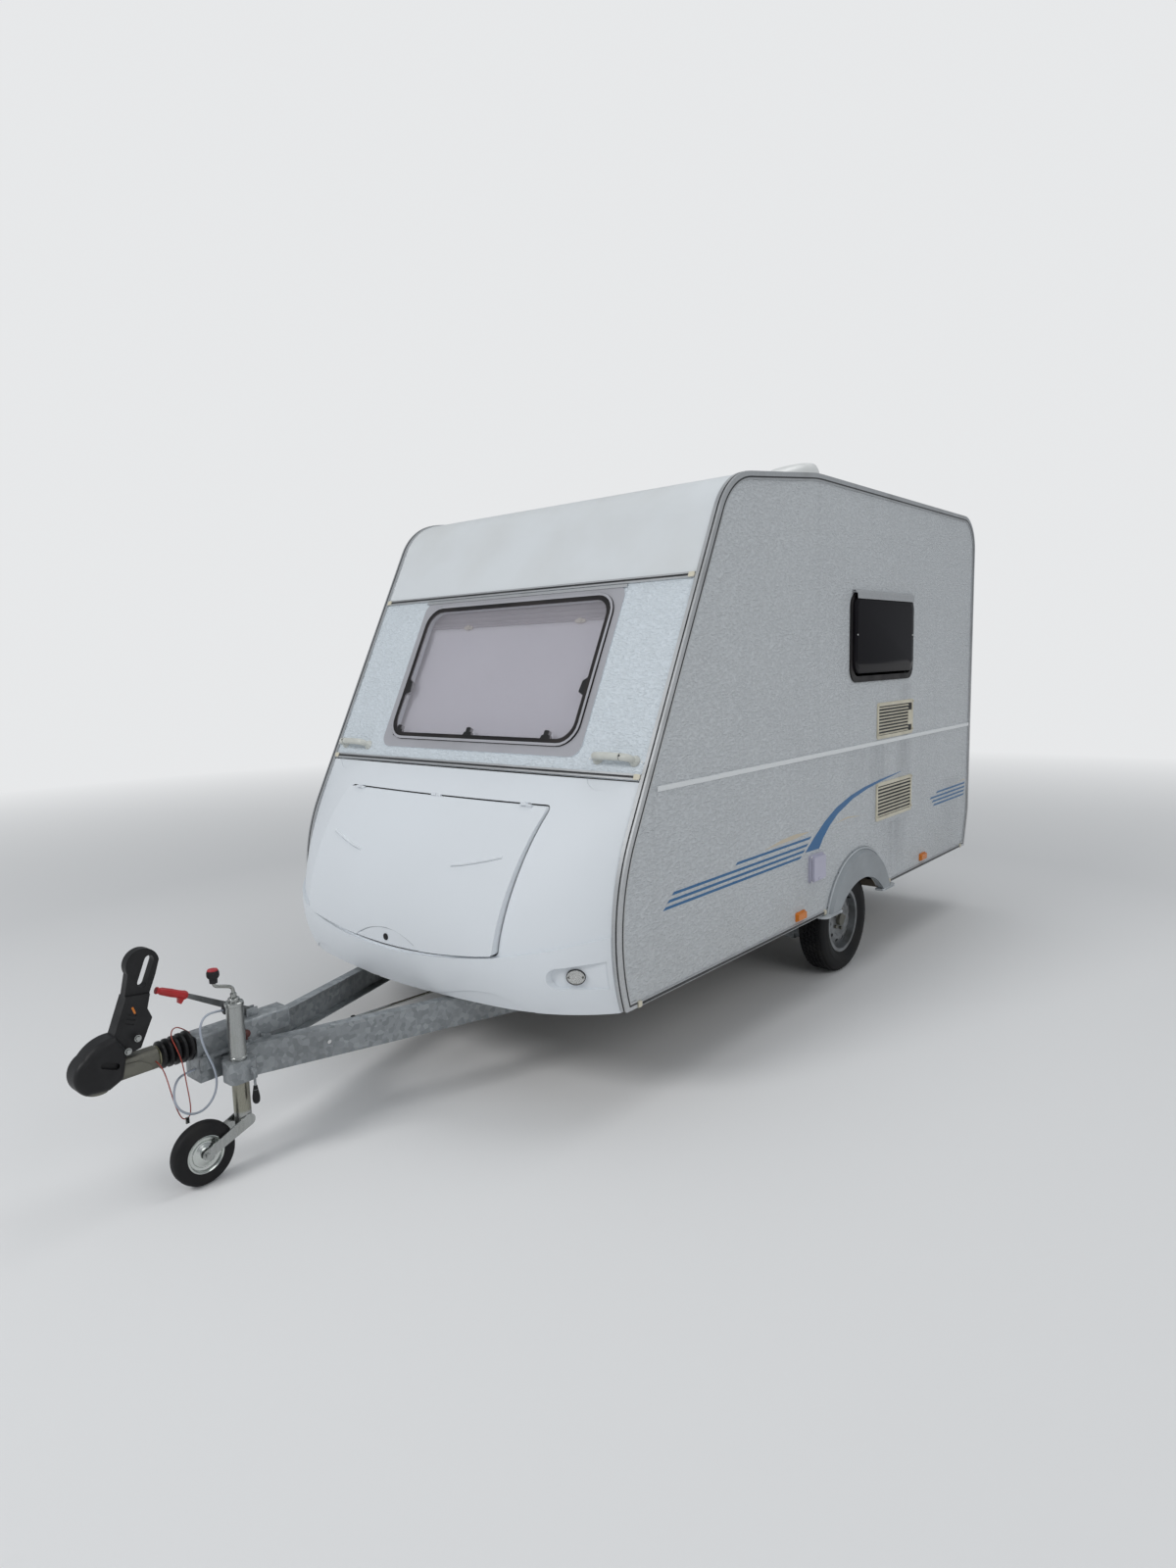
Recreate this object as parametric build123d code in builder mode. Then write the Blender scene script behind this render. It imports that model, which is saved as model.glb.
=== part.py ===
from build123d import *
from math import atan2, cos, pi, radians, sin, tan
import os

# Single-axle travel caravan, parked on its jockey wheel. Millimetres.
# +Z up, the road is z = 0, the hitch is towards -Y and the entrance door is on the -X side.

# Driving dimensions of the body
wall = 28
half_width = 1025
inner_half = half_width - wall
roof_z = 2620
wall_bottom_z = 430
floor_z = (410, 450)
front_arc_centre = (-281, 700)
front_arc_radius = 900
front_rake = 0.5
roof_kink_y = 420
roof_slope = 0.115
rear_y = 2705
rear_break_z = 680
rear_bottom_y = 2640
floor_rear_y = 2605
front_corner_radius = 310
rear_corner_radius = 200
kink_radius = 1000

# Heights of the cross rails and of the belt rail
nose_top_z = 1300
upper_rail_z = 2100
rear_rail_z = 2390
belt_z = 1265

# Road wheels and axle
axle_y = 940
wheel_radius = 287
wheel_x = 877.5
bead_radius = 165
flange_radius = 182
rim_half = 62

# Drawbar and jockey wheel
beam_top_z = 410
beam_depth = 120
beam_flange = 45
beam_plate = 4
beam_front = (62, -2210)
beam_bend = (620, -530)
beam_rear_y = 2350
draw_z = 455
jockey_x = 130
jockey_y = -2240
jockey_tube_radius = 30
jockey_wheel_radius = 112
jockey_wheel_y = -2396

# Entrance door in the right wall and the clearance round every moving panel
door_y = (1440, 2030)
door_z = (505, 2290)
gap = 6

os.makedirs("parts", exist_ok=True)


def keep(piece, label):
    piece.part.label = label
    export_step(piece.part, f"parts/{label}.step")


def nearest(shapes, point):
    return shapes.sort_by_distance(Vector(*point))[0]


# Side outline of the body, in (y, z)
rake_angle = atan2(front_rake, 1)
tangent_point = (
    front_arc_centre[0] - front_arc_radius * cos(rake_angle),
    front_arc_centre[1] + front_arc_radius * sin(rake_angle),
)
arc_drop = front_arc_centre[1] - wall_bottom_z
arc_foot_y = front_arc_centre[0] - (front_arc_radius**2 - arc_drop**2) ** 0.5


def front_line_y(z):
    return tangent_point[0] + front_rake * (z - tangent_point[1])


corner_y = (
    tangent_point[0] + front_rake * (roof_z - roof_slope * roof_kink_y - tangent_point[1])
) / (1 - front_rake * roof_slope)
corner_z = roof_z + roof_slope * (corner_y - roof_kink_y)

with BuildSketch() as body_side:
    with BuildLine():
        ThreePointArc(
            (arc_foot_y, wall_bottom_z),
            (front_arc_centre[0] - front_arc_radius, front_arc_centre[1]),
            tangent_point,
        )
        Polyline(
            tangent_point,
            (corner_y, corner_z),
            (roof_kink_y, roof_z),
            (rear_y, roof_z),
            (rear_y, rear_break_z),
            (rear_bottom_y, wall_bottom_z),
            (arc_foot_y, wall_bottom_z),
        )
    make_face()
    fillet(nearest(body_side.vertices(), (corner_y, corner_z)), front_corner_radius)
    fillet(nearest(body_side.vertices(), (roof_kink_y, roof_z)), kink_radius)
    fillet(nearest(body_side.vertices(), (rear_y, roof_z)), rear_corner_radius)

# The slanted front, with local x along X and local y up the slope
outward = Vector(0, -cos(rake_angle), sin(rake_angle))


def front_plane(z):
    return Plane(origin=(0, front_line_y(z), z), x_dir=(1, 0, 0), z_dir=outward)


def up_slope(height):
    return height / cos(rake_angle)


def side_plane(side, y, z, proud=0.0):
    return Plane(origin=(side * (half_width + proud), y, z), x_dir=(0, side, 0), z_dir=(side, 0, 0))


def rear_plane(x, z, proud=0.0):
    return Plane(origin=(x, rear_y + proud, z), x_dir=(-1, 0, 0), z_dir=(0, 1, 0))


# Windows: name, which wall, centre along it, lowest and highest z, width, corner radius
window_frame = 22
window_lap = 10
front_window = {"z": (1410, 2055), "width": 1240, "corner": 105}
side_windows = {
    "left": {"side": 1, "y": 1225, "z": (1612, 2080), "width": 850, "corner": 75},
    "right": {"side": -1, "y": 60, "z": (1612, 2080), "width": 850, "corner": 75},
}
rear_window = {"z": (1500, 2080), "width": 1280, "corner": 90}
door_window = {"z": (1500, 2030), "width": 370, "corner": 60}

# Fridge vents in the left wall: lowest and highest z
vent_y = (1160, 1680)
vent_rows = [(1283, 1487), (817, 1035)]
vent_pocket = 20

# Wheel arch in the wall, and the mudguard round it
arch_half = 300
arch_top_z = 565


def wheel_arch(half, top, foot=wall_bottom_z):
    with BuildSketch() as arch:
        with BuildLine():
            ThreePointArc((axle_y - half, foot - 1), (axle_y, top), (axle_y + half, foot - 1))
            Line((axle_y + half, foot - 1), (axle_y - half, foot - 1))
        make_face()
    return arch.sketch


def rounded_hole(centre, size, radius):
    with BuildSketch() as hole:
        with Locations(centre):
            RectangleRounded(*size, radius)
    return hole.sketch


def middle(pair):
    return (pair[0] + pair[1]) / 2


def span(pair):
    return pair[1] - pair[0]


# Side walls: one sandwich panel each, with the window, the wheel arch and, right, the doorway
for label, side in (("left", 1), ("right", -1)):
    window = side_windows[label]
    inner_x = min(side * inner_half, side * half_width)
    with BuildPart() as side_wall:
        with BuildSketch(Plane.YZ.offset(inner_x)):
            add(body_side.sketch)
            add(wheel_arch(arch_half, arch_top_z), mode=Mode.SUBTRACT)
            add(
                rounded_hole(
                    (window["y"], middle(window["z"])),
                    (window["width"] - 2 * window_frame, span(window["z"]) - 2 * window_frame),
                    window["corner"] - window_frame,
                ),
                mode=Mode.SUBTRACT,
            )
            if side < 0:
                with Locations((middle(door_y), middle(door_z))):
                    Rectangle(span(door_y), span(door_z), mode=Mode.SUBTRACT)
        extrude(amount=wall)
        if side > 0:
            with BuildSketch(Plane.YZ.offset(half_width - vent_pocket)):
                for row in vent_rows:
                    with Locations((middle(vent_y), middle(row))):
                        Rectangle(span(vent_y) - 24, span(row) - 24)
            extrude(amount=vent_pocket, mode=Mode.SUBTRACT)
    keep(side_wall, f"side_wall_{label}")

# Roof, front and rear: one band round the outline, as thick as the walls, cut at the rails
with BuildSketch() as body_band:
    add(body_side.sketch)
    offset(body_side.sketch, amount=-wall, mode=Mode.SUBTRACT)

rooflight_y = 1250
rooflight_hole = 400
with BuildPart() as roof_panel:
    with BuildSketch(Plane.YZ.offset(-inner_half)):
        add(body_band.sketch)
        with Locations((0, 0)):
            Rectangle(2 * rear_y + 4000, 2 * upper_rail_z, mode=Mode.SUBTRACT)
        with Locations((rear_y, 0)):
            Rectangle(2 * front_corner_radius, 2 * rear_rail_z, mode=Mode.SUBTRACT)
    extrude(amount=2 * inner_half)
    with Locations((0, rooflight_y, roof_z)):
        Box(rooflight_hole, rooflight_hole, 4 * wall, mode=Mode.SUBTRACT)
keep(roof_panel, "roof_panel")

surround = {"half": 656, "z": (1372, 2086), "proud": 3, "corner": 60}
with BuildPart() as front_panel:
    with BuildSketch(Plane.YZ.offset(-inner_half)):
        add(body_band.sketch)
        with Locations((front_line_y(nose_top_z), (nose_top_z + upper_rail_z) / 2)):
            Rectangle(3 * front_arc_radius, upper_rail_z - nose_top_z, mode=Mode.INTERSECT)
        with Locations((rear_y, nose_top_z)):
            Rectangle(front_arc_radius, 4 * roof_z, mode=Mode.SUBTRACT)
    extrude(amount=2 * inner_half)
    with BuildSketch(front_plane(middle(surround["z"]))):
        RectangleRounded(2 * surround["half"], up_slope(span(surround["z"])), surround["corner"])
    extrude(amount=surround["proud"])
    with BuildSketch(front_plane(middle(front_window["z"]))):
        RectangleRounded(
            front_window["width"] - 2 * window_frame,
            up_slope(span(front_window["z"])) - 2 * window_frame,
            front_window["corner"] - window_frame,
        )
    extrude(amount=2 * wall, both=True, mode=Mode.SUBTRACT)
keep(front_panel, "front_panel")

with BuildPart() as rear_panel:
    with BuildSketch(Plane.YZ.offset(-inner_half)):
        add(body_band.sketch)
        with Locations((rear_y, middle((wall_bottom_z, rear_rail_z)))):
            Rectangle(2 * front_corner_radius, rear_rail_z - wall_bottom_z, mode=Mode.INTERSECT)
        with Locations((floor_rear_y - front_corner_radius, wall_bottom_z)):
            Rectangle(2 * front_corner_radius, 2 * wall, mode=Mode.SUBTRACT)
    extrude(amount=2 * inner_half)
    with BuildSketch(Plane.XZ.offset(-rear_y - wall)):
        with Locations((0, middle(rear_window["z"]))):
            RectangleRounded(
                rear_window["width"] - 2 * window_frame,
                span(rear_window["z"]) - 2 * window_frame,
                rear_window["corner"] - window_frame,
            )
    extrude(amount=3 * wall, mode=Mode.SUBTRACT)
keep(rear_panel, "rear_panel")

# Bowed nose moulding. Each level: z, y at the middle, y at the side walls
nose_levels = [
    (nose_top_z, -994, -987.2),
    (1190, -1172, -1042.2),
    (950, -1370, -1146),
    (700, -1472, -1181),
    (420, -1415, -1136),
]
apron_levels = [(760, -1476, -1190), (600, -1497, -1187), (420, -1434, -1144)]
nose_skin = 8
nose_back_y = -900
bow_half = 600
bow_share = 0.2


def nose_block(levels, push=0.0, half=inner_half):
    with BuildPart() as block:
        for z, middle_y, side_y in levels:
            y_mid = middle_y - push
            y_side = side_y - push
            y_bow = y_mid + bow_share * (y_side - y_mid)
            with BuildSketch(Plane.XY.offset(z)):
                with BuildLine():
                    bow = ThreePointArc((-bow_half, y_bow), (0, y_mid), (bow_half, y_bow))
                    flank = TangentArc((bow_half, y_bow), (half, y_side), tangent=bow % 1)
                    Polyline(
                        (half, y_side),
                        (half, nose_back_y),
                        (-half, nose_back_y),
                        (-half, y_side),
                    )
                    mirror(flank, about=Plane.YZ)
                make_face()
        loft()
    return block.part


# The lid is flatter across than the nose, so its sides stand proud and return to the nose
lid_levels = [(z, middle_y, (middle_y + side_y) / 2) for z, middle_y, side_y in nose_levels]


def nose_prism(outline, start_y=nose_back_y):
    with BuildPart() as prism:
        with BuildSketch(Plane.XZ.offset(-start_y)):
            add(outline)
        extrude(amount=front_arc_radius)
    return prism.part


# The apron stands proud of the nose below a line that rises to both sides
smile_middle_z = 590
smile_side_z = 742
with BuildSketch() as smile:
    with BuildLine():
        ThreePointArc((-half_width, smile_side_z), (0, smile_middle_z), (half_width, smile_side_z))
        Polyline(
            (half_width, smile_side_z),
            (half_width, 300),
            (-half_width, 300),
            (-half_width, smile_side_z),
        )
    make_face()

# Gas locker lid, in (x, z)
lid_top_z = 1198
lid_top_half = 662
lid_bottom_half = 614
lid_bottom_z = 650
lid_corner = 22
lid_front_y = -960
with BuildSketch() as lid_outline:
    with BuildLine():
        ThreePointArc(
            (-lid_bottom_half, lid_bottom_z),
            (0, smile_middle_z + 8),
            (lid_bottom_half, lid_bottom_z),
        )
        Polyline(
            (lid_bottom_half, lid_bottom_z),
            (lid_top_half, lid_top_z),
            (-lid_top_half, lid_top_z),
            (-lid_bottom_half, lid_bottom_z),
        )
    make_face()
    fillet(lid_outline.vertices(), lid_corner)

# Hinges of the lid: the axis in (y, z), three places along it, fixed knuckle beside moving one
lid_axis = (-1163, 1198)
lid_hinge_x = (-550, 0, 550)
knuckle = {"radius": 5, "length": 30, "gap": 1}


def lid_knuckles(shift, grow=0.0):
    with BuildPart() as knuckles:
        with Locations(*[(x + shift, *lid_axis) for x in lid_hinge_x]):
            Cylinder(knuckle["radius"] + grow, knuckle["length"] + 2 * grow, rotation=(0, 90, 0))
    return knuckles.part


fixed_knuckles = -knuckle["length"] / 2 - knuckle["gap"]
moving_knuckles = knuckle["length"] / 2 + knuckle["gap"]

# Front position lamps at the deep end of scoops that open towards the rails, in (x, z)
scoop_outline = [(850, 619), (985, 640), (985, 528), (868, 535)]
scoop_end = (805, 577)
lamp = {"x": 893, "z": 580, "size": (72, 60)}
scoop_depth = 16
scoop_skin = 6
scoop_levels = [
    (z, middle_y + 3.2 * scoop_depth, side_y + 2) for z, middle_y, side_y in apron_levels
]
with BuildSketch() as lamp_scoop:
    with BuildLine():
        ThreePointArc(scoop_outline[3], scoop_end, scoop_outline[0])
        Polyline(*scoop_outline)
    make_face()
    mirror(about=Plane.YZ)

# A shallow step along the apron's lower edge, and half-moon dips under the lower cross rail
wave = [(120, 424), (339, 450), (517, 486), (634, 470), (723, 424), (790, 402)]
with BuildSketch() as apron_wave:
    with BuildLine():
        Spline(*wave)
        Polyline(wave[-1], (790, 380), (120, 380), wave[0])
    make_face()
    mirror(about=Plane.YZ)
half_moon = {"x": 840, "half": 115, "bottom": 1258}
with BuildSketch() as half_moons:
    with BuildLine():
        moon_ends = [(half_moon["x"] + end * half_moon["half"], nose_top_z + 6) for end in (-1, 1)]
        ThreePointArc(moon_ends[0], (half_moon["x"], half_moon["bottom"]), moon_ends[1])
        Line(moon_ends[1], moon_ends[0])
    make_face()
    mirror(about=Plane.YZ)
moulding_step = 4

with BuildPart() as apron:
    add(nose_block(apron_levels))
    add(nose_prism(smile.sketch), mode=Mode.INTERSECT)

with BuildPart() as nose_dips:
    add(nose_prism(lamp_scoop.sketch))
    add(nose_block(scoop_levels), mode=Mode.SUBTRACT)
with BuildPart() as scoop_walls:
    with BuildSketch(Plane.XZ.offset(-nose_back_y)):
        offset(lamp_scoop.sketch, amount=scoop_skin)
    extrude(amount=front_arc_radius)
    add(nose_block(apron_levels), mode=Mode.INTERSECT)
    add(nose_block(scoop_levels, -scoop_skin), mode=Mode.SUBTRACT)
with BuildPart() as wave_dip:
    add(nose_prism(apron_wave.sketch))
    add(nose_block(apron_levels, -moulding_step), mode=Mode.SUBTRACT)
with BuildPart() as moon_dips:
    add(nose_prism(half_moons.sketch))
    add(nose_block(nose_levels, -moulding_step), mode=Mode.SUBTRACT)

with BuildPart() as nose_panel:
    add(nose_block(nose_levels))
    add(apron.part)
    add(nose_block(nose_levels, -nose_skin), mode=Mode.SUBTRACT)
    add(scoop_walls.part)
    add(nose_dips.part, mode=Mode.SUBTRACT)
    add(wave_dip.part, mode=Mode.SUBTRACT)
    add(moon_dips.part, mode=Mode.SUBTRACT)
    with BuildSketch(Plane.XZ.offset(-lid_front_y)):
        offset(lid_outline.sketch, amount=gap / 2)
    extrude(amount=front_arc_radius, mode=Mode.SUBTRACT)
    with BuildSketch(Plane.XY.offset(nose_top_z)):
        with Locations((0, nose_back_y - 40)):
            Rectangle(2 * half_width, 200)
    extrude(amount=-4, mode=Mode.SUBTRACT)
    with Locations(*[(x + fixed_knuckles, lid_axis[0] + 16, lid_axis[1] + 5) for x in lid_hinge_x]):
        Box(knuckle["length"], 32, 4)
    add(lid_knuckles(fixed_knuckles))
    add(lid_knuckles(moving_knuckles, knuckle["gap"]), mode=Mode.SUBTRACT)
keep(nose_panel, "nose_panel")

# Raised strokes on the lid, each a flat arc in (x, z), a dished half round and the lock in it
lid_stroke = [(303, 958), (430, 981), (556, 1013)]
stroke_width = 9
half_round = {"half": 225, "end": 600, "top": 672, "foot": 560}
lid_lock = {"z": 632, "radius": 11, "seat_y": -1462, "length": 14}
with BuildSketch() as lid_strokes:
    with BuildLine():
        ThreePointArc(*lid_stroke)
    trace(line_width=stroke_width)
    mirror(about=Plane.YZ)
with BuildSketch() as lid_half_round:
    with BuildLine():
        ThreePointArc(
            (-half_round["half"], half_round["end"]),
            (0, half_round["top"]),
            (half_round["half"], half_round["end"]),
        )
        Polyline(
            (half_round["half"], half_round["end"]),
            (half_round["half"], half_round["foot"]),
            (-half_round["half"], half_round["foot"]),
            (-half_round["half"], half_round["end"]),
        )
    make_face()
with BuildPart() as half_round_dip:
    add(nose_prism(lid_half_round.sketch))
    add(nose_block(lid_levels, -3), mode=Mode.SUBTRACT)
with BuildPart() as raised_strokes:
    add(nose_prism(lid_strokes.sketch, -1100))
    add(nose_block(lid_levels, 3), mode=Mode.INTERSECT)
with BuildPart() as lid_inside:
    with BuildSketch(Plane.XZ.offset(-nose_back_y)):
        offset(lid_outline.sketch, amount=-gap / 2 - nose_skin)
    extrude(amount=front_arc_radius)
    add(nose_block(lid_levels, -nose_skin), mode=Mode.INTERSECT)

with BuildPart() as locker_lid:
    add(nose_block(lid_levels))
    with BuildSketch(Plane.XZ.offset(-lid_front_y)):
        offset(lid_outline.sketch, amount=-gap / 2)
    extrude(amount=front_arc_radius, mode=Mode.INTERSECT)
    add(raised_strokes.part)
    add(half_round_dip.part, mode=Mode.SUBTRACT)
    add(lid_inside.part, mode=Mode.SUBTRACT)
    add(nose_block(nose_levels, -nose_skin), mode=Mode.SUBTRACT)
    with BuildSketch(Plane.XZ.offset(-lid_lock["seat_y"])):
        with Locations((0, lid_lock["z"])):
            Circle(lid_lock["radius"])
    extrude(amount=lid_lock["length"])
    with Locations(*[(x + moving_knuckles, lid_axis[0] + 8, lid_axis[1] - 6) for x in lid_hinge_x]):
        Box(knuckle["length"], 16, 6)
    add(lid_knuckles(moving_knuckles))
    add(lid_knuckles(fixed_knuckles, knuckle["gap"]), mode=Mode.SUBTRACT)
keep(locker_lid, "locker_lid")

with BuildPart() as front_lamps:
    with BuildSketch(Plane.XZ.offset(-nose_back_y)):
        with Locations((lamp["x"], lamp["z"]), (-lamp["x"], lamp["z"])):
            Ellipse(lamp["size"][0] / 2, lamp["size"][1] / 2)
    extrude(amount=front_arc_radius)
    add(nose_block(scoop_levels), mode=Mode.SUBTRACT)
    add(nose_block(scoop_levels, 9), mode=Mode.INTERSECT)
keep(front_lamps, "front_lamps")

# Amber side markers: side, y and z
marker_places = [(1, 260, 483), (1, 1880, 490), (-1, 260, 483), (-1, 2320, 490)]
marker_size = (96, 46, 18)
with BuildPart() as marker_lamps:
    for side, y, z in marker_places:
        with BuildSketch(side_plane(side, y, z)):
            RectangleRounded(marker_size[0], marker_size[1], 8)
        extrude(amount=6)
        with BuildSketch(side_plane(side, y, z, 6)):
            RectangleRounded(marker_size[0] - 8, marker_size[1] - 8, 6)
        extrude(amount=marker_size[2] - 6, taper=12)
keep(marker_lamps, "marker_lamps")

# Floor, with the wheel openings, and the bulkhead and floor of the gas locker
bulkhead_y = (-970, -952)
wheel_box_x = 735
wheel_box_half = 345
wheel_box_z = 690
wheel_box_skin = 10
with BuildPart() as floor_panel:
    with BuildSketch(Plane.XY.offset(floor_z[0])):
        with Locations((0, middle((bulkhead_y[0], floor_rear_y)))):
            Rectangle(2 * inner_half, floor_rear_y - bulkhead_y[0])
        for side in (1, -1):
            with Locations((side * (wheel_box_x + half_width) / 2, axle_y)):
                Rectangle(half_width - wheel_box_x, 2 * wheel_box_half, mode=Mode.SUBTRACT)
    extrude(amount=span(floor_z))
keep(floor_panel, "floor_panel")

with BuildPart() as locker_tray:
    add(nose_block(nose_levels, -nose_skin - 0.5))
    with BuildSketch(Plane.XY.offset(floor_z[0] + 16)):
        with Locations((0, bulkhead_y[0] - 400)):
            Rectangle(2 * inner_half, 800)
    extrude(amount=14, mode=Mode.INTERSECT)
    with BuildSketch(Plane.XZ.offset(-bulkhead_y[1])):
        with Locations((0, middle((floor_z[1], nose_top_z)))):
            Rectangle(2 * inner_half, nose_top_z - floor_z[1] - 0.5)
    extrude(amount=span(bulkhead_y))
keep(locker_tray, "locker_bulkhead")

with BuildPart() as wheel_boxes:
    for side in (1, -1):
        inner_x = min(side * wheel_box_x, side * inner_half)
        with BuildSketch(Plane.YZ.offset(inner_x)):
            with Locations((axle_y, middle((floor_z[1], wheel_box_z)))):
                Rectangle(2 * wheel_box_half + 40, wheel_box_z - floor_z[1])
        extrude(amount=inner_half - wheel_box_x)
    for side in (1, -1):
        inner_x = min(side * (wheel_box_x + wheel_box_skin), side * inner_half)
        with BuildSketch(Plane.YZ.offset(inner_x)):
            with Locations((axle_y, middle((floor_z[0], wheel_box_z - wheel_box_skin)))):
                Rectangle(2 * wheel_box_half + 20, wheel_box_z - wheel_box_skin - floor_z[0])
        extrude(amount=inner_half - wheel_box_x - wheel_box_skin, mode=Mode.SUBTRACT)
keep(wheel_boxes, "wheel_boxes")

# Windows: black frames that stand proud, acrylic panes inside them
frame_proud = 9
pane = 5


def window_ring(width, height, corner):
    with BuildSketch() as ring:
        RectangleRounded(width, height, corner)
        inner = 2 * (window_frame + window_lap)
        RectangleRounded(width - inner, height - inner, corner - window_frame, mode=Mode.SUBTRACT)
    return ring.sketch


def window_sheet(width, height, corner):
    with BuildSketch() as sheet:
        inner = 2 * (window_frame + window_lap) + 0.6
        RectangleRounded(width - inner, height - inner, corner - window_frame)
    return sheet.sketch


# The side windows are hinged sheets that stand on their frames, clear of the broad lower edge
sash = {"side": 20, "top": 14, "bottom": 46, "proud": 13, "round": 9}


def sash_sheet(window, height):
    with BuildSketch() as sheet:
        with Locations((0, (sash["bottom"] - sash["top"]) / 2)):
            width = window["width"] - 2 * sash["side"]
            RectangleRounded(width, height - sash["top"] - sash["bottom"], window["corner"] - 12)
    return sheet.sketch


front_place = front_plane(middle(front_window["z"])).offset(surround["proud"])
window_places = [
    (front_place, front_window, up_slope(span(front_window["z"]))),
    (rear_plane(0, middle(rear_window["z"])), rear_window, span(rear_window["z"])),
]
for window in side_windows.values():
    place = side_plane(window["side"], window["y"], middle(window["z"]))
    window_places.append((place, window, span(window["z"])))

with BuildPart() as window_frames:
    for place, window, height in window_places:
        with BuildSketch(place):
            add(window_ring(window["width"], height, window["corner"]))
        extrude(amount=frame_proud)
keep(window_frames, "window_frames")

with BuildPart() as window_panes:
    for place, window, height in window_places:
        with BuildSketch(place.offset(frame_proud - pane - 2)):
            add(window_sheet(window["width"], height, window["corner"]))
        extrude(amount=pane)
        if "side" in window:
            with BuildSketch(place.offset(frame_proud)):
                add(sash_sheet(window, height))
            extrude(amount=sash["proud"])
            side_face = window_panes.faces().sort_by(Axis.X)[-1 if window["side"] > 0 else 0]
            fillet(side_face.edges(), sash["round"])
keep(window_panes, "window_panes")

blind_depth = 45
with BuildPart() as front_blind:
    with BuildSketch(front_plane(middle(front_window["z"])).offset(-blind_depth)):
        Rectangle(front_window["width"] + 30, up_slope(span(front_window["z"])) + 30)
    extrude(amount=4)
keep(front_blind, "front_blind")

# Aluminium edge rails round both side outlines, an L in section with a grooved face each way
rail_proud = 6
rail_width = 30
groove = 7
groove_depth = 3


def rail_band(low, high, start_x, depth):
    with BuildPart() as band:
        with BuildSketch(Plane.YZ.offset(start_x)):
            offset(body_side.sketch, amount=high)
            if low:
                offset(body_side.sketch, amount=low, mode=Mode.SUBTRACT)
            else:
                add(body_side.sketch, mode=Mode.SUBTRACT)
            with Locations((axle_y, wall_bottom_z - 100)):
                Rectangle(2 * rear_y, 200, mode=Mode.SUBTRACT)
            with Locations((middle((arc_foot_y + 60, rear_bottom_y - 60)), wall_bottom_z)):
                Rectangle(rear_bottom_y - arc_foot_y - 120, 120, mode=Mode.SUBTRACT)
        extrude(amount=depth)
    return band.part


def insert_bands(side, proud=0.0):
    outer_x = side * (half_width + rail_proud)
    face_x = min(outer_x - side * groove_depth, outer_x + side * proud)
    edge_x = min(outer_x - side * 10, outer_x - side * (10 + groove))
    return [
        rail_band(-15 - groove, -15, face_x, groove_depth + proud),
        rail_band(rail_proud - groove_depth, rail_proud + proud, edge_x, groove),
    ]


with BuildPart() as corner_rails:
    for side in (1, -1):
        outer_x = side * (half_width + rail_proud)
        add(rail_band(-rail_width, rail_proud, min(outer_x, outer_x - side * rail_proud), rail_proud))
        depth = wall + rail_proud
        add(rail_band(0, rail_proud, min(outer_x, outer_x - side * depth), depth))
        for band in insert_bands(side):
            add(band, mode=Mode.SUBTRACT)
keep(corner_rails, "corner_rails")

# Rails across the front and the rear, grooved too, and the strip over the front window
cross_half = inner_half - 1
cross_rail = (26, 9)
cross_places = [
    front_plane(nose_top_z + cross_rail[0] / 2),
    front_plane(upper_rail_z),
    rear_plane(0, rear_rail_z),
]
strip = {"z": 2079, "height": 14, "proud": 5}
with BuildPart() as cross_rails:
    for place in cross_places:
        with BuildSketch(place):
            Rectangle(2 * cross_half, cross_rail[0])
        extrude(amount=cross_rail[1])
        with BuildSketch(place.offset(cross_rail[1])):
            Rectangle(2 * cross_half, groove + 2)
        extrude(amount=-groove_depth, mode=Mode.SUBTRACT)
    with BuildSketch(front_plane(strip["z"]).offset(surround["proud"])):
        Rectangle(2 * surround["half"], strip["height"])
    extrude(amount=strip["proud"])
keep(cross_rails, "cross_rails")

with BuildPart() as rail_inserts:
    for side in (1, -1):
        for band in insert_bands(side, 0.6):
            add(band)
    for place in cross_places:
        with BuildSketch(place.offset(cross_rail[1] - groove_depth)):
            Rectangle(2 * cross_half - 60, groove + 2)
        extrude(amount=groove_depth + 0.6)
keep(rail_inserts, "rail_inserts")

# Belt and skirt rails along the sides: lowest y, highest y, z, height
skirt_runs = [(-1054, axle_y - 426, 440, 20), (axle_y + 426, 2554, 440, 20)]
side_runs = {
    1: [(-925, 2670, belt_z, 22), *skirt_runs],
    -1: [
        (-925, door_y[0] - 34, belt_z, 22),
        (door_y[1] + 34, 2670, belt_z, 22),
        *skirt_runs,
    ],
}
gutter = {"height": 15, "proud": 24, "lip": 9}
with BuildPart() as side_rails:
    for side, runs in side_runs.items():
        for low, high, z, height in runs:
            with BuildSketch(Plane.XZ.offset(-low)):
                with Locations((side * (half_width + 4), z)):
                    RectangleRounded(8, height, 3.4)
                with Locations((side * (half_width + 2), z)):
                    Rectangle(4, height)
            extrude(amount=low - high)
    for window in side_windows.values():
        side = window["side"]
        half = window["width"] / 2 - 28
        foot_z = window["z"][1] + 3
        with BuildSketch(Plane.XZ.offset(half - window["y"])):
            with BuildLine():
                Polyline(
                    (side * half_width, foot_z),
                    (side * (half_width + gutter["proud"]), foot_z - 4),
                    (side * (half_width + gutter["proud"]), foot_z + gutter["lip"] - 4),
                    (side * (half_width + gutter["proud"] - 3), foot_z + gutter["lip"] - 4),
                    (side * (half_width + gutter["proud"] - 3), foot_z + 1),
                    (side * (half_width + 3), foot_z + 4),
                    (side * (half_width + 3), foot_z + gutter["height"]),
                    (side * half_width, foot_z + gutter["height"]),
                    close=True,
                )
            make_face()
        extrude(amount=-2 * half)
keep(side_rails, "side_rails")

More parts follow.
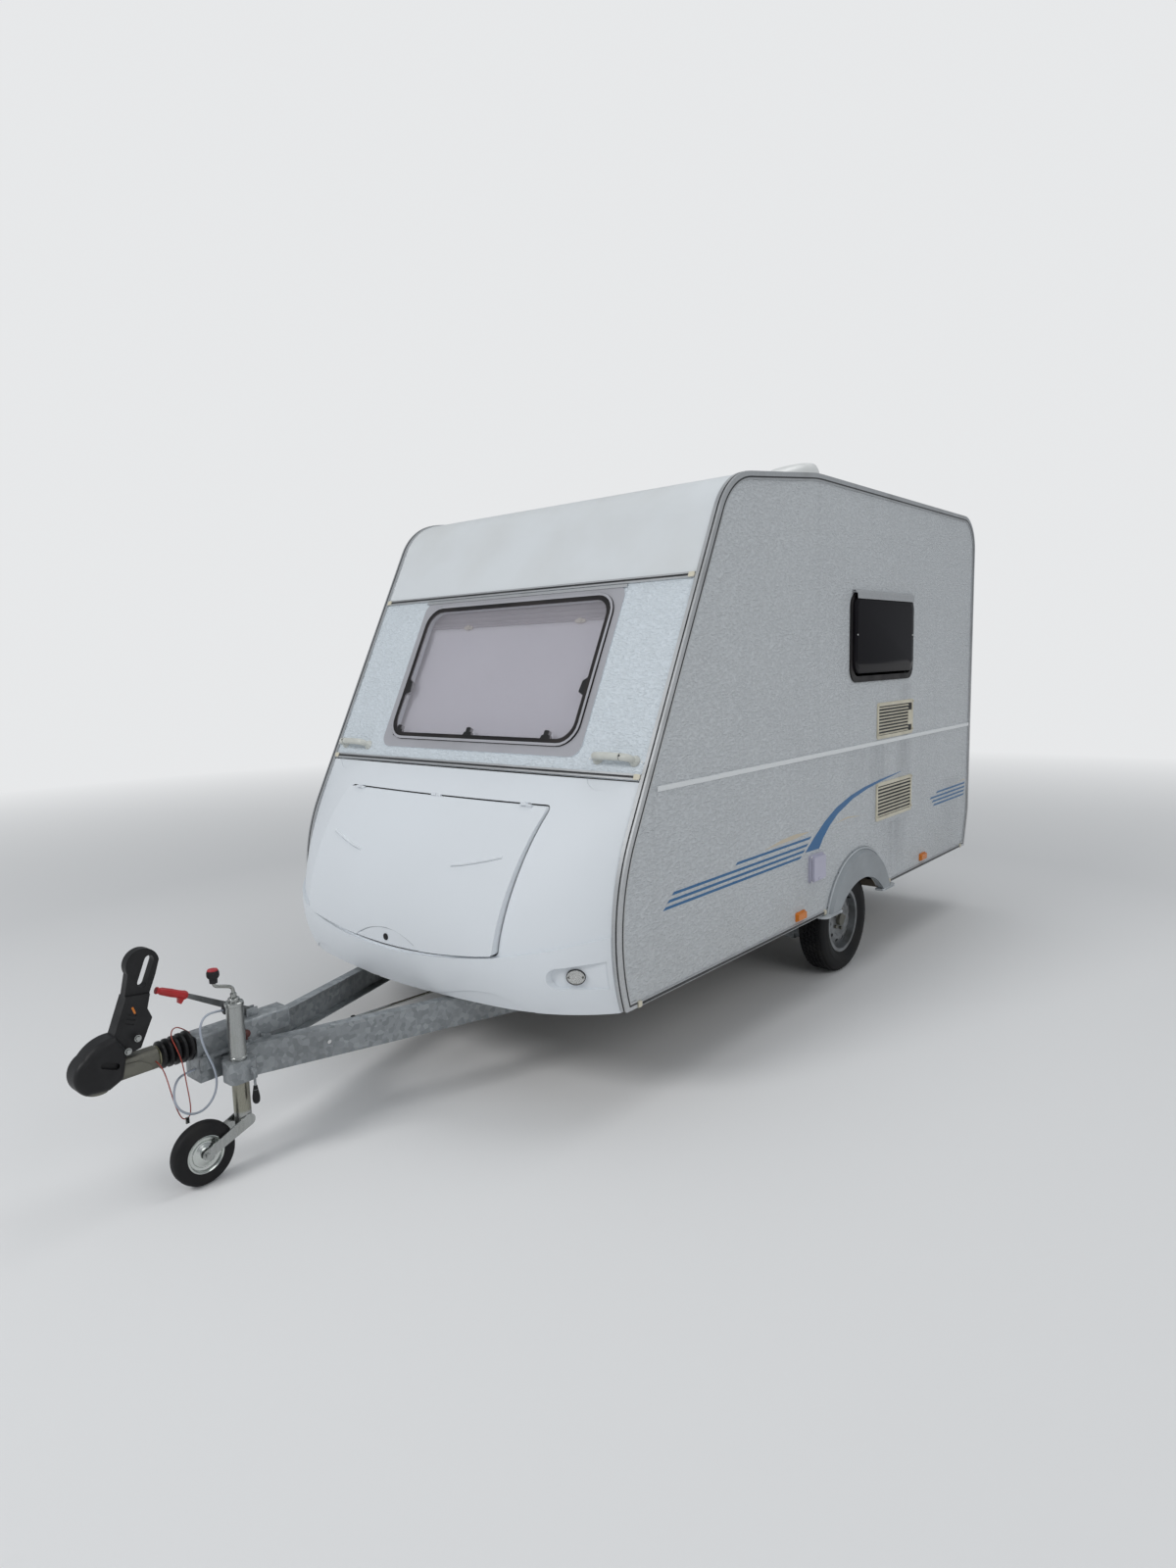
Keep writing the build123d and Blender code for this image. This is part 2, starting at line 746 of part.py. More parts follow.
# Moulded caps on the ends of the cross rails and skirt rails
cap_length = 22
with BuildPart() as rail_end_caps:
    for place in cross_places:
        for side in (1, -1):
            with BuildSketch(place.offset(cross_rail[1] - groove_depth)):
                with Locations((side * (cross_half - 15), 0)):
                    Rectangle(29, groove + 2)
            extrude(amount=groove_depth)
            with BuildSketch(place.offset(cross_rail[1])):
                with Locations((side * (cross_half - 15), 0)):
                    RectangleRounded(29, cross_rail[0] - 3, 5)
            extrude(amount=3)
    for side, runs in side_runs.items():
        for low, high, z, height in runs:
            if z < belt_z:
                for end_y in (low - cap_length / 2, high + cap_length / 2):
                    with Locations((side * (half_width + 5), end_y, z)):
                        Box(10, cap_length, height + 2)
keep(rail_end_caps, "rail_end_caps")

# Mudguards: a sloping face round the arch, a lip on the wall and a flat foot at each end
guard_radius = 425
guard_proud = 36
guard_bottom_z = wall_bottom_z - 10
guard_opening = wheel_arch(arch_half - 14, 543, guard_bottom_z - 2)


def guard_disc(side, radius, start, depth, taper=0.0):
    with BuildPart() as disc:
        place = Plane(
            origin=(side * (half_width + start), axle_y, wheel_radius),
            x_dir=(0, side, 0),
            z_dir=(side, 0, 0),
        )
        with BuildSketch(place):
            Circle(radius)
        extrude(amount=depth, taper=taper)
    return disc.part


with BuildPart() as mudguards:
    for side in (1, -1):
        add(guard_disc(side, guard_radius, 0, 5))
        add(guard_disc(side, guard_radius - 12, 5, guard_proud - 10, 34))
    for side in (1, -1):
        start_x = min(side * half_width, side * (half_width + guard_proud))
        with BuildSketch(Plane.YZ.offset(start_x)):
            add(guard_opening)
            with Locations((axle_y, guard_bottom_z - guard_radius)):
                Rectangle(3 * guard_radius, 2 * guard_radius)
        extrude(amount=guard_proud, mode=Mode.SUBTRACT)
    for side in (1, -1):
        foot_in = arch_half - 16
        foot_out = (guard_radius**2 - (guard_bottom_z - wheel_radius) ** 2) ** 0.5 + 8
        for end in (-1, 1):
            place = Plane.XY.offset(guard_bottom_z - 6)
            with BuildSketch(place):
                with Locations(
                    (side * (half_width + guard_proud / 2), axle_y + end * (foot_in + foot_out) / 2)
                ):
                    RectangleRounded(guard_proud, foot_out - foot_in, 8)
            extrude(amount=9)
keep(mudguards, "mudguards")

# Fridge vents: a frame with sloping louvres, set in the wall's pockets
louvre_count = 9
with BuildPart() as fridge_vents:
    for low, high in vent_rows:
        with BuildSketch(side_plane(1, middle(vent_y), middle((low, high)))):
            RectangleRounded(span(vent_y), high - low, 14)
            Rectangle(span(vent_y) - 44, high - low - 44, mode=Mode.SUBTRACT)
        extrude(amount=9)
        with BuildSketch(side_plane(1, middle(vent_y), low + 11, 9)):
            Rectangle(span(vent_y) - 40, 12)
        extrude(amount=4, taper=20)
        with BuildSketch(side_plane(1, middle(vent_y), middle((low, high)), -vent_pocket)):
            Rectangle(span(vent_y) - 26, high - low - 26)
            Rectangle(span(vent_y) - 44, high - low - 44, mode=Mode.SUBTRACT)
        extrude(amount=vent_pocket)
        pitch = (high - low - 44) / louvre_count
        for index in range(louvre_count):
            z = low + 22 + pitch * (index + 0.5)
            with BuildSketch(Plane.XZ.offset(-vent_y[0] - 22)):
                with Locations((half_width - 5, z)):
                    Rectangle(20, 3, rotation=-40)
            extrude(amount=-(span(vent_y) - 44))
    upper = vent_rows[0]
    with Locations((half_width - 2, vent_y[1] - 96, middle(upper))):
        Box(22, 10, span(upper) - 44)
    with Locations((half_width + 7, vent_y[1] - 56, middle(upper))):
        Box(6, 72, 64)
keep(fridge_vents, "fridge_vents")

# Mains inlet box
inlet_y = (348, 494)
inlet_z = (630, 768)
with BuildPart() as mains_inlet:
    with BuildSketch(side_plane(1, middle(inlet_y), middle(inlet_z))):
        RectangleRounded(span(inlet_y), span(inlet_z), 12)
    extrude(amount=16)
    with BuildSketch(side_plane(1, middle(inlet_y), middle(inlet_z), 16)):
        RectangleRounded(span(inlet_y) - 16, span(inlet_z) - 16, 10)
    extrude(amount=14, taper=8)
keep(mains_inlet, "mains_inlet")

# Grab handles above the lower front rail: a bow with rounded feet
handle_x = (745, 970)
handle_z = 1368
handle_rise = 42
with BuildPart() as grab_handles:
    for side in (1, -1):
        foot_plane = front_plane(handle_z)
        rise = foot_plane.z_dir * handle_rise
        inner, outer = (foot_plane.origin + Vector(side * x, 0, 0) for x in handle_x)
        slope = Vector(side * 26, 0, 0)
        with BuildLine() as bow:
            FilletPolyline(inner, inner + rise + slope, outer + rise - slope / 2, outer, radius=24)
        with BuildSketch(Plane(origin=inner, z_dir=bow.wires()[0] % 0)):
            Circle(13)
        sweep(path=bow.wires()[0])
        with BuildSketch(foot_plane):
            with Locations((side * handle_x[0], 0), (side * handle_x[1], 0)):
                Ellipse(26, 18)
        extrude(amount=12)
        with BuildSketch(foot_plane.offset(12)):
            with Locations((side * (handle_x[1] - 2), 0)):
                Circle(17)
        extrude(amount=handle_rise - 6, taper=4)
        with BuildSketch(foot_plane):
            Rectangle(3 * half_width, 200)
        extrude(amount=-40, mode=Mode.SUBTRACT)
keep(grab_handles, "grab_handles")

# Rear bumper moulding with the tail lamps and a bare number plate panel
bumper_z = (440, 800)
bumper_proud = 38
bumper_skin = 5
bumper_half = inner_half - 20
bumper_recess = 10
tail_lamp = {"x": 770, "z": 640, "size": (300, 120), "corner": 30}
plate_size = (540, 132)
with BuildSketch() as bumper_side:
    with BuildLine():
        Polyline(
            (rear_y, bumper_z[1]),
            (rear_y + bumper_proud, bumper_z[1] - 60),
            (rear_y + bumper_proud, 520),
            (rear_bottom_y + 8, bumper_z[0]),
            (rear_y - 3 * wall, bumper_z[0]),
            (rear_y - 3 * wall, bumper_z[1]),
            close=True,
        )
    make_face()


def bumper_recesses(grow):
    with BuildPart() as recesses:
        with BuildSketch(rear_plane(0, tail_lamp["z"], bumper_proud)):
            for side in (1, -1):
                with Locations((side * tail_lamp["x"], 0)):
                    width, height = tail_lamp["size"]
                    RectangleRounded(width + 2 * grow, height + 2 * grow, tail_lamp["corner"] + grow)
            Rectangle(plate_size[0] + 2 * grow, plate_size[1] + 2 * grow)
        extrude(amount=-bumper_recess - grow)
    return recesses.part


with BuildPart() as bumper_hollow:
    with BuildSketch(Plane.YZ.offset(-bumper_half + bumper_skin)):
        offset(bumper_side.sketch, amount=-bumper_skin)
    extrude(amount=2 * (bumper_half - bumper_skin))
    add(bumper_recesses(bumper_skin), mode=Mode.SUBTRACT)

with BuildPart() as rear_bumper:
    with BuildSketch(Plane.YZ.offset(-bumper_half)):
        add(bumper_side.sketch)
        add(body_side.sketch, mode=Mode.SUBTRACT)
    extrude(amount=2 * bumper_half)
    add(bumper_hollow.part, mode=Mode.SUBTRACT)
    add(bumper_recesses(0), mode=Mode.SUBTRACT)
keep(rear_bumper, "rear_bumper")

with BuildPart() as rear_lamps:
    with BuildSketch(rear_plane(0, tail_lamp["z"], bumper_proud - bumper_recess)):
        for side in (1, -1):
            with Locations((side * tail_lamp["x"], 0)):
                width, height = tail_lamp["size"]
                RectangleRounded(width - 4, height - 4, tail_lamp["corner"] - 2)
    extrude(amount=bumper_recess + 2)
keep(rear_lamps, "rear_lamps")

# Rooflight hinges: the axis in (y, z), with a moving knuckle on the right of each fixed one
rooflight_axis = (1003, 2648)
rooflight_hinge_x = (-150, 150)


def rooflight_knuckles(shift, grow=0.0):
    with BuildPart() as knuckles:
        with Locations(*[(x + shift, *rooflight_axis) for x in rooflight_hinge_x]):
            Cylinder(knuckle["radius"] + grow, knuckle["length"] + 2 * grow, rotation=(0, 90, 0))
    return knuckles.part


# Roof fittings: the low cowl near the left edge and the frame of the rooflight
cowl_y = (430, 800)
cowl_x = 820
cowl_height = 112
with BuildPart() as roof_fittings:
    with BuildSketch(Plane.YZ.offset(cowl_x - 110)):
        with BuildLine():
            Polyline(
                (cowl_y[0], roof_z),
                (cowl_y[0] + 110, roof_z + cowl_height - 12),
                (cowl_y[1] - 20, roof_z + cowl_height),
                (cowl_y[1], roof_z),
                close=True,
            )
        make_face()
    extrude(amount=220)
    cowl_edges = roof_fittings.edges().group_by(Axis.Z)
    fillet(cowl_edges[-1] + cowl_edges[-2], 22)
    with BuildSketch(Plane.XY.offset(roof_z)):
        with Locations((0, rooflight_y)):
            RectangleRounded(rooflight_hole + 70, rooflight_hole + 70, 40)
            Rectangle(rooflight_hole, rooflight_hole, mode=Mode.SUBTRACT)
    extrude(amount=24)
    with Locations(*[(x, rooflight_axis[0] + 9, roof_z + 19) for x in rooflight_hinge_x]):
        Box(knuckle["length"], 14, 14)
    add(rooflight_knuckles(0))
keep(roof_fittings, "roof_fittings")

rooflight_lid_z = roof_z + 24 + gap
with BuildPart() as rooflight_lid:
    with BuildSketch(Plane.XY.offset(rooflight_lid_z)):
        with Locations((0, rooflight_y)):
            RectangleRounded(rooflight_hole + 90, rooflight_hole + 90, 50)
    extrude(amount=42, taper=20)
    fillet(rooflight_lid.faces().sort_by(Axis.Z)[-1].edges(), 14)
    offset(amount=-4, openings=rooflight_lid.faces().sort_by(Axis.Z)[0])
    shift = knuckle["length"] + knuckle["gap"]
    with Locations(*[(x + shift, rooflight_axis[0] + 2, roof_z + 33) for x in rooflight_hinge_x]):
        Box(knuckle["length"], 8, 6)
    add(rooflight_knuckles(shift))
    add(rooflight_knuckles(0, knuckle["gap"]), mode=Mode.SUBTRACT)
keep(rooflight_lid, "rooflight_lid")

# Entrance door: frame on the wall, solid sandwich leaf, window and handle.
# Three lift-off hinges outside the wall: the axis in (x, y), and the height of each
door_axis = (-1037, 1440)
door_hinge_z = (680, 1300, 2140)
door_knuckle = 42
with BuildPart() as door_frame:
    with BuildSketch(side_plane(-1, middle(door_y), middle(door_z))):
        RectangleRounded(span(door_y) + 60, span(door_z) + 60, 30)
        Rectangle(span(door_y), span(door_z), mode=Mode.SUBTRACT)
    extrude(amount=5)
    for z in door_hinge_z:
        fixed_z = z - door_knuckle / 2 - knuckle["gap"] / 2
        with Locations((door_axis[0] + 5, door_axis[1] - 13, fixed_z)):
            Box(4, 26, door_knuckle)
        with Locations((*door_axis, fixed_z)):
            Cylinder(6, door_knuckle)
keep(door_frame, "door_frame")

with BuildPart() as door_panel:
    with BuildSketch(Plane.YZ.offset(-half_width - 2)):
        with Locations((middle(door_y), middle(door_z))):
            RectangleRounded(span(door_y) - 2 * gap, span(door_z) - 2 * gap, 10)
        with Locations((middle(door_y), middle(door_window["z"]))):
            RectangleRounded(
                door_window["width"] - 2 * window_frame,
                span(door_window["z"]) - 2 * window_frame,
                door_window["corner"] - window_frame,
                mode=Mode.SUBTRACT,
            )
    extrude(amount=wall)
    for z in door_hinge_z:
        moving_z = z + door_knuckle / 2 + knuckle["gap"] / 2
        with Locations((door_axis[0] + 4.5, door_axis[1] + 19, moving_z)):
            Box(3, 38, door_knuckle)
        with Locations((door_axis[0] + 8, door_axis[1] + 23, moving_z)):
            Box(5, 30, door_knuckle)
        with Locations((*door_axis, moving_z)):
            Cylinder(6, door_knuckle)
keep(door_panel, "door_panel")

door_window_place = side_plane(-1, middle(door_y), middle(door_window["z"]), 2)
with BuildPart() as door_window_piece:
    with BuildSketch(door_window_place):
        RectangleRounded(door_window["width"], span(door_window["z"]), door_window["corner"])
    extrude(amount=frame_proud)
keep(door_window_piece, "door_window")

handle_y = door_y[1] - 75
with BuildPart() as door_handle:
    with BuildSketch(side_plane(-1, handle_y, 1180, 2)):
        RectangleRounded(80, 130, 14)
        with Locations((0, 10)):
            RectangleRounded(56, 50, 8, mode=Mode.SUBTRACT)
    extrude(amount=12)
    with BuildSketch(side_plane(-1, handle_y, 1180, 2)):
        with Locations((0, 10)):
            RectangleRounded(56, 50, 8)
    extrude(amount=3)
keep(door_handle, "door_handle")


# Drawbar and chassis: two cranked C sections that open inwards, with holes through the webs
beam_holes = [(-1890, 8), (-1120, 12), (-260, 22), (60, 22), (380, 22), (1400, 22), (1720, 22)]
beam_angle = atan2(beam_bend[0] - beam_front[0], beam_bend[1] - beam_front[1])


def beam_strip(side, width):
    inner_front = (beam_front[0] - width * cos(beam_angle), beam_front[1] + width * sin(beam_angle))
    inner_bend = (beam_bend[0] - width, beam_bend[1] + width * tan(beam_angle / 2))
    points = [
        beam_front,
        beam_bend,
        (beam_bend[0], beam_rear_y),
        (beam_bend[0] - width, beam_rear_y),
        inner_bend,
        inner_front,
    ]
    return [(side * x, y) for x, y in points]


with BuildPart() as chassis_beams:
    for side in (1, -1):
        levels = (
            (beam_plate, beam_top_z - beam_depth, beam_depth),
            (beam_flange, beam_top_z - beam_depth, beam_plate),
            (beam_flange, beam_top_z - beam_plate, beam_plate),
        )
        for width, z, height in levels:
            with BuildSketch(Plane.XY.offset(z)):
                with BuildLine():
                    Polyline(*beam_strip(side, width), close=True)
                make_face()
            extrude(amount=height)
    for y, radius in beam_holes:
        with Locations((0, y, beam_top_z - beam_depth / 2)):
            Cylinder(radius, 2 * half_width, rotation=(0, 90, 0), mode=Mode.SUBTRACT)
keep(chassis_beams, "chassis_beams")


def beam_web_x(y):
    if y > beam_bend[1]:
        return beam_bend[0]
    return beam_front[0] + (y - beam_front[1]) * tan(beam_angle)


# Cross tubes between the webs, and the steadies' brackets under the floor
tube_levels = (beam_top_z - beam_plate - 62, beam_top_z - beam_plate - 2)
steady_x = 800
steady_length = 430
steady_pivot_z = 372
steady_pivots = {"front": (-500, -1), "rear": (2090, 1)}
with BuildPart() as cross_members:
    for y in (-1000, -560, 2300):
        half = beam_web_x(y - 20) - beam_flange - 12
        with Locations((0, y, middle(tube_levels))):
            Box(2 * half, 40, span(tube_levels))
    for x in (steady_x, -steady_x):
        for y, _ in steady_pivots.values():
            for lug in (-1, 1):
                with Locations((x + lug * 40, y, middle((steady_pivot_z - 16, floor_z[0])))):
                    Box(6, 60, floor_z[0] - steady_pivot_z + 16)
            with Locations((x, y, floor_z[0] - 3)):
                Box(86, 60, 6)
keep(cross_members, "cross_members")

for end, (pivot_y, direction) in steady_pivots.items():
    for label, side in (("left", 1), ("right", -1)):
        with BuildPart() as steady:
            with BuildSketch(Plane.YZ.offset(side * steady_x - 24)):
                with BuildLine():
                    Polyline(
                        (pivot_y - direction * 16, steady_pivot_z - 14),
                        (pivot_y - direction * 16, steady_pivot_z + 14),
                        (pivot_y + direction * 60, steady_pivot_z + 20),
                        (pivot_y + direction * steady_length, steady_pivot_z + 14),
                        (pivot_y + direction * steady_length, steady_pivot_z - 14),
                        close=True,
                    )
                make_face()
            extrude(amount=48)
            with Locations((side * steady_x, pivot_y, steady_pivot_z)):
                Cylinder(7, 73, rotation=(0, 90, 0))
            foot_y = pivot_y + direction * (steady_length + 4)
            with Locations((side * steady_x, foot_y, steady_pivot_z - 8)):
                Box(90, 8, 60)
        keep(steady, f"steady_{end}_{label}")

# Axle: square tube under the beams, trailing arms and spindles
axle_tube = {"y": 780, "z": 240, "size": 90}
arm_x = (742, 786)
spindle_radius = 20


def bar_between(start, end, start_radius, end_radius):
    with BuildSketch() as bar:
        with Locations(start):
            Circle(start_radius)
        with Locations(end):
            Circle(end_radius)
        make_hull()
    return bar.sketch


with BuildPart() as axle_beam:
    with Locations((0, axle_tube["y"], axle_tube["z"])):
        Box(2 * arm_x[0], axle_tube["size"], axle_tube["size"])
    fillet(axle_beam.edges().filter_by(Axis.X), 14)
    for side in (1, -1):
        with Locations((side * (beam_bend[0] - 30), axle_tube["y"], beam_top_z - beam_depth - 10)):
            Box(70, 150, 20)
        start_x = min(side * arm_x[0], side * arm_x[1])
        with BuildSketch(Plane.YZ.offset(start_x)):
            add(bar_between((axle_tube["y"], axle_tube["z"]), (axle_y, wheel_radius), 44, 34))
        extrude(amount=span(arm_x))
        with BuildSketch(Plane.YZ.offset(side * arm_x[1])):
            with Locations((axle_y, wheel_radius)):
                Circle(spindle_radius)
        extrude(amount=side * 74)
keep(axle_beam, "axle_beam")

# Road wheels. Profiles as (distance outwards from the wheel's middle plane, radius)
tyre_profile = [
    (-56, bead_radius + 0.4),
    (-56, 190),
    (-81, 226),
    (-76, 262),
    (-60, 284),
    (-40, wheel_radius),
]
rim_profile = [
    (-rim_half, flange_radius),
    (-rim_half + 5, flange_radius),
    (-rim_half + 5, bead_radius),
    (rim_half - 5, bead_radius),
    (rim_half - 5, flange_radius),
    (rim_half, flange_radius),
    (rim_half, bead_radius - 5),
    (24, bead_radius - 5),
    (34, 132),
    (42, 112),
    (42, 92),
    (34, 80),
    (34, 34),
    (29, 34),
    (29, 82),
    (37, 94),
    (37, 108),
    (29, 126),
    (18, bead_radius - 5),
    (-rim_half, bead_radius - 5),
]
bolt_circle = 112
for label, side in (("left", 1), ("right", -1)):
    wheel_centre = (side * wheel_x, axle_y, wheel_radius)
    spin_plane = Plane(origin=wheel_centre, x_dir=(side, 0, 0), z_dir=(0, -side, 0))
    with BuildPart() as tyre:
        with BuildSketch(spin_plane):
            with BuildLine():
                mirrored = [(-x, r) for x, r in reversed(tyre_profile)]
                Polyline(*tyre_profile, *mirrored, close=True)
            make_face()
        revolve(axis=Axis(wheel_centre, (1, 0, 0)))
    keep(tyre, f"wheel_{label}_tyre")
    with BuildPart() as rim:
        with BuildSketch(spin_plane):
            with BuildLine():
                Polyline(*rim_profile, close=True)
            make_face()
        revolve(axis=Axis(wheel_centre, (1, 0, 0)))
        with BuildSketch(Plane.YZ.offset(side * wheel_x)):
            with Locations((axle_y, wheel_radius)):
                with PolarLocations(bolt_circle / 2, 5):
                    Circle(6.5)
                with PolarLocations(118, 10):
                    Circle(11)
        extrude(amount=side * 60, mode=Mode.SUBTRACT)
    keep(rim, f"wheel_{label}_rim")
    with BuildPart() as hub:
        with BuildSketch(Plane.YZ.offset(side * (wheel_x - 80))):
            with Locations((axle_y, wheel_radius)):
                Circle(112)
        extrude(amount=side * 104)
        with BuildSketch(Plane.YZ.offset(side * (wheel_x + 24))):
            with Locations((axle_y, wheel_radius)):
                Circle(78)
        extrude(amount=side * 5)
        with BuildSketch(Plane.YZ.offset(side * (wheel_x + 29))):
            with Locations((axle_y, wheel_radius)):
                Circle(33)
        extrude(amount=side * 26)
        with BuildSketch(Plane.YZ.offset(side * (wheel_x - 80))):
            with Locations((axle_y, wheel_radius)):
                Circle(spindle_radius + 0.5)
        extrude(amount=side * 70, mode=Mode.SUBTRACT)
        with BuildSketch(Plane.YZ.offset(side * (wheel_x + 34))):
            with Locations((axle_y, wheel_radius)):
                with PolarLocations(bolt_circle / 2, 5):
                    Circle(10)
        extrude(amount=side * 12)
    keep(hub, f"wheel_{label}_hub")

# Overrun housing over the front of the beams: deck plate, upper box, block below and lever ears
housing_y = (-2345, -1985)
housing_half = 46
deck = {"half": 70, "y": (-2345, -2070), "top": beam_top_z + 8}
housing_top_z = 490
block = {"half": 50, "y": (-2345, -2230), "bottom": 322}
lever_pivot = (-2112, 506)
with BuildPart() as overrun_housing:
    with BuildSketch(Plane.XY.offset(beam_top_z)):
        with Locations((0, middle(deck["y"]))):
            RectangleRounded(2 * deck["half"], span(deck["y"]), 12)
    extrude(amount=deck["top"] - beam_top_z)
    with BuildSketch(Plane.XY.offset(deck["top"])):
        with Locations((0, middle(housing_y))):
            Rectangle(2 * housing_half, span(housing_y))
    extrude(amount=housing_top_z - deck["top"])
    fillet(overrun_housing.faces().sort_by(Axis.Z)[-1].edges().filter_by(Axis.Y), 10)
    with BuildSketch(Plane.XY.offset(block["bottom"])):
        with Locations((0, middle(block["y"]))):
            Rectangle(2 * block["half"], span(block["y"]))
    extrude(amount=beam_top_z - block["bottom"])
    for side in (-1, 1):
        with Locations((side * 12, lever_pivot[0], housing_top_z + 15)):
            Box(6, 44, 30)
keep(overrun_housing, "overrun_housing")

# Rubber gaiter on the draw tube, a revolve with five ribs
gaiter_y = (-2465, -2345)
gaiter_ribs = 5
gaiter_bore = 25.5
with BuildPart() as gaiter:
    with BuildSketch(Plane.YZ):
        with BuildLine():
            points = [(gaiter_y[0], draw_z + gaiter_bore), (gaiter_y[0], draw_z + 36)]
            pitch = span(gaiter_y) / gaiter_ribs
            for index in range(gaiter_ribs):
                y = gaiter_y[0] + pitch * index
                rib = draw_z + 48 + 1.5 * index
                points += [(y + pitch * 0.25, rib), (y + pitch * 0.6, rib), (y + pitch * 0.9, rib - 12)]
            points += [(gaiter_y[1], draw_z + 40), (gaiter_y[1], draw_z + gaiter_bore)]
            Polyline(*points, close=True)
        make_face()
    revolve(axis=Axis((0, 0, draw_z), (0, 1, 0)))
keep(gaiter, "drawtube_gaiter")

# Coupling head with the ball socket, and the draw tube that carries it
ball_y = -2668
cup_radius = 34
socket_radius = 25.25
socket_z = (402, 446)
neck = {"y": (-2655, -2472), "size": (60, 72)}
neck_plate = [(-2602, 478), (-2536, 470), (-2500, 446), (-2500, 426), (-2560, 432), (-2602, 444)]
with BuildPart() as coupling_head:
    with BuildSketch(Plane.XZ.offset(-gaiter_y[1])):
        with Locations((0, draw_z)):
            Circle(gaiter_bore - 0.5)
    extrude(amount=gaiter_y[1] - neck["y"][1])
    with BuildSketch(Plane.XZ.offset(-neck["y"][1])):
        with Locations((0, draw_z)):
            RectangleRounded(*neck["size"], 16)
    extrude(amount=span(neck["y"]))
    with BuildSketch(Plane.XY.offset(socket_z[0])):
        with Locations((0, ball_y)):
            Circle(cup_radius)
    extrude(amount=80)
    with BuildSketch(Plane.XY.offset(socket_z[0])):
        with Locations((0, ball_y)):
            Circle(socket_radius)
    extrude(amount=span(socket_z), mode=Mode.SUBTRACT)
    with Locations((0, ball_y, socket_z[1])):
        Sphere(socket_radius, mode=Mode.SUBTRACT)
    for side in (-1, 1):
        with BuildSketch(Plane.YZ.offset(side * neck["size"][0] / 2)):
            with BuildLine():
                Polyline(*neck_plate, close=True)
            make_face()
            fillet(vertices(), 6)
        extrude(amount=side * 4)
keep(coupling_head, "coupling_head")

# Black hood over the ball cup and the upright stabiliser handle, both drawn in (y, z)
hood_half = 45
hood_slot = {"place": (-2636, 492), "size": (62, 22), "turn": -24, "depth": 12}
handle_half = (26, 17)
with BuildPart() as coupling_handle:
    with BuildSketch(Plane.YZ.offset(-hood_half)):
        with BuildLine():
            tip = ThreePointArc((-2712, 412), (-2745, 464), (-2708, 536))
            crown = ThreePointArc(tip @ 1, (-2658, 572), (-2606, 580))
            Polyline(crown @ 1, (-2572, 524), (-2594, 428), (-2640, 406), tip @ 0)
        make_face()
    extrude(amount=2 * hood_half)
    hood_sides = coupling_handle.edges().filter_by_position(Axis.X, -hood_half, -hood_half)
    hood_sides += coupling_handle.edges().filter_by_position(Axis.X, hood_half, hood_half)
    fillet(hood_sides, 20)
    with BuildSketch(Plane.YZ.offset(-handle_half[0])):
        with BuildLine():
            Polyline(
                (-2616, 560),
                (-2559, 700),
                (-2480, 690),
                (-2493, 641),
                (-2480, 606),
                (-2526, 512),
                (-2590, 500),
                close=True,
            )
        make_face()
    extrude(amount=2 * handle_half[0])
    with BuildSketch(Plane.YZ.offset(-handle_half[1])):
        with BuildLine():
            loop_front = Line((-2562, 690), (-2543, 770))
            loop_top = ThreePointArc(loop_front @ 1, (-2482, 847), (-2436, 798))
            Polyline(
                loop_top @ 1,
                (-2452, 750),
                (-2478, 690),
                (-2490, 640),
                (-2570, 640),
                loop_front @ 0,
            )
        make_face()
        with Locations((-2484, 768)):
            SlotOverall(108, 32, rotation=67, mode=Mode.SUBTRACT)
    extrude(amount=2 * handle_half[1])
    with BuildSketch(Plane.XY.offset(socket_z[0] - 20)):
        with Locations((0, ball_y)):
            Circle(cup_radius)
    extrude(amount=103, mode=Mode.SUBTRACT)
    add(coupling_head.part, mode=Mode.SUBTRACT)
    for side in (-1, 1):
        with BuildSketch(Plane.YZ.offset(side * hood_half)):
            with Locations(hood_slot["place"]):
                SlotOverall(*hood_slot["size"], rotation=hood_slot["turn"])
        extrude(amount=-side * hood_slot["depth"], mode=Mode.SUBTRACT)
        with BuildSketch(Plane.YZ.offset(side * handle_half[0])):
            for index in range(3):
                with Locations((-2556 + 6 * index, 606 + 14 * index)):
                    SlotOverall(30, 5, rotation=-24)
        extrude(amount=-side * 2.5, mode=Mode.SUBTRACT)
keep(coupling_handle, "coupling_handle")

# Handbrake lever with its grip, in (y, z)
lever_end = (-2345, 636)
grip_end = (-2450, 686)
with BuildPart() as handbrake_lever:
    with BuildSketch(Plane.YZ.offset(-7)):
        add(bar_between(lever_pivot, lever_end, 14, 8))
    extrude(amount=14)
    with BuildSketch(Plane.YZ.offset(-13)):
        add(bar_between(lever_end, grip_end, 15, 12))
    extrude(amount=26)
keep(handbrake_lever, "handbrake_lever")

# Brake rod back to the equaliser on the axle tube
rod_front = (0, block["y"][1], 352)
equaliser_y = axle_tube["y"] - axle_tube["size"] / 2
rod_rear = (0, equaliser_y - 20, 256)
with BuildPart() as brake_rod:
    with BuildLine() as rod_line:
        Line(rod_front, rod_rear)
    with BuildSketch(Plane(origin=rod_front, z_dir=rod_line.line % 0)):
        Circle(6)
    sweep(path=rod_line.line)
    with Locations((0, equaliser_y - 15, rod_rear[2])):
        Box(120, 30, 34)
    with Locations((0, rod_front[1] - 20, rod_front[2])):
        Box(40, 40, 40, mode=Mode.SUBTRACT)
keep(brake_rod, "brake_rod")

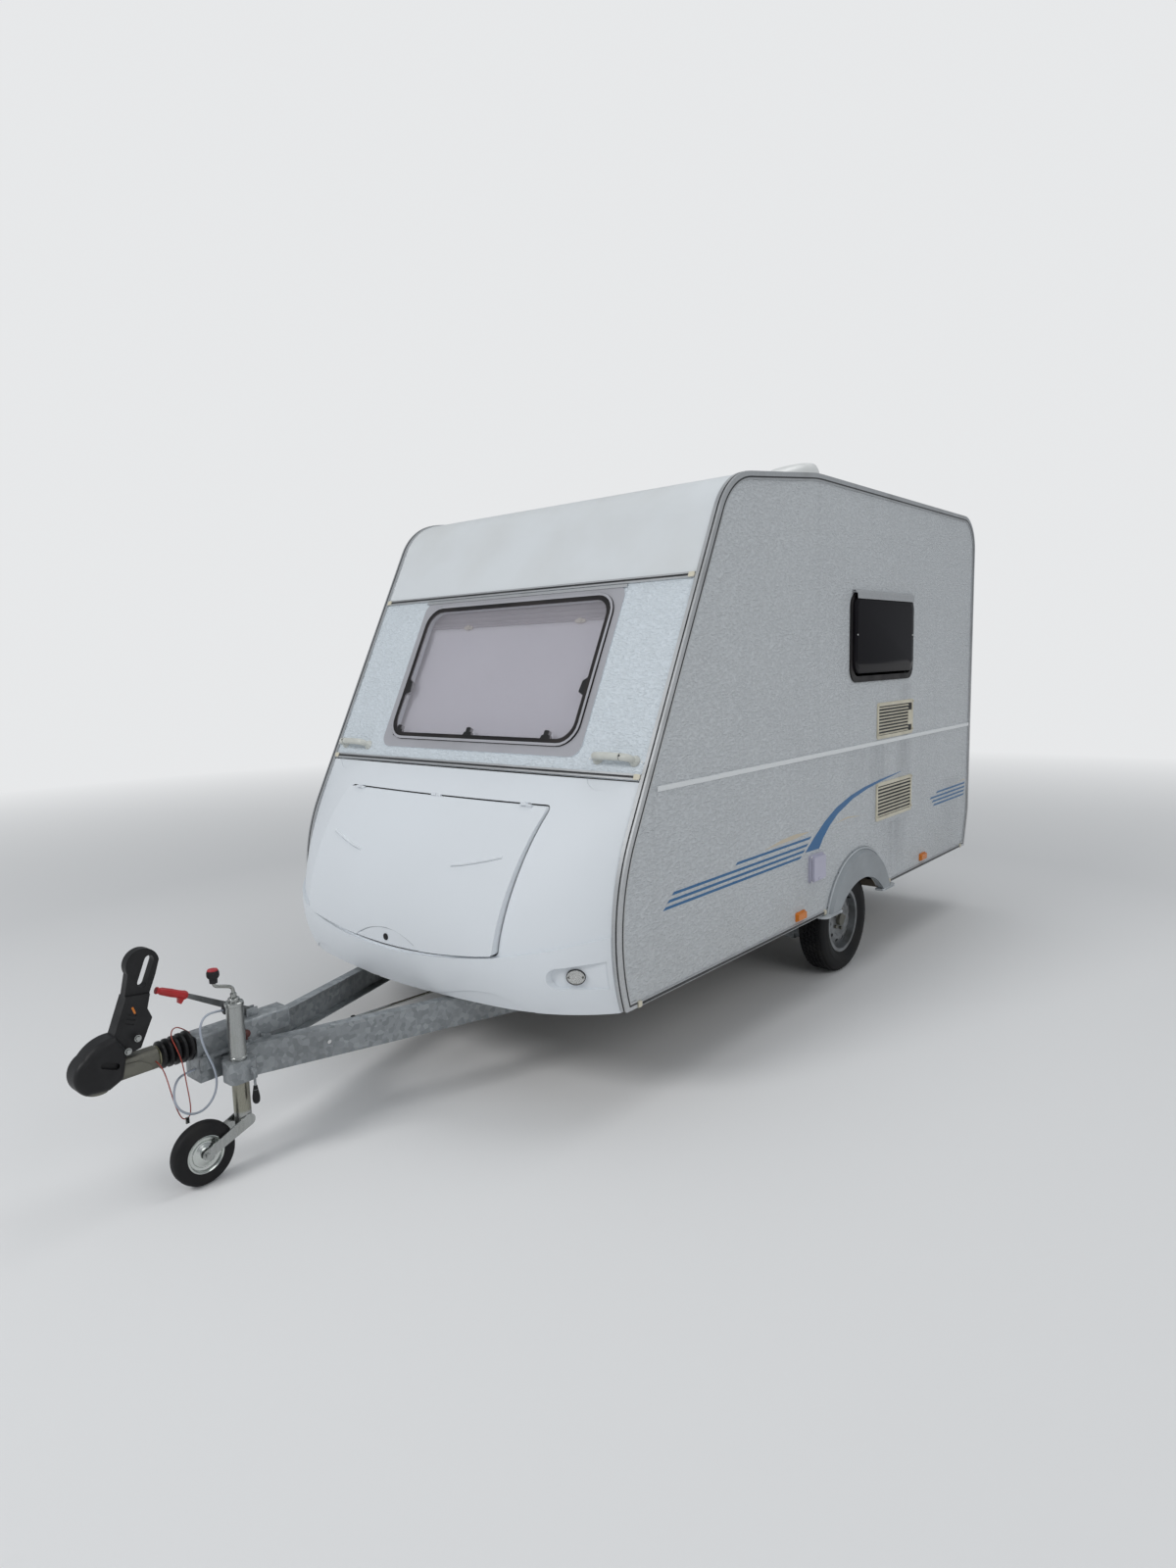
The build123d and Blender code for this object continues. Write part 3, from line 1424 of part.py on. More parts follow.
# Jockey wheel: clamp on the drawbar, tube with fork, crank, wheel
clamp_z = (322, 398)
with BuildPart() as jockey_clamp:
    with BuildSketch(Plane.XY.offset(clamp_z[0])):
        with Locations((jockey_x, jockey_y + 2)):
            RectangleRounded(84, 104, 24)
        with Locations((middle((block["half"], jockey_x)), jockey_y - 2)):
            Rectangle(jockey_x - block["half"], 46)
        with Locations((jockey_x, jockey_y)):
            Circle(jockey_tube_radius + 0.3, mode=Mode.SUBTRACT)
    extrude(amount=span(clamp_z))
    tommy_x = jockey_x + 58
    with Locations((jockey_x + 50, jockey_y + 24, 362)):
        Cylinder(9, 24, rotation=(0, 90, 0))
    with Locations((tommy_x, jockey_y + 24, 322)):
        Cylinder(4.5, 96)
    with Locations((tommy_x, jockey_y + 24, 268)):
        Cylinder(9, 50)
keep(jockey_clamp, "jockey_clamp")

tube_z = (160, 612)
fork_gap = 29
with BuildPart() as jockey_leg:
    with BuildSketch(Plane.XY.offset(tube_z[0])):
        with Locations((jockey_x, jockey_y)):
            Circle(jockey_tube_radius)
    extrude(amount=span(tube_z))
    fillet(jockey_leg.faces().sort_by(Axis.Z)[-1].edges(), 5)
    with BuildSketch(Plane.XY.offset(tube_z[1])):
        with Locations((jockey_x, jockey_y)):
            Circle(20)
    extrude(amount=14)
    fillet(jockey_leg.faces().sort_by(Axis.Z)[-1].edges(), 4)
    with BuildSketch(Plane.YZ.offset(jockey_x - fork_gap - 5)):
        add(bar_between((jockey_y + 6, 176), (jockey_wheel_y, jockey_wheel_radius), 22, 17))
    extrude(amount=5)
    with BuildSketch(Plane.YZ.offset(jockey_x + fork_gap)):
        add(bar_between((jockey_y + 6, 176), (jockey_wheel_y, jockey_wheel_radius), 22, 17))
    extrude(amount=5)
    with Locations((jockey_x, jockey_wheel_y, jockey_wheel_radius)):
        Cylinder(8, 2 * fork_gap + 26, rotation=(0, 90, 0))
keep(jockey_leg, "jockey_leg")

crank_path = [
    (jockey_x, jockey_y, tube_z[1] + 14),
    (jockey_x, jockey_y, 660),
    (jockey_x, jockey_y - 68, 684),
    (jockey_x, jockey_y - 68, 704),
]
with BuildPart() as jockey_crank:
    with BuildLine() as crank_line:
        FilletPolyline(*crank_path, radius=9)
    with BuildSketch(Plane.XY.offset(tube_z[1] + 14)):
        with Locations((jockey_x, jockey_y)):
            Circle(6.5)
    sweep(path=crank_line.wires()[0])
    with BuildSketch(Plane.XY.offset(700)):
        with Locations((jockey_x, jockey_y - 68)):
            Circle(13)
    extrude(amount=24)
    with BuildSketch(Plane.XY.offset(720)):
        with Locations((jockey_x, jockey_y - 68)):
            Circle(18)
    extrude(amount=26)
    fillet(jockey_crank.faces().sort_by(Axis.Z)[-1].edges(), 5)
keep(jockey_crank, "jockey_crank")

hub_axis = Axis((jockey_x, jockey_wheel_y, jockey_wheel_radius), (1, 0, 0))
jockey_plane = Plane(origin=hub_axis.position, x_dir=(1, 0, 0), z_dir=(0, -1, 0))
jockey_tyre_profile = [(-22, 66.3), (-25, 92), (-19, 109), (-12, jockey_wheel_radius)]
with BuildPart() as jockey_tyre:
    with BuildSketch(jockey_plane):
        with BuildLine():
            mirrored = [(-x, r) for x, r in reversed(jockey_tyre_profile)]
            Polyline(*jockey_tyre_profile, *mirrored, close=True)
        make_face()
    revolve(axis=hub_axis)
keep(jockey_tyre, "jockey_tyre")

jockey_rim_profile = [(-23, 66), (-23, 60), (-6, 56), (-4, 30), (-21, 24), (-21, 8.5)]
with BuildPart() as jockey_rim:
    with BuildSketch(jockey_plane):
        with BuildLine():
            mirrored = [(-x, r) for x, r in reversed(jockey_rim_profile)]
            Polyline(*jockey_rim_profile, *mirrored, close=True)
        make_face()
    revolve(axis=hub_axis)
keep(jockey_rim, "jockey_rim")

# Parked plug of the grey cable, in its holder on the deck plate
plug_place = (66, 566)
plug_y = (-2250, -2180)
with BuildPart() as parked_plug:
    with BuildSketch(Plane.XZ.offset(-plug_y[1])):
        with Locations(plug_place):
            Circle(17)
    extrude(amount=span(plug_y))
    fillet(parked_plug.faces().sort_by(Axis.Y)[0].edges(), 6)
    with BuildSketch(Plane.XY.offset(deck["top"])):
        with Locations((58, -2196)):
            Rectangle(14, 24)
    extrude(amount=plug_place[1] - deck["top"])
keep(parked_plug, "parked_plug")

# Free cables. Each route is a list of points, with arcs as large as its runs allow
grey_radius = 4
grey_route = [
    (15, -2345, 366),
    (18, -2388, 364),
    (44, -2424, 364),
    (70, -2450, 344),
    (76, -2455, 304),
    (75, -2436, 262),
    (76, -2398, 234),
    (77, -2352, 234),
    (78, -2314, 268),
    (79, -2299, 318),
    (79, -2305, 374),
    (78, -2326, 430),
    (75, -2341, 486),
    (71, -2343, 532),
    (67, -2322, 566),
    (66, -2284, 572),
    (66, -2250, 566),
]
red_radius = 2
red_route = [
    (-20, -2336, 490),
    (-20, -2371, 525),
    (0, -2406, 533),
    (32, -2428, 518),
    (58, -2424, 486),
    (62, -2412, 442),
    (60, -2404, 394),
    (58, -2399, 344),
    (58, -2394, 296),
    (57, -2391, 252),
    (57, -2396, 222),
    (57, -2418, 218),
    (57, -2432, 240),
    (57, -2444, 282),
    (57, -2454, 330),
    (56, -2462, 378),
    (55, -2472, 420),
    (46, -2482, 446),
    (30, -2484, 450),
]


def arc_radii(route):
    radii = []
    for before, point, after in zip(route, route[1:], route[2:]):
        first = Vector(*point) - Vector(*before)
        second = Vector(*after) - Vector(*point)
        turn = radians(first.get_angle(second))
        radii.append(0.45 * min(first.length, second.length) / tan(turn / 2))
    return radii


cables = {"grey_cable": (grey_route, grey_radius), "red_cable": (red_route, red_radius)}
for label, (route, radius) in cables.items():
    radii = arc_radii(route)
    print(label, "arc radii", [round(value) for value in radii])
    with BuildPart() as cable:
        with BuildLine() as cable_line:
            FilletPolyline(*route, radius=radii)
        with BuildSketch(Plane(origin=route[0], z_dir=cable_line.wires()[0] % 0)):
            Circle(radius)
        sweep(path=cable_line.wires()[0])
    length = cable_line.wires()[0].length
    share = cable.part.volume / (pi * radius**2 * length)
    print(label, "length", round(length), "volume share", round(share, 3))
    keep(cable, label)

# Snap hook at the lowest point of the red cable
with BuildPart() as snap_hook:
    with Locations((57, -2407, 212)):
        Box(7, 12, 22)
keep(snap_hook, "snap_hook")
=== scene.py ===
import bpy
import bmesh
from math import atan2, cos, pi, radians, sin
from mathutils import Matrix, Vector
from mathutils.bvhtree import BVHTree


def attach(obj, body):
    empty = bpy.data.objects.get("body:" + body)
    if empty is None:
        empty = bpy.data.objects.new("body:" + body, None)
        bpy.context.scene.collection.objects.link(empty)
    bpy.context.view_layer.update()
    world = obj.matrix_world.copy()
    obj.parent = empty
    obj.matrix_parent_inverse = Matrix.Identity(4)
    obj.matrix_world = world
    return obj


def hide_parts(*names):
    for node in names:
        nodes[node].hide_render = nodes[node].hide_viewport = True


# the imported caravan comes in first: metres, +Z up, hitch towards -Y, door on the -X side
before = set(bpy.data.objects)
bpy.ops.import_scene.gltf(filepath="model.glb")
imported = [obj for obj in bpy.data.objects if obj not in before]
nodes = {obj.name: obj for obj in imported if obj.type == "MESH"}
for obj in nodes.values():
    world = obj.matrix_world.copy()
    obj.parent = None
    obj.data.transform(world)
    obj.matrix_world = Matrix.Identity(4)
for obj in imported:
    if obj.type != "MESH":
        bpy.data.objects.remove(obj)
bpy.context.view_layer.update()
scene = bpy.context.scene
print("caravan frame loaded,", len(nodes), "nodes")

# places on the body that the trim is set out from
body = {
    "halfWidth": 1.025,
    "rearY": 2.705,
    "tangentY": -1.08598,       # where the straight front leaves the lower arc
    "tangentZ": 1.10249,
    "rake": 0.5,                # metres back for each metre up the front
    "axleY": 0.94,
    "wheelRadius": 0.287,
    "wheelX": 0.8775,
}
rakeAngle = atan2(body["rake"], 1)


def frontY(z):
    return body["tangentY"] + body["rake"] * (z - body["tangentZ"])


def placeFrom(origin, uAxis, vAxis):
    uAxis = Vector(uAxis).normalized()
    vAxis = Vector(vAxis).normalized()
    place = Matrix((uAxis, vAxis, uAxis.cross(vAxis))).transposed().to_4x4()
    place.translation = Vector(origin)
    return place


# the place's own third axis points straight up
def uprightPlace(origin):
    return placeFrom(origin, (1, 0, 0), (0, 1, 0))


# the place's own third axis points along X
def crossPlace(origin):
    return placeFrom(origin, (0, 1, 0), (0, 0, 1))


def wallPlace(side, y, z, proud=0.0):
    return placeFrom((side * (body["halfWidth"] + proud), y, z), (0, side, 0), (0, 0, 1))


def slopePlace(x, z, proud=0.0):
    outward = Vector((0, -cos(rakeAngle), sin(rakeAngle)))
    origin = Vector((x, frontY(z), z)) + outward * proud
    return placeFrom(origin, (1, 0, 0), (0, sin(rakeAngle), cos(rakeAngle)))


def rearPlace(x, z, proud=0.0):
    return placeFrom((x, body["rearY"] + proud, z), (-1, 0, 0), (0, 0, 1))


# camera, at the photograph's viewpoint
cameraView = {
    "place": (3.13024, -3.79876, 1.77063),
    "turn": 0.70636,            # round the vertical, from looking along +Y
    "tip": 0.133602,            # below the horizon
    "roll": -0.0278614,
    "focalPixels": 942.58,      # for an image 1600 pixels high
}


def makeCamera():
    turn, tip, roll = cameraView["turn"], cameraView["tip"], cameraView["roll"]
    back = Vector((sin(turn) * cos(tip), -cos(turn) * cos(tip), sin(tip)))
    level = (-back).cross(Vector((0, 0, 1))).normalized()
    upright = level.cross(-back)
    right = level * cos(roll) + upright * sin(roll)
    up = upright * cos(roll) - level * sin(roll)
    camera = bpy.data.objects.new("photoCamera", bpy.data.cameras.new("photoCamera"))
    camera.data.sensor_width = 36
    camera.data.lens = cameraView["focalPixels"] * 36 / 1600
    camera.data.clip_end = 200
    camera.matrix_world = Matrix((right, up, back)).transposed().to_4x4()
    camera.matrix_world.translation = cameraView["place"]
    scene.collection.objects.link(camera)
    scene.camera = camera


makeCamera()
print("camera set")


# building blocks of the materials
def addNode(tree, kind, inputs=None, **settings):
    node = tree.nodes.new("ShaderNode" + kind)
    for name, value in settings.items():
        setattr(node, name, value)
    for name, value in (inputs or {}).items():
        node.inputs[name].default_value = value
    return node


def startMaterial(name, **sockets):
    material = bpy.data.materials.new(name)
    material.use_nodes = True
    tree = material.node_tree
    shader = tree.nodes["Principled BSDF"]
    for socket, value in sockets.items():
        shader.inputs[socket.replace("_", " ")].default_value = value
    return material, tree, shader


def objectPoints(tree, scale=(1, 1, 1), turn=(0, 0, 0)):
    coordinates = addNode(tree, "TexCoord")
    mapping = addNode(tree, "Mapping", {"Scale": scale, "Rotation": turn})
    tree.links.new(coordinates.outputs["Object"], mapping.inputs["Vector"])
    return mapping.outputs["Vector"]


def noiseOf(tree, points, scale, detail=3.0, distortion=0.0):
    noise = addNode(tree, "TexNoise", {"Scale": scale, "Detail": detail, "Distortion": distortion})
    tree.links.new(points, noise.inputs["Vector"])
    return noise.outputs["Fac"]


def rangeOf(tree, value, low, high, toLow=0.0, toHigh=1.0):
    limits = {"From Min": low, "From Max": high, "To Min": toLow, "To Max": toHigh}
    mapRange = addNode(tree, "MapRange", limits)
    tree.links.new(value, mapRange.inputs["Value"])
    return mapRange.outputs["Result"]


def multiplied(tree, first, second):
    product = addNode(tree, "Math", operation="MULTIPLY")
    tree.links.new(first, product.inputs[0])
    if isinstance(second, float):
        product.inputs[1].default_value = second
    else:
        tree.links.new(second, product.inputs[1])
    return product.outputs[0]


def mixColours(tree, share, first, second):
    mix = addNode(tree, "Mix", data_type="RGBA")
    tree.links.new(share, mix.inputs["Factor"])
    colourSockets = [s for s in mix.inputs if s.type == "RGBA"]
    for socket, colour in zip(colourSockets, (first, second)):
        if isinstance(colour, tuple):
            socket.default_value = (*colour, 1)
        else:
            tree.links.new(colour, socket)
    return [s for s in mix.outputs if s.type == "RGBA"][0]


def addBump(tree, shader, height, strength, distance):
    bump = addNode(tree, "Bump", {"Strength": strength, "Distance": distance})
    tree.links.new(height, bump.inputs["Height"])
    tree.links.new(bump.outputs["Normal"], shader.inputs["Normal"])


def coordinateOf(tree, axis):
    coordinates = addNode(tree, "TexCoord")
    split = addNode(tree, "SeparateXYZ")
    tree.links.new(coordinates.outputs["Object"], split.inputs[0])
    return split.outputs[axis]


# a moulded, painted or cast surface: two tones, uneven gloss and a fine grain
def plainSurface(name, look):
    material, tree, shader = startMaterial(
        name,
        Metallic=look.get("metallic", 0.0),
        Coat_Weight=look.get("coat", 0.0),
        Coat_Roughness=0.08,
        Specular_IOR_Level=look.get("shine", 0.5),
    )
    points = objectPoints(tree)
    stain = rangeOf(tree, noiseOf(tree, points, look["stainScale"], 7.0), 0.42, 0.72)
    colour = mixColours(tree, multiplied(tree, stain, look["stain"]), look["colour"], look["second"])
    tree.links.new(colour, shader.inputs["Base Color"])
    gloss = noiseOf(tree, points, 12.0, 4.0)
    tree.links.new(rangeOf(tree, gloss, 0.3, 0.7, *look["roughness"]), shader.inputs["Roughness"])
    grain = noiseOf(tree, points, look.get("grainScale", 400.0), 2.0)
    addBump(tree, shader, grain, look.get("grain", 0.15), look.get("grainDepth", 0.0004))
    return material


# how far a run of dirty water shows: middle and half width along Y, top and foot in Z, strength
def smearShare(tree, smear):
    middle, half, top, foot, share = smear
    offset = addNode(tree, "Math", {1: middle}, operation="SUBTRACT")
    tree.links.new(coordinateOf(tree, "Y"), offset.inputs[0])
    across = addNode(tree, "Math", operation="ABSOLUTE")
    tree.links.new(offset.outputs[0], across.inputs[0])
    sides = rangeOf(tree, across.outputs[0], half, half * 0.25)
    upper = rangeOf(tree, coordinateOf(tree, "Z"), top, top - 0.03)
    lower = rangeOf(tree, coordinateOf(tree, "Z"), foot, top, 0.0, share)
    ragged = rangeOf(tree, noiseOf(tree, objectPoints(tree, (8, 8, 1.3)), 3.0, 5.0), 0.3, 0.6, 0.35, 1.0)
    shown = multiplied(tree, multiplied(tree, sides, upper), multiplied(tree, lower, ragged))
    onLeft = rangeOf(tree, coordinateOf(tree, "X"), 0.99, 1.0)
    return multiplied(tree, shown, onLeft)


# hammered sheet: short soft dimples with painted shade in their hollows, dust that gathers low down, a wood
# lining on the inside
def hammeredSheet(name, look):
    material, tree, shader = startMaterial(name, Coat_Weight=0.15, Coat_Roughness=0.25)
    points = objectPoints(tree)
    stain = rangeOf(tree, noiseOf(tree, points, 1.7, 6.0), 0.4, 0.75)
    colour = mixColours(tree, multiplied(tree, stain, 0.35), look["colour"], look["second"])
    streakPoints = objectPoints(tree, (9, 9, 0.55))
    streak = rangeOf(tree, noiseOf(tree, streakPoints, 1.6, 4.0), 0.56, 0.8)
    colour = mixColours(tree, multiplied(tree, streak, 0.16), colour, look["streak"])
    low = rangeOf(tree, coordinateOf(tree, "Z"), 0.75, 0.40, 0.0, 0.32)
    colour = mixColours(tree, multiplied(tree, low, stain), colour, look["dust"])
    for smear in look.get("smears", ()):
        colour = mixColours(tree, smearShare(tree, smear), colour, look["damp"])
    if look["lining"]:
        axis, level = look["lining"]
        depth = addNode(tree, "Math", operation="ABSOLUTE")
        tree.links.new(coordinateOf(tree, axis), depth.inputs[0])
        inside = rangeOf(tree, depth.outputs[0], level + 0.0005, level - 0.0005)
        colour = mixColours(tree, inside, colour, look["liningColour"])
    roughness = rangeOf(tree, noiseOf(tree, points, 8.0, 3.0), 0.3, 0.7, 0.36, 0.50)
    tree.links.new(roughness, shader.inputs["Roughness"])
    slanted = objectPoints(tree, look["stretch"], look["turn"])
    dimples = rangeOf(tree, noiseOf(tree, slanted, look["dimples"], 1.5, 0.35), 0.36, 0.64)
    # the hollows of the dimples are painted darker towards the streak colour, as painted shade
    shade = multiplied(tree, rangeOf(tree, dimples, 0.0, 1.0, 1.0, 0.0), look["hollowShade"])
    tree.links.new(mixColours(tree, shade, colour, look["streak"]), shader.inputs["Base Color"])
    addBump(tree, shader, dimples, look["strength"], 0.0035)
    return material


# galvanised steel: zinc flowers, dull streaks and faint stains
def galvanisedSteel(name, look):
    material, tree, shader = startMaterial(name, Metallic=look["metallic"])
    points = objectPoints(tree)
    flowers = addNode(tree, "TexVoronoi", {"Scale": look["flowers"], "Randomness": 1.0})
    tree.links.new(points, flowers.inputs["Vector"])
    tone = addNode(tree, "SeparateColor")
    tree.links.new(flowers.outputs["Color"], tone.inputs[0])
    colour = mixColours(tree, tone.outputs[0], look["colour"], look["second"])
    stain = rangeOf(tree, noiseOf(tree, points, 7.0, 8.0), 0.5, 0.72)
    colour = mixColours(tree, multiplied(tree, stain, look["stain"]), colour, look["third"])
    tree.links.new(colour, shader.inputs["Base Color"])
    tree.links.new(rangeOf(tree, tone.outputs[1], 0.0, 1.0, *look["roughness"]), shader.inputs["Roughness"])
    addBump(tree, shader, noiseOf(tree, points, 150.0, 3.0), 0.25, 0.0004)
    return material


# drawn or extruded metal with fine lines along it
def drawnMetal(name, look):
    material, tree, shader = startMaterial(name, Metallic=look.get("metallic", 0.85))
    lines = noiseOf(tree, objectPoints(tree, look["stretch"]), 90.0, 3.0)
    colour = mixColours(tree, lines, look["colour"], look["second"])
    wear = rangeOf(tree, noiseOf(tree, objectPoints(tree), 5.0, 6.0), 0.5, 0.75)
    colour = mixColours(tree, multiplied(tree, wear, look["wear"]), colour, look["third"])
    tree.links.new(colour, shader.inputs["Base Color"])
    tree.links.new(rangeOf(tree, lines, 0.2, 0.8, *look["roughness"]), shader.inputs["Roughness"])
    addBump(tree, shader, lines, 0.12, 0.0002)
    return material


# bright steel that turns dull between its foot and a level
def wornTube(name, look):
    material = drawnMetal(name, look)
    tree = material.node_tree
    shader = tree.nodes["Principled BSDF"]
    below = rangeOf(tree, coordinateOf(tree, "Z"), look["level"], look["level"] - 0.03)
    above = rangeOf(tree, coordinateOf(tree, "Z"), look["foot"] - 0.01, look["foot"])
    bright = shader.inputs["Base Color"].links[0].from_socket
    dulled = mixColours(tree, multiplied(tree, below, above), bright, look["dull"])
    tree.links.new(dulled, shader.inputs["Base Color"])
    return material


# rubber, paler where road dust sits in its grain
def dustyRubber(name, look):
    material, tree, shader = startMaterial(name, Specular_IOR_Level=0.3)
    points = objectPoints(tree)
    dust = rangeOf(tree, noiseOf(tree, points, look["dustScale"], 8.0), 0.45, 0.7)
    colour = mixColours(tree, multiplied(tree, dust, look["dust"]), look["colour"], look["second"])
    tree.links.new(colour, shader.inputs["Base Color"])
    tree.links.new(rangeOf(tree, dust, 0.0, 1.0, *look["roughness"]), shader.inputs["Roughness"])
    addBump(tree, shader, noiseOf(tree, points, look["grainScale"], 3.0), 0.3, 0.0005)
    return material


# glass and lenses: a faint haze, and ribs or a slight waviness
def glassSurface(name, look):
    material, tree, shader = startMaterial(
        name,
        IOR=1.49,
        Transmission_Weight=look["clear"],
        Roughness=look["roughness"],
        Specular_IOR_Level=look.get("shine", 0.5),
        Alpha=look.get("cover", 1.0),
    )
    haze = rangeOf(tree, noiseOf(tree, objectPoints(tree), 2.5, 5.0), 0.4, 0.75)
    colour = mixColours(tree, multiplied(tree, haze, look["haze"]), look["colour"], look["second"])
    tree.links.new(colour, shader.inputs["Base Color"])
    if "ribs" in look:
        ribs = addNode(tree, "TexWave", {"Scale": look["ribs"]}, bands_direction=look["ribAxis"])
        tree.links.new(objectPoints(tree), ribs.inputs["Vector"])
        addBump(tree, shader, ribs.outputs["Fac"], 0.4, 0.0008)
    else:
        addBump(tree, shader, noiseOf(tree, objectPoints(tree), 1.2, 1.0), 0.02, 0.01)
    return material


# the finishes; each dictionary holds the colours and how they wear
# the side walls carry a greyer copy of the white paint as painted shade, and the rear wall takes the same
# copy
sideShadedLook = {
    "colour": (0.590, 0.615, 0.635), "second": (0.520, 0.540, 0.560), "streak": (0.37, 0.385, 0.40),
    "dust": (0.36, 0.34, 0.29), "lining": ("X", 1.0), "liningColour": (0.62, 0.55, 0.43),
    "damp": (0.24, 0.255, 0.28),
    "smears": [
        (1.20, 0.16, 1.262, 0.60, 0.42), (1.56, 0.14, 1.262, 0.70, 0.50), (1.44, 0.20, 0.812, 0.40, 0.55),
        (1.56, 0.12, 1.60, 1.36, 0.35), (2.36, 0.22, 0.95, 0.40, 0.28), (0.96, 0.24, 1.262, 0.80, 0.20),
    ],
    "dimples": 74.0, "strength": 1.0, "hollowShade": 0.36, "stretch": (1, 0.55, 1.35), "turn": (0.6, 0, 0),
}
rearLook = {"lining": ("Y", 2.6785), "smears": [], "stretch": (0.55, 1, 1.35), "turn": (0, 0.6, 0)}
sideSheetShaded = hammeredSheet("sideSheetShaded", sideShadedLook)
rearSheetShaded = hammeredSheet("rearSheetShaded", {**sideShadedLook, **rearLook})
# the front wall carries a bluer, brighter copy of the same white paint: painted sky light
frontSheetSkyLit = hammeredSheet("frontSheetSkyLit", {
    "colour": (0.66, 0.72, 0.77), "second": (0.61, 0.66, 0.71), "streak": (0.52, 0.56, 0.58),
    "dust": (0.40, 0.40, 0.36), "lining": False,
    "dimples": 82.0, "strength": 0.9, "hollowShade": 0.26, "stretch": (0.55, 1, 1.35), "turn": (0, 0.6, 0),
})
noseGelcoat = plainSurface("noseGelcoat", {
    "colour": (0.715, 0.750, 0.785), "second": (0.66, 0.685, 0.71), "stain": 0.3, "stainScale": 1.8,
    "roughness": (0.50, 0.58), "shine": 0.3, "grain": 0.02, "grainScale": 60.0,
})
roofSkin = plainSurface("roofSkin", {
    "colour": (0.70, 0.73, 0.75), "second": (0.60, 0.61, 0.60), "stain": 0.5, "stainScale": 2.2,
    "roughness": (0.34, 0.50), "coat": 0.1, "grain": 0.12, "grainScale": 90.0,
})
railAluminium = drawnMetal("railAluminium", {
    "colour": (0.62, 0.63, 0.64), "second": (0.50, 0.51, 0.52), "third": (0.38, 0.38, 0.37),
    "wear": 0.5, "roughness": (0.30, 0.48), "stretch": (1, 1, 1),
})
beamZinc = galvanisedSteel("beamZinc", {
    "colour": (0.215, 0.232, 0.242), "second": (0.335, 0.355, 0.370), "third": (0.165, 0.175, 0.180),
    "metallic": 0.45, "flowers": 55.0, "stain": 0.6, "roughness": (0.42, 0.60),
})
brightZinc = drawnMetal("brightZinc", {
    "colour": (0.44, 0.45, 0.44), "second": (0.32, 0.335, 0.33), "third": (0.27, 0.265, 0.23),
    "wear": 0.5, "roughness": (0.16, 0.30), "stretch": (1, 1, 0.1), "metallic": 0.95,
})
castSteel = plainSurface("castSteel", {
    "colour": (0.165, 0.162, 0.135), "second": (0.095, 0.092, 0.080), "stain": 0.8, "stainScale": 16.0,
    "roughness": (0.45, 0.65), "metallic": 0.5, "grain": 0.4, "grainScale": 180.0,
})
blackPlastic = plainSurface("blackPlastic", {
    "colour": (0.009, 0.009, 0.010), "second": (0.022, 0.022, 0.023), "stain": 0.6, "stainScale": 14.0,
    "roughness": (0.42, 0.58), "shine": 0.32, "grain": 0.3, "grainScale": 420.0,
})
blackFrame = plainSurface("blackFrame", {
    "colour": (0.014, 0.013, 0.014), "second": (0.045, 0.038, 0.036), "stain": 0.6, "stainScale": 5.0,
    "roughness": (0.40, 0.55), "shine": 0.18, "grain": 0.1,
})
creamPlastic = plainSurface("creamPlastic", {
    "colour": (0.66, 0.62, 0.50), "second": (0.50, 0.46, 0.36), "stain": 0.7, "stainScale": 9.0,
    "roughness": (0.40, 0.55), "grain": 0.15,
})
whitePlastic = plainSurface("whitePlastic", {
    "colour": (0.74, 0.75, 0.74), "second": (0.60, 0.60, 0.57), "stain": 0.4, "stainScale": 8.0,
    "roughness": (0.30, 0.45), "grain": 0.1,
})
inletLilac = plainSurface("inletLilac", {
    "colour": (0.50, 0.49, 0.60), "second": (0.42, 0.41, 0.50), "stain": 0.4, "stainScale": 9.0,
    "roughness": (0.34, 0.48), "grain": 0.1,
})
handleWhite = plainSurface("handleWhite", {
    "colour": (0.60, 0.61, 0.57), "second": (0.46, 0.46, 0.42), "stain": 0.6, "stainScale": 14.0,
    "roughness": (0.34, 0.48), "grain": 0.12,
})
greyGuard = plainSurface("greyGuard", {
    "colour": (0.31, 0.335, 0.355), "second": (0.22, 0.235, 0.245), "stain": 0.6, "stainScale": 4.0,
    "roughness": (0.35, 0.52), "grain": 0.2, "grainScale": 260.0,
})
rimSilver = plainSurface("rimSilver", {
    "colour": (0.24, 0.25, 0.26), "second": (0.11, 0.107, 0.10), "stain": 0.8, "stainScale": 12.0,
    "roughness": (0.32, 0.50), "metallic": 0.6, "grain": 0.15,
})
floorPly = plainSurface("floorPly", {
    "colour": (0.20, 0.17, 0.13), "second": (0.12, 0.10, 0.08), "stain": 0.9, "stainScale": 5.0,
    "roughness": (0.6, 0.8), "grain": 0.4, "grainScale": 120.0,
})
tyreRubber = dustyRubber("tyreRubber", {
    "colour": (0.006, 0.006, 0.007), "second": (0.030, 0.029, 0.027), "dust": 0.6, "dustScale": 9.0,
    "roughness": (0.62, 0.85), "grainScale": 260.0,
})
blackRubber = dustyRubber("blackRubber", {
    "colour": (0.006, 0.006, 0.007), "second": (0.022, 0.022, 0.022), "dust": 0.5, "dustScale": 20.0,
    "roughness": (0.40, 0.60), "grainScale": 300.0,
})
insertBlack = plainSurface("insertBlack", {
    "colour": (0.016, 0.016, 0.018), "second": (0.06, 0.06, 0.06), "stain": 0.7, "stainScale": 7.0,
    "roughness": (0.30, 0.50), "grain": 0.1,
})
surroundLilac = plainSurface("surroundLilac", {
    "colour": (0.40, 0.40, 0.43), "second": (0.32, 0.32, 0.34), "stain": 0.5, "stainScale": 3.0,
    "roughness": (0.30, 0.42), "grain": 0.05,
})
redCap = plainSurface("redCap", {
    "colour": (0.42, 0.02, 0.03), "second": (0.30, 0.015, 0.02), "stain": 0.6, "stainScale": 25.0,
    "roughness": (0.35, 0.50), "grain": 0.15,
})
greasyCream = plainSurface("greasyCream", {
    "colour": (0.60, 0.58, 0.38), "second": (0.32, 0.30, 0.20), "stain": 0.9, "stainScale": 40.0,
    "roughness": (0.25, 0.45), "grain": 0.3,
})
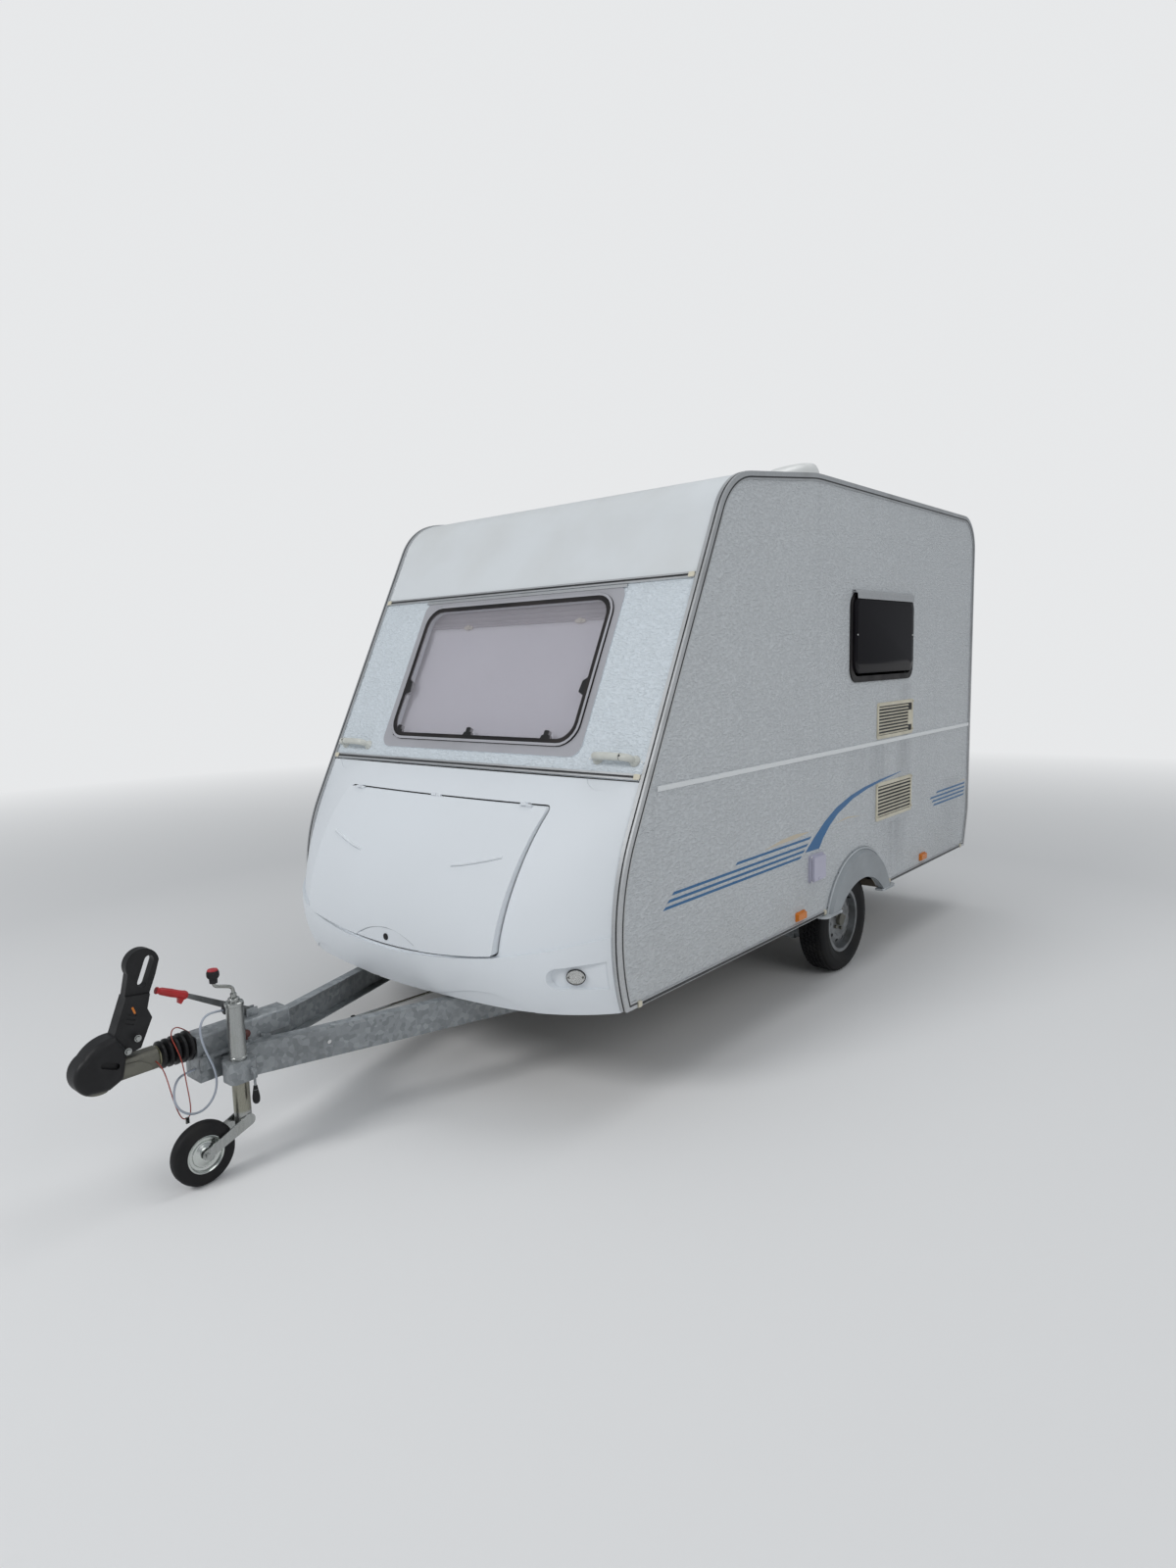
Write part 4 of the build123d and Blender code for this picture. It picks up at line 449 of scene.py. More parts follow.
plateWhite = plainSurface("plateWhite", {
    "colour": (0.70, 0.70, 0.66), "second": (0.60, 0.60, 0.56), "stain": 0.5, "stainScale": 10.0,
    "roughness": (0.25, 0.38), "coat": 0.3, "grain": 0.05,
})
jockeySteel = wornTube("jockeySteel", {
    "colour": (0.44, 0.45, 0.44), "second": (0.32, 0.335, 0.33), "third": (0.27, 0.265, 0.23),
    "wear": 0.5, "roughness": (0.20, 0.34), "stretch": (1, 1, 0.1), "metallic": 0.9,
    "level": 0.40, "foot": 0.214, "dull": (0.29, 0.285, 0.235),
})
# dark grey for the thin lines on the locker lid: painted shade
lidShadeGrey = plainSurface("lidShadeGrey", {
    "colour": (0.36, 0.38, 0.41), "second": (0.28, 0.30, 0.33), "stain": 0.5, "stainScale": 9.0,
    "roughness": (0.40, 0.55), "grain": 0.05,
})
# lip and feet of the mudguards, a paler grey than the guard itself: painted highlight
guardLipPaintedHighlight = plainSurface("guardLipPaintedHighlight", {
    "colour": (0.50, 0.53, 0.55), "second": (0.38, 0.40, 0.42), "stain": 0.6, "stainScale": 9.0,
    "roughness": (0.32, 0.46), "grain": 0.12,
})
reflectorBright = drawnMetal("reflectorBright", {
    "colour": (0.66, 0.67, 0.68), "second": (0.44, 0.45, 0.46), "third": (0.30, 0.30, 0.30),
    "wear": 0.4, "roughness": (0.10, 0.22), "stretch": (1, 1, 1), "metallic": 0.95,
})
clearCover = glassSurface("clearCover", {
    "colour": (0.70, 0.70, 0.66), "second": (0.60, 0.60, 0.55), "haze": 0.4,
    "clear": 0.0, "roughness": 0.06, "cover": 0.22, "shine": 0.9,
})
clearLens = glassSurface("clearLens", {
    "colour": (0.86, 0.85, 0.78), "second": (0.80, 0.78, 0.70), "haze": 0.3,
    "clear": 0.55, "roughness": 0.16, "ribs": 45.0, "ribAxis": "X",
})
darkGlass = glassSurface("darkGlass", {
    "colour": (0.006, 0.005, 0.007), "second": (0.012, 0.011, 0.013), "haze": 0.4,
    "clear": 0.0, "roughness": 0.05, "shine": 0.05,
})
frontGlass = glassSurface("frontGlass", {
    "colour": (0.43, 0.41, 0.45), "second": (0.50, 0.48, 0.51), "haze": 0.4,
    "clear": 0.0, "roughness": 0.04, "cover": 0.30, "shine": 0.8,
})
amberLens = glassSurface("amberLens", {
    "colour": (0.80, 0.24, 0.02), "second": (0.62, 0.16, 0.01), "haze": 0.4,
    "clear": 0.15, "roughness": 0.18, "ribs": 60.0, "ribAxis": "Y",
})
redLens = glassSurface("redLens", {
    "colour": (0.42, 0.012, 0.012), "second": (0.30, 0.01, 0.01), "haze": 0.4,
    "clear": 0.15, "roughness": 0.15, "ribs": 50.0, "ribAxis": "X",
})
cableSheath = plainSurface("cableSheath", {
    "colour": (0.42, 0.46, 0.53), "second": (0.34, 0.37, 0.42), "stain": 0.4, "stainScale": 30.0,
    "roughness": (0.30, 0.42), "grain": 0.05,
})
redSheath = plainSurface("redSheath", {
    "colour": (0.36, 0.045, 0.025), "second": (0.22, 0.03, 0.02), "stain": 0.5, "stainScale": 30.0,
    "roughness": (0.32, 0.45), "grain": 0.05,
})
redPlastic = plainSurface("redPlastic", {
    "colour": (0.46, 0.015, 0.018), "second": (0.33, 0.012, 0.012), "stain": 0.5, "stainScale": 30.0,
    "roughness": (0.32, 0.46), "grain": 0.1,
})

# the rails of the sides: the belt rail is white, the ones above and below it are bare metal
railLook = {
    "beltFoot": 1.2355, "beltTop": 1.2955, "belt": (0.74, 0.76, 0.77),
    "colour": (0.60, 0.61, 0.62), "second": (0.48, 0.49, 0.50), "metallic": 0.8, "roughness": (0.30, 0.45),
}


def makeSideRails():
    material, tree, shader = startMaterial("sideRails")
    height = coordinateOf(tree, "Z")
    soft = 0.0005
    above = rangeOf(tree, height, railLook["beltFoot"] - soft, railLook["beltFoot"] + soft)
    below = rangeOf(tree, height, railLook["beltTop"] + soft, railLook["beltTop"] - soft)
    painted = multiplied(tree, above, below)
    lines = noiseOf(tree, objectPoints(tree, (1, 0.1, 1)), 90.0, 3.0)
    bare = mixColours(tree, lines, railLook["colour"], railLook["second"])
    tree.links.new(mixColours(tree, painted, bare, railLook["belt"]), shader.inputs["Base Color"])
    tree.links.new(rangeOf(tree, painted, 0, 1, railLook["metallic"], 0.0), shader.inputs["Metallic"])
    tree.links.new(rangeOf(tree, lines, 0.2, 0.8, *railLook["roughness"]), shader.inputs["Roughness"])
    return material


sideRails = makeSideRails()

finishes = {
    sideSheetShaded: ["side_wall_left", "side_wall_right", "door_panel"],
    rearSheetShaded: ["rear_panel"],
    frontSheetSkyLit: ["front_panel"],
    noseGelcoat: ["nose_panel", "locker_lid", "rear_bumper"],
    roofSkin: ["roof_panel"],
    railAluminium: ["corner_rails", "cross_rails", "door_frame"],
    sideRails: ["side_rails"],
    beamZinc: [
        "chassis_beams", "cross_members", "axle_beam", "overrun_housing", "steady_front_left",
        "steady_front_right", "steady_rear_left", "steady_rear_right", "jockey_clamp",
    ],
    jockeySteel: ["jockey_leg"],
    brightZinc: ["jockey_rim", "jockey_crank", "brake_rod", "snap_hook"],
    castSteel: ["coupling_head", "wheel_left_hub", "wheel_right_hub", "handbrake_lever"],
    blackPlastic: ["coupling_handle", "door_handle", "parked_plug", "wheel_boxes"],
    blackFrame: ["window_frames"],
    insertBlack: ["rail_inserts"],
    creamPlastic: ["fridge_vents", "rail_end_caps"],
    inletLilac: ["mains_inlet"],
    whitePlastic: ["grab_handles", "roof_fittings", "rooflight_lid"],
    greyGuard: ["mudguards"],
    rimSilver: ["wheel_left_rim", "wheel_right_rim"],
    floorPly: ["floor_panel", "locker_bulkhead"],
    tyreRubber: ["wheel_left_tyre", "wheel_right_tyre", "jockey_tyre"],
    blackRubber: ["drawtube_gaiter"],
    darkGlass: ["door_window", "window_panes"],
    amberLens: ["marker_lamps"],
    clearLens: ["front_lamps"],
    redLens: ["rear_lamps"],
}
for material, members in finishes.items():
    for member in members:
        slots = nodes[member].data.materials
        slots.clear()
        slots.append(material)
print("finishes laid on", sum(len(members) for members in finishes.values()), "nodes")


# plain mesh pieces
def addMesh(name, mesh, material, bodyName="caravan", smooth=None, edge=0.0, hides=()):
    data = bpy.data.meshes.new(name)
    bmesh.ops.recalc_face_normals(mesh, faces=mesh.faces)
    mesh.to_mesh(data)
    mesh.free()
    data.materials.append(material)
    piece = bpy.data.objects.new(name, data)
    scene.collection.objects.link(piece)
    if edge:
        bevel = piece.modifiers.new("edges", "BEVEL")
        bevel.width = edge
        bevel.segments = 2
        bevel.angle_limit = radians(40)
    if smooth:
        data.shade_smooth()
        data.set_sharp_from_angle(angle=radians(smooth))
    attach(piece, bodyName)
    if hides:
        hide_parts(*hides)
    return piece


# a plate over an outline, between two heights along the place's third axis
def addSlab(mesh, outline, place, depth, start=0.0):
    front = [mesh.verts.new(place @ Vector((u, v, depth))) for u, v in outline]
    back = [mesh.verts.new(place @ Vector((u, v, start))) for u, v in outline]
    mesh.faces.new(front)
    mesh.faces.new(back[::-1])
    for index in range(len(outline)):
        following = (index + 1) % len(outline)
        mesh.faces.new((front[index], back[index], back[following], front[following]))


def joinRings(mesh, lower, upper):
    for index in range(len(lower)):
        following = (index + 1) % len(lower)
        mesh.faces.new((lower[index], lower[following], upper[following], upper[index]))


def fullTurn(steps):
    return [2 * pi * step / steps for step in range(steps)]


# the pieces' dictionaries give such outlines as width, height, corner radius and centre
def roundedOutline(width, height, radius, centre=(0, 0), steps=6):
    points = []
    for right, up, start in ((1, 1, 0), (-1, 1, 90), (-1, -1, 180), (1, -1, 270)):
        for step in range(steps + 1):
            angle = radians(start + 90 * step / steps)
            u = centre[0] + right * (width / 2 - radius) + radius * cos(angle)
            v = centre[1] + up * (height / 2 - radius) + radius * sin(angle)
            points.append((u, v))
    return points


def addRing(mesh, outer, inner, place, low, high):
    rows = []
    for outline, height in ((outer, low), (outer, high), (inner, high), (inner, low)):
        rows.append([mesh.verts.new(place @ Vector((u, v, height))) for u, v in outline])
    for lower, upper in zip(rows, rows[1:] + rows[:1]):
        joinRings(mesh, lower, upper)


# a turned form: radius and height of each ring, about the place's own Z
def addLathe(mesh, place, profile, steps=32, closed=False):
    rings = []
    for radius, height in profile:
        if radius < 1e-6:
            rings.append([mesh.verts.new(place @ Vector((0, 0, height)))])
            continue
        ring = [place @ Vector((radius * cos(t), radius * sin(t), height)) for t in fullTurn(steps)]
        rings.append([mesh.verts.new(point) for point in ring])
    pairs = list(zip(rings, rings[1:]))
    if closed:
        pairs.append((rings[-1], rings[0]))
    for lower, upper in pairs:
        if len(lower) > 1 and len(upper) > 1:
            joinRings(mesh, lower, upper)
            continue
        for step in range(steps):
            following = (step + 1) % steps
            if len(lower) == 1:
                mesh.faces.new((lower[0], upper[step], upper[following]))
            else:
                mesh.faces.new((lower[step], lower[following], upper[0]))


def smoothLine(points, steps=6):
    points = [Vector(point) for point in points]
    ends = [2 * points[0] - points[1], *points, 2 * points[-1] - points[-2]]
    line = []
    for first, second, third, fourth in zip(ends, ends[1:], ends[2:], ends[3:]):
        for step in range(steps):
            t = step / steps
            curve = (2 * second + (third - first) * t + (2 * first - 5 * second + 4 * third - fourth) * t**2
                     + (3 * second - first - 3 * third + fourth) * t**3) / 2
            line.append(curve)
    return [*line, points[-1]]


def addTube(mesh, points, radii, sides=12, closed=False):
    points = [Vector(point) for point in points]
    if not isinstance(radii, (list, tuple)):
        radii = [radii] * len(points)
    count = len(points)
    across = (points[1] - points[0]).orthogonal().normalized()
    rings = []
    for index, (point, radius) in enumerate(zip(points, radii)):
        before = points[index - 1] if index or closed else point
        after = points[(index + 1) % count] if index < count - 1 or closed else point
        direction = (after - before).normalized()
        across = (across - direction * across.dot(direction)).normalized()
        upward = direction.cross(across)
        ring = [point + radius * (across * cos(t) + upward * sin(t)) for t in fullTurn(sides)]
        rings.append([mesh.verts.new(corner) for corner in ring])
    pairs = list(zip(rings, rings[1:]))
    if closed:
        pairs.append((rings[-1], rings[0]))
    else:
        mesh.faces.new(rings[0][::-1])
        mesh.faces.new(rings[-1])
    for lower, upper in pairs:
        joinRings(mesh, lower, upper)


def addBlock(mesh, low, high):
    outline = [(low[0], low[1]), (high[0], low[1]), (high[0], high[1]), (low[0], high[1])]
    addSlab(mesh, outline, uprightPlace((0, 0, 0)), high[2], low[2])


# node trees that repeat a small form over points
def startTree(name, inputs):
    tree = bpy.data.node_groups.new(name, "GeometryNodeTree")
    tree.interface.new_socket("Geometry", in_out="INPUT", socket_type="NodeSocketGeometry")
    for label, kind in inputs.items():
        tree.interface.new_socket(label, in_out="INPUT", socket_type="NodeSocket" + kind)
    tree.interface.new_socket("Geometry", in_out="OUTPUT", socket_type="NodeSocketGeometry")
    return tree, tree.nodes.new("NodeGroupInput").outputs, tree.nodes.new("NodeGroupOutput")


def addStep(tree, kind, links=None, values=None, **settings):
    node = tree.nodes.new(kind)
    for label, value in settings.items():
        setattr(node, label, value)
    for label, value in (values or {}).items():
        node.inputs[label].default_value = value
    for label, source in (links or {}).items():
        tree.links.new(source, node.inputs[label])
    return node


def mathOf(tree, operation, *terms):
    node = addStep(tree, "ShaderNodeMath", operation=operation)
    for socket, term in zip(node.inputs, terms):
        if isinstance(term, float):
            socket.default_value = term
        else:
            tree.links.new(term, socket)
    return node.outputs[0]


def finishTree(tree, geometry, given, target):
    realized = addStep(tree, "GeometryNodeRealizeInstances", {"Geometry": geometry})
    painted = addStep(
        tree, "GeometryNodeSetMaterial",
        {"Geometry": realized.outputs["Geometry"], "Material": given["Material"]},
    )
    tree.links.new(painted.outputs["Geometry"], target.inputs["Geometry"])


# a screw or bolt head on every point: washer, head with so many sides, and a smaller crown
def makeHeadTree():
    tree, given, target = startTree("fastenerHeads", {
        "Head Radius": "Float", "Head Height": "Float", "Head Sides": "Int", "Crown Share": "Float",
        "Washer Radius": "Float", "Turn Spread": "Float", "Seed": "Int", "Material": "Material",
    })
    washer = addStep(
        tree, "GeometryNodeMeshCylinder", {"Radius": given["Washer Radius"]},
        {"Vertices": 20, "Depth": 0.0012},
    )
    half = mathOf(tree, "MULTIPLY", given["Head Height"], 0.5)
    crown = mathOf(tree, "MULTIPLY", given["Head Radius"], given["Crown Share"])
    cone = {"Vertices": given["Head Sides"], "Radius Bottom": given["Head Radius"], "Depth": half}
    head = addStep(tree, "GeometryNodeMeshCone", {**cone, "Radius Top": given["Head Radius"]})
    top = addStep(tree, "GeometryNodeMeshCone", {**cone, "Radius Top": crown})
    lift = addStep(tree, "ShaderNodeCombineXYZ", {"Z": half})
    raised = addStep(
        tree, "GeometryNodeTransform",
        {"Geometry": top.outputs["Mesh"], "Translation": lift.outputs[0]},
    )
    joined = addStep(tree, "GeometryNodeJoinGeometry")
    for piece in (washer.outputs["Mesh"], head.outputs["Mesh"], raised.outputs["Geometry"]):
        tree.links.new(piece, joined.inputs["Geometry"])
    facing = addStep(
        tree, "GeometryNodeInputNamedAttribute", values={"Name": "facing"}, data_type="FLOAT_VECTOR",
    )
    aimed = addStep(
        tree, "FunctionNodeAlignRotationToVector", {"Vector": facing.outputs["Attribute"]}, axis="Z",
    )
    spin = addStep(
        tree, "FunctionNodeRandomValue", {"Max": given["Turn Spread"], "Seed": given["Seed"]},
        data_type="FLOAT",
    )
    turned = addStep(
        tree, "FunctionNodeAxisAngleToRotation", {"Angle": spin.outputs["Value"]}, {"Axis": (0, 0, 1)},
    )
    rotation = addStep(
        tree, "FunctionNodeRotateRotation",
        {"Rotation": aimed.outputs["Rotation"], "Rotate By": turned.outputs["Rotation"]},
        rotation_space="LOCAL",
    )
    placed = addStep(
        tree, "GeometryNodeInstanceOnPoints",
        {
            "Points": given["Geometry"], "Instance": joined.outputs["Geometry"],
            "Rotation": rotation.outputs["Rotation"],
        },
    )
    finishTree(tree, placed.outputs["Instances"], given, target)
    return tree


# grows a node tree on a small mesh and keeps the result as a plain piece on one body
def growPiece(name, seed, tree, values, material, bodyName="caravan", smooth=None):
    holder = bpy.data.objects.new(name + "Seed", seed)
    scene.collection.objects.link(holder)
    modifier = holder.modifiers.new("grow", "NODES")
    modifier.node_group = tree
    for item in tree.interface.items_tree:
        if item.in_out == "INPUT" and item.name in values:
            modifier[item.identifier] = values[item.name]
        if item.in_out == "INPUT" and item.name == "Material":
            modifier[item.identifier] = material
    evaluated = holder.evaluated_get(bpy.context.evaluated_depsgraph_get())
    mesh = bpy.data.meshes.new_from_object(evaluated)
    mesh.name = name
    bpy.data.objects.remove(holder)
    if smooth:
        mesh.shade_smooth()
        mesh.set_sharp_from_angle(angle=radians(smooth))
    piece = bpy.data.objects.new(name, mesh)
    scene.collection.objects.link(piece)
    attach(piece, bodyName)
    return piece


def seedPoints(name, places):
    mesh = bpy.data.meshes.new(name)
    mesh.from_pydata([tuple(point) for point, facing in places], [], [])
    attribute = mesh.attributes.new("facing", "FLOAT_VECTOR", "POINT")
    for index, (point, facing) in enumerate(places):
        attribute.data[index].vector = facing
    return mesh


# the two free cables at the hitch, as NURBS lines through the air
cables = {
    "greyCable": {
        "node": "grey_cable", "radius": 0.004, "length": 0.73, "finish": cableSheath, "slot": "cable_grey",
        "farEnd": "plug", "carries": ["parked_plug"],
        "route": [
            (0.015, -2.345, 0.366), (0.018, -2.388, 0.364), (0.044, -2.424, 0.364), (0.070, -2.450, 0.344),
            (0.076, -2.455, 0.304), (0.075, -2.436, 0.262), (0.076, -2.398, 0.234), (0.077, -2.352, 0.234),
            (0.078, -2.314, 0.268), (0.079, -2.299, 0.318), (0.079, -2.305, 0.374), (0.078, -2.326, 0.430),
            (0.075, -2.341, 0.486), (0.071, -2.343, 0.532), (0.067, -2.322, 0.566), (0.066, -2.284, 0.572),
            (0.066, -2.250, 0.566),
        ],
    },
    "redCable": {
        "node": "red_cable", "radius": 0.002, "length": 0.70, "finish": redSheath, "slot": "cable_red",
        "farEnd": "object", "carries": ["snap_hook"],
        "route": [
            (-0.020, -2.336, 0.490), (-0.020, -2.371, 0.525), (0.000, -2.406, 0.533), (0.032, -2.428, 0.518),
            (0.058, -2.424, 0.486), (0.062, -2.412, 0.442), (0.060, -2.404, 0.394), (0.058, -2.399, 0.344),
            (0.058, -2.394, 0.296), (0.057, -2.391, 0.252), (0.057, -2.396, 0.222), (0.057, -2.418, 0.218),
            (0.057, -2.432, 0.240), (0.057, -2.444, 0.282), (0.057, -2.454, 0.330), (0.056, -2.462, 0.378),
            (0.055, -2.472, 0.420), (0.046, -2.482, 0.446), (0.030, -2.484, 0.450),
        ],
    },
}


def makeCable(name, cable):
    line = bpy.data.curves.new(name, "CURVE")
    line.dimensions = "3D"
    line.resolution_u = 8
    line.bevel_depth = cable["radius"]
    line.bevel_resolution = 4
    line.use_fill_caps = True
    spline = line.splines.new("NURBS")
    spline.points.add(len(cable["route"]) - 1)
    for point, place in zip(spline.points, cable["route"]):
        point.co = (*place, 1)
    spline.order_u = 3
    spline.use_endpoint_u = True
    line.materials.append(cable["finish"])
    piece = bpy.data.objects.new(name, line)
    scene.collection.objects.link(piece)
    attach(piece, "caravan")
    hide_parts(cable["node"])


for name, cable in cables.items():
    makeCable(name, cable)
print("cables hung")

# painted stripes on the side walls: y and z of each outline, as on the left wall
stripes = {
    "film": 0.0006,
    "doorLimit": 1.402,         # on the door side the swoosh ends at the door frame
    "lineHeight": 0.0115,
    "lean": 0.020,
    "front": [
        (-0.345, 0.362, 0.858), (-0.833, 0.327, 0.827), (-0.867, 0.293, 0.801), (-0.895, 0.259, 0.776),
    ],
    "rear": [(2.102, 2.628, 0.866), (1.998, 2.628, 0.840), (2.033, 2.622, 0.815), (2.055, 2.617, 0.790)],
    "swoosh": [
        (0.465, 0.787), (0.511, 0.834), (0.585, 0.888), (0.679, 0.936), (0.857, 0.990), (1.045, 1.022),
        (1.221, 1.041), (1.517, 1.066), (1.517, 1.069), (1.221, 1.054), (1.002, 1.036), (0.836, 1.012),
        (0.659, 0.970), (0.529, 0.917), (0.420, 0.858), (0.315, 0.792),
    ],
    "tan": [
        [(-0.100, 0.874), (0.079, 0.878), (0.216, 0.879), (0.365, 0.890), (0.216, 0.901), (0.079, 0.896)],
        [(0.640, 0.888), (0.798, 0.893), (0.963, 0.884), (0.798, 0.902)],
        [(2.402, 0.884), (2.640, 0.887), (2.640, 0.894)],
    ],
}
stripeGrain = {"grain": 0.3, "grainScale": 95.0, "grainDepth": 0.0008}
stripeBlue = plainSurface("stripeBlue", {
    "colour": (0.016, 0.120, 0.285), "second": (0.035, 0.150, 0.320), "stain": 0.6, "stainScale": 6.0,
    "roughness": (0.32, 0.45), **stripeGrain,
})
swooshBlue = plainSurface("swooshBlue", {
    "colour": (0.010, 0.115, 0.290), "second": (0.02, 0.15, 0.34), "stain": 0.4, "stainScale": 6.0,
    "roughness": (0.30, 0.42), **stripeGrain,
})
stripeTan = plainSurface("stripeTan", {
    "colour": (0.56, 0.49, 0.38), "second": (0.60, 0.55, 0.46), "stain": 0.6, "stainScale": 12.0,
    "roughness": (0.35, 0.48), **stripeGrain,
})


def makeStripes(side, label):
    place = placeFrom((side * body["halfWidth"], 0, 0), (0, side, 0), (0, 0, 1))
    lines = bmesh.new()
    for low, high, z in stripes["front"] + stripes["rear"]:
        half, lean = stripes["lineHeight"] / 2, stripes["lean"]
        outline = [(low, z - half), (high, z - half), (high + lean, z + half), (low + lean, z + half)]
        addSlab(lines, [(side * y, v) for y, v in outline], place, stripes["film"])
    addMesh(f"stripeLines{label}", lines, stripeBlue)
    swoosh = bmesh.new()
    outline = [(min(y, stripes["doorLimit"]), v) if side < 0 else (y, v) for y, v in stripes["swoosh"]]
    addSlab(swoosh, [(side * y, v) for y, v in outline], place, stripes["film"])
    addMesh(f"swoosh{label}", swoosh, swooshBlue)
    shades = bmesh.new()
    for outline in stripes["tan"]:
        addSlab(shades, [(side * y, v) for y, v in outline], place, stripes["film"] / 2)
    addMesh(f"stripeShades{label}", shades, stripeTan)


makeStripes(1, "Left")
makeStripes(-1, "Right")
print("stripes painted")

# windows: clear front pane, dark side and rear panes, each in its black frame
windows = {
    "front": {"middleZ": 1.7325, "size": (1.240, 0.7211), "corner": 0.105, "paneDepth": (0.0052, 0.0098)},
    "rear": {"middleZ": 1.79, "size": (1.280, 0.580), "corner": 0.09, "paneDepth": (0.0020, 0.0070)},
    "sides": {
        "middleZ": 1.846, "left": 1.225, "right": 0.06, "size": (0.810, 0.408), "corner": 0.063,
        "drop": 0.016,
    },
    "rim": 0.0323,              # from the frame's outer edge to the pane
    "paneEdge": 0.001,
    "sashSteps": [              # inset and height of each step of the hinged side panes
        (0.0, 0.0092), (0.0, 0.0135), (0.0012, 0.0168), (0.0040, 0.0192), (0.0090, 0.0200), (0.0240, 0.0203),
        (0.0280, 0.0215), (0.0340, 0.0219),
    ],
}


def insetOutline(window, inset, centre=(0, 0)):
    width, height = (measure - 2 * inset for measure in window["size"])
    return roundedOutline(width, height, max(window["corner"] - inset, 0.004), centre)


def addStack(mesh, place, rows):
    rings = []
    for outline, height in rows:
        rings.append([mesh.verts.new(place @ Vector((u, v, height))) for u, v in outline])
    mesh.faces.new(rings[0][::-1])
    mesh.faces.new(rings[-1])
    for lower, upper in zip(rings, rings[1:]):
        joinRings(mesh, lower, upper)


def addFlatPane(name, window, place, material):
    low, high = window["paneDepth"]
    full = insetOutline(window, windows["rim"])
    eased = insetOutline(window, windows["rim"] + windows["paneEdge"])
    pane = bmesh.new()
    addStack(pane, place, [(full, low), (full, high - windows["paneEdge"]), (eased, high)])
    addMesh(name, pane, material, smooth=30, hides=["window_panes"])


front, rear, sides = (windows[key] for key in ("front", "rear", "sides"))
frontWindowPlace = slopePlace(0, front["middleZ"])
addFlatPane("frontPane", front, frontWindowPlace, frontGlass)
addFlatPane("rearPane", rear, rearPlace(0, rear["middleZ"]), darkGlass)
for side, label in ((1, "left"), (-1, "right")):
    pane = bmesh.new()
    addStack(pane, wallPlace(side, sides[label], sides["middleZ"]), [
        (insetOutline(sides, inset, (0, sides["drop"])), height) for inset, height in windows["sashSteps"]
    ])
    addMesh(f"{label}Pane", pane, darkGlass, smooth=50, hides=["window_panes"])

# the lilac-grey surround of the front window and the pale band on its frame
surround = {
    "outline": (1.310, 0.7963, 0.06, (0, -0.0039)), "gap": -0.0004, "film": (0.0029, 0.0036),
    "band": (0.0006, 0.0125), "bandFilm": (0.0119, 0.0127),
}
film = bmesh.new()
inner = insetOutline(front, surround["gap"])
addRing(film, roundedOutline(*surround["outline"]), inner, frontWindowPlace, *surround["film"])
outer, inner = (insetOutline(front, inset) for inset in surround["band"])
addRing(film, outer, inner, frontWindowPlace, *surround["bandFilm"])
addMesh("frontSurround", film, surroundLilac)
print("panes set")

# the closed blind behind the front pane: a pleated head, a batten and the drop below it
blind = {
    "width": 1.262, "top": 0.371, "foot": -0.371, "headFoot": 0.262, "depth": -0.0432,
    "pleat": 0.0265, "pleatDepth": 0.0125, "cloth": 0.0005, "dropColumns": 24, "wave": 0.0008,
    "batten": (0.012, 0.004), "battenDepth": (-0.0375, -0.0425),
    "latches": (-0.327, 0.406), "latchV": 0.2535,
    "latchPlate": (0.058, 0.017, 0.006), "latchPlateDepth": (-0.031, -0.0385),
    "latchKnob": (0.022, 0.026, 0.006), "latchKnobDepth": (-0.0265, -0.0385),
}
blindCloth = plainSurface("blindCloth", {
    "colour": (0.86, 0.85, 0.92), "second": (0.79, 0.78, 0.84), "stain": 0.5, "stainScale": 2.5,
    "roughness": (0.80, 0.92), "grain": 0.5, "grainScale": 900.0,
})
blindHead = plainSurface("blindHead", {
    "colour": (0.36, 0.34, 0.37), "second": (0.26, 0.25, 0.27), "stain": 0.5, "stainScale": 3.0,
    "roughness": (0.70, 0.85), "grain": 0.4, "grainScale": 700.0,
})


def makeCloth(name, rows, columns, width, material):
    mesh = bmesh.new()
    grid = []
    for v, w in rows:
        line = []
        for column in range(columns + 1):
            u = width * (column / columns - 0.5)
            line.append(mesh.verts.new(frontWindowPlace @ Vector((u, v, w))))
        grid.append(line)
    for lower, upper in zip(grid, grid[1:]):
        for column in range(columns):
            mesh.faces.new((lower[column], lower[column + 1], upper[column + 1], upper[column]))
    piece = addMesh(name, mesh, material, smooth=30, hides=["front_blind"])
    thickness = piece.modifiers.new("cloth", "SOLIDIFY")
    thickness.thickness = blind["cloth"]
    thickness.offset = 0
    length = sum((Vector(first) - Vector(second)).length for first, second in zip(rows, rows[1:]))
    return length


headRows = []
foldCount = round((blind["top"] - blind["headFoot"]) / blind["pleat"])
for fold in range(2 * foldCount + 1):
    v = blind["headFoot"] + (blind["top"] - blind["headFoot"]) * fold / (2 * foldCount)
    headRows.append((v, blind["depth"] + blind["pleatDepth"] * (fold % 2)))
headLength = makeCloth("blindPleats", headRows, 2, blind["width"], blindHead)
dropRows = []
dropSteps = blind["dropColumns"]
for step in range(dropSteps + 1):
    v = blind["foot"] + (blind["headFoot"] - blind["foot"]) * step / dropSteps
    dropRows.append((v, blind["depth"] + blind["wave"] * sin(5 * pi * step / dropSteps)))
dropLength = makeCloth("blindDrop", dropRows, dropSteps, blind["width"], blindCloth)
print("blind hung, head", round(headLength, 3), "drop", round(dropLength, 3))

batten = bmesh.new()
outline = roundedOutline(blind["width"], *blind["batten"], (0, blind["headFoot"]))
addSlab(batten, outline, frontWindowPlace, *blind["battenDepth"])
addMesh("blindBatten", batten, blindHead, edge=0.001)
latch = bmesh.new()
for u in blind["latches"]:
    for form in ("latchPlate", "latchKnob"):
        outline = roundedOutline(*blind[form], (u, blind["latchV"]))
        addSlab(latch, outline, frontWindowPlace, *blind[form + "Depth"])
addMesh("blindLatches", latch, creamPlastic, edge=0.0012)

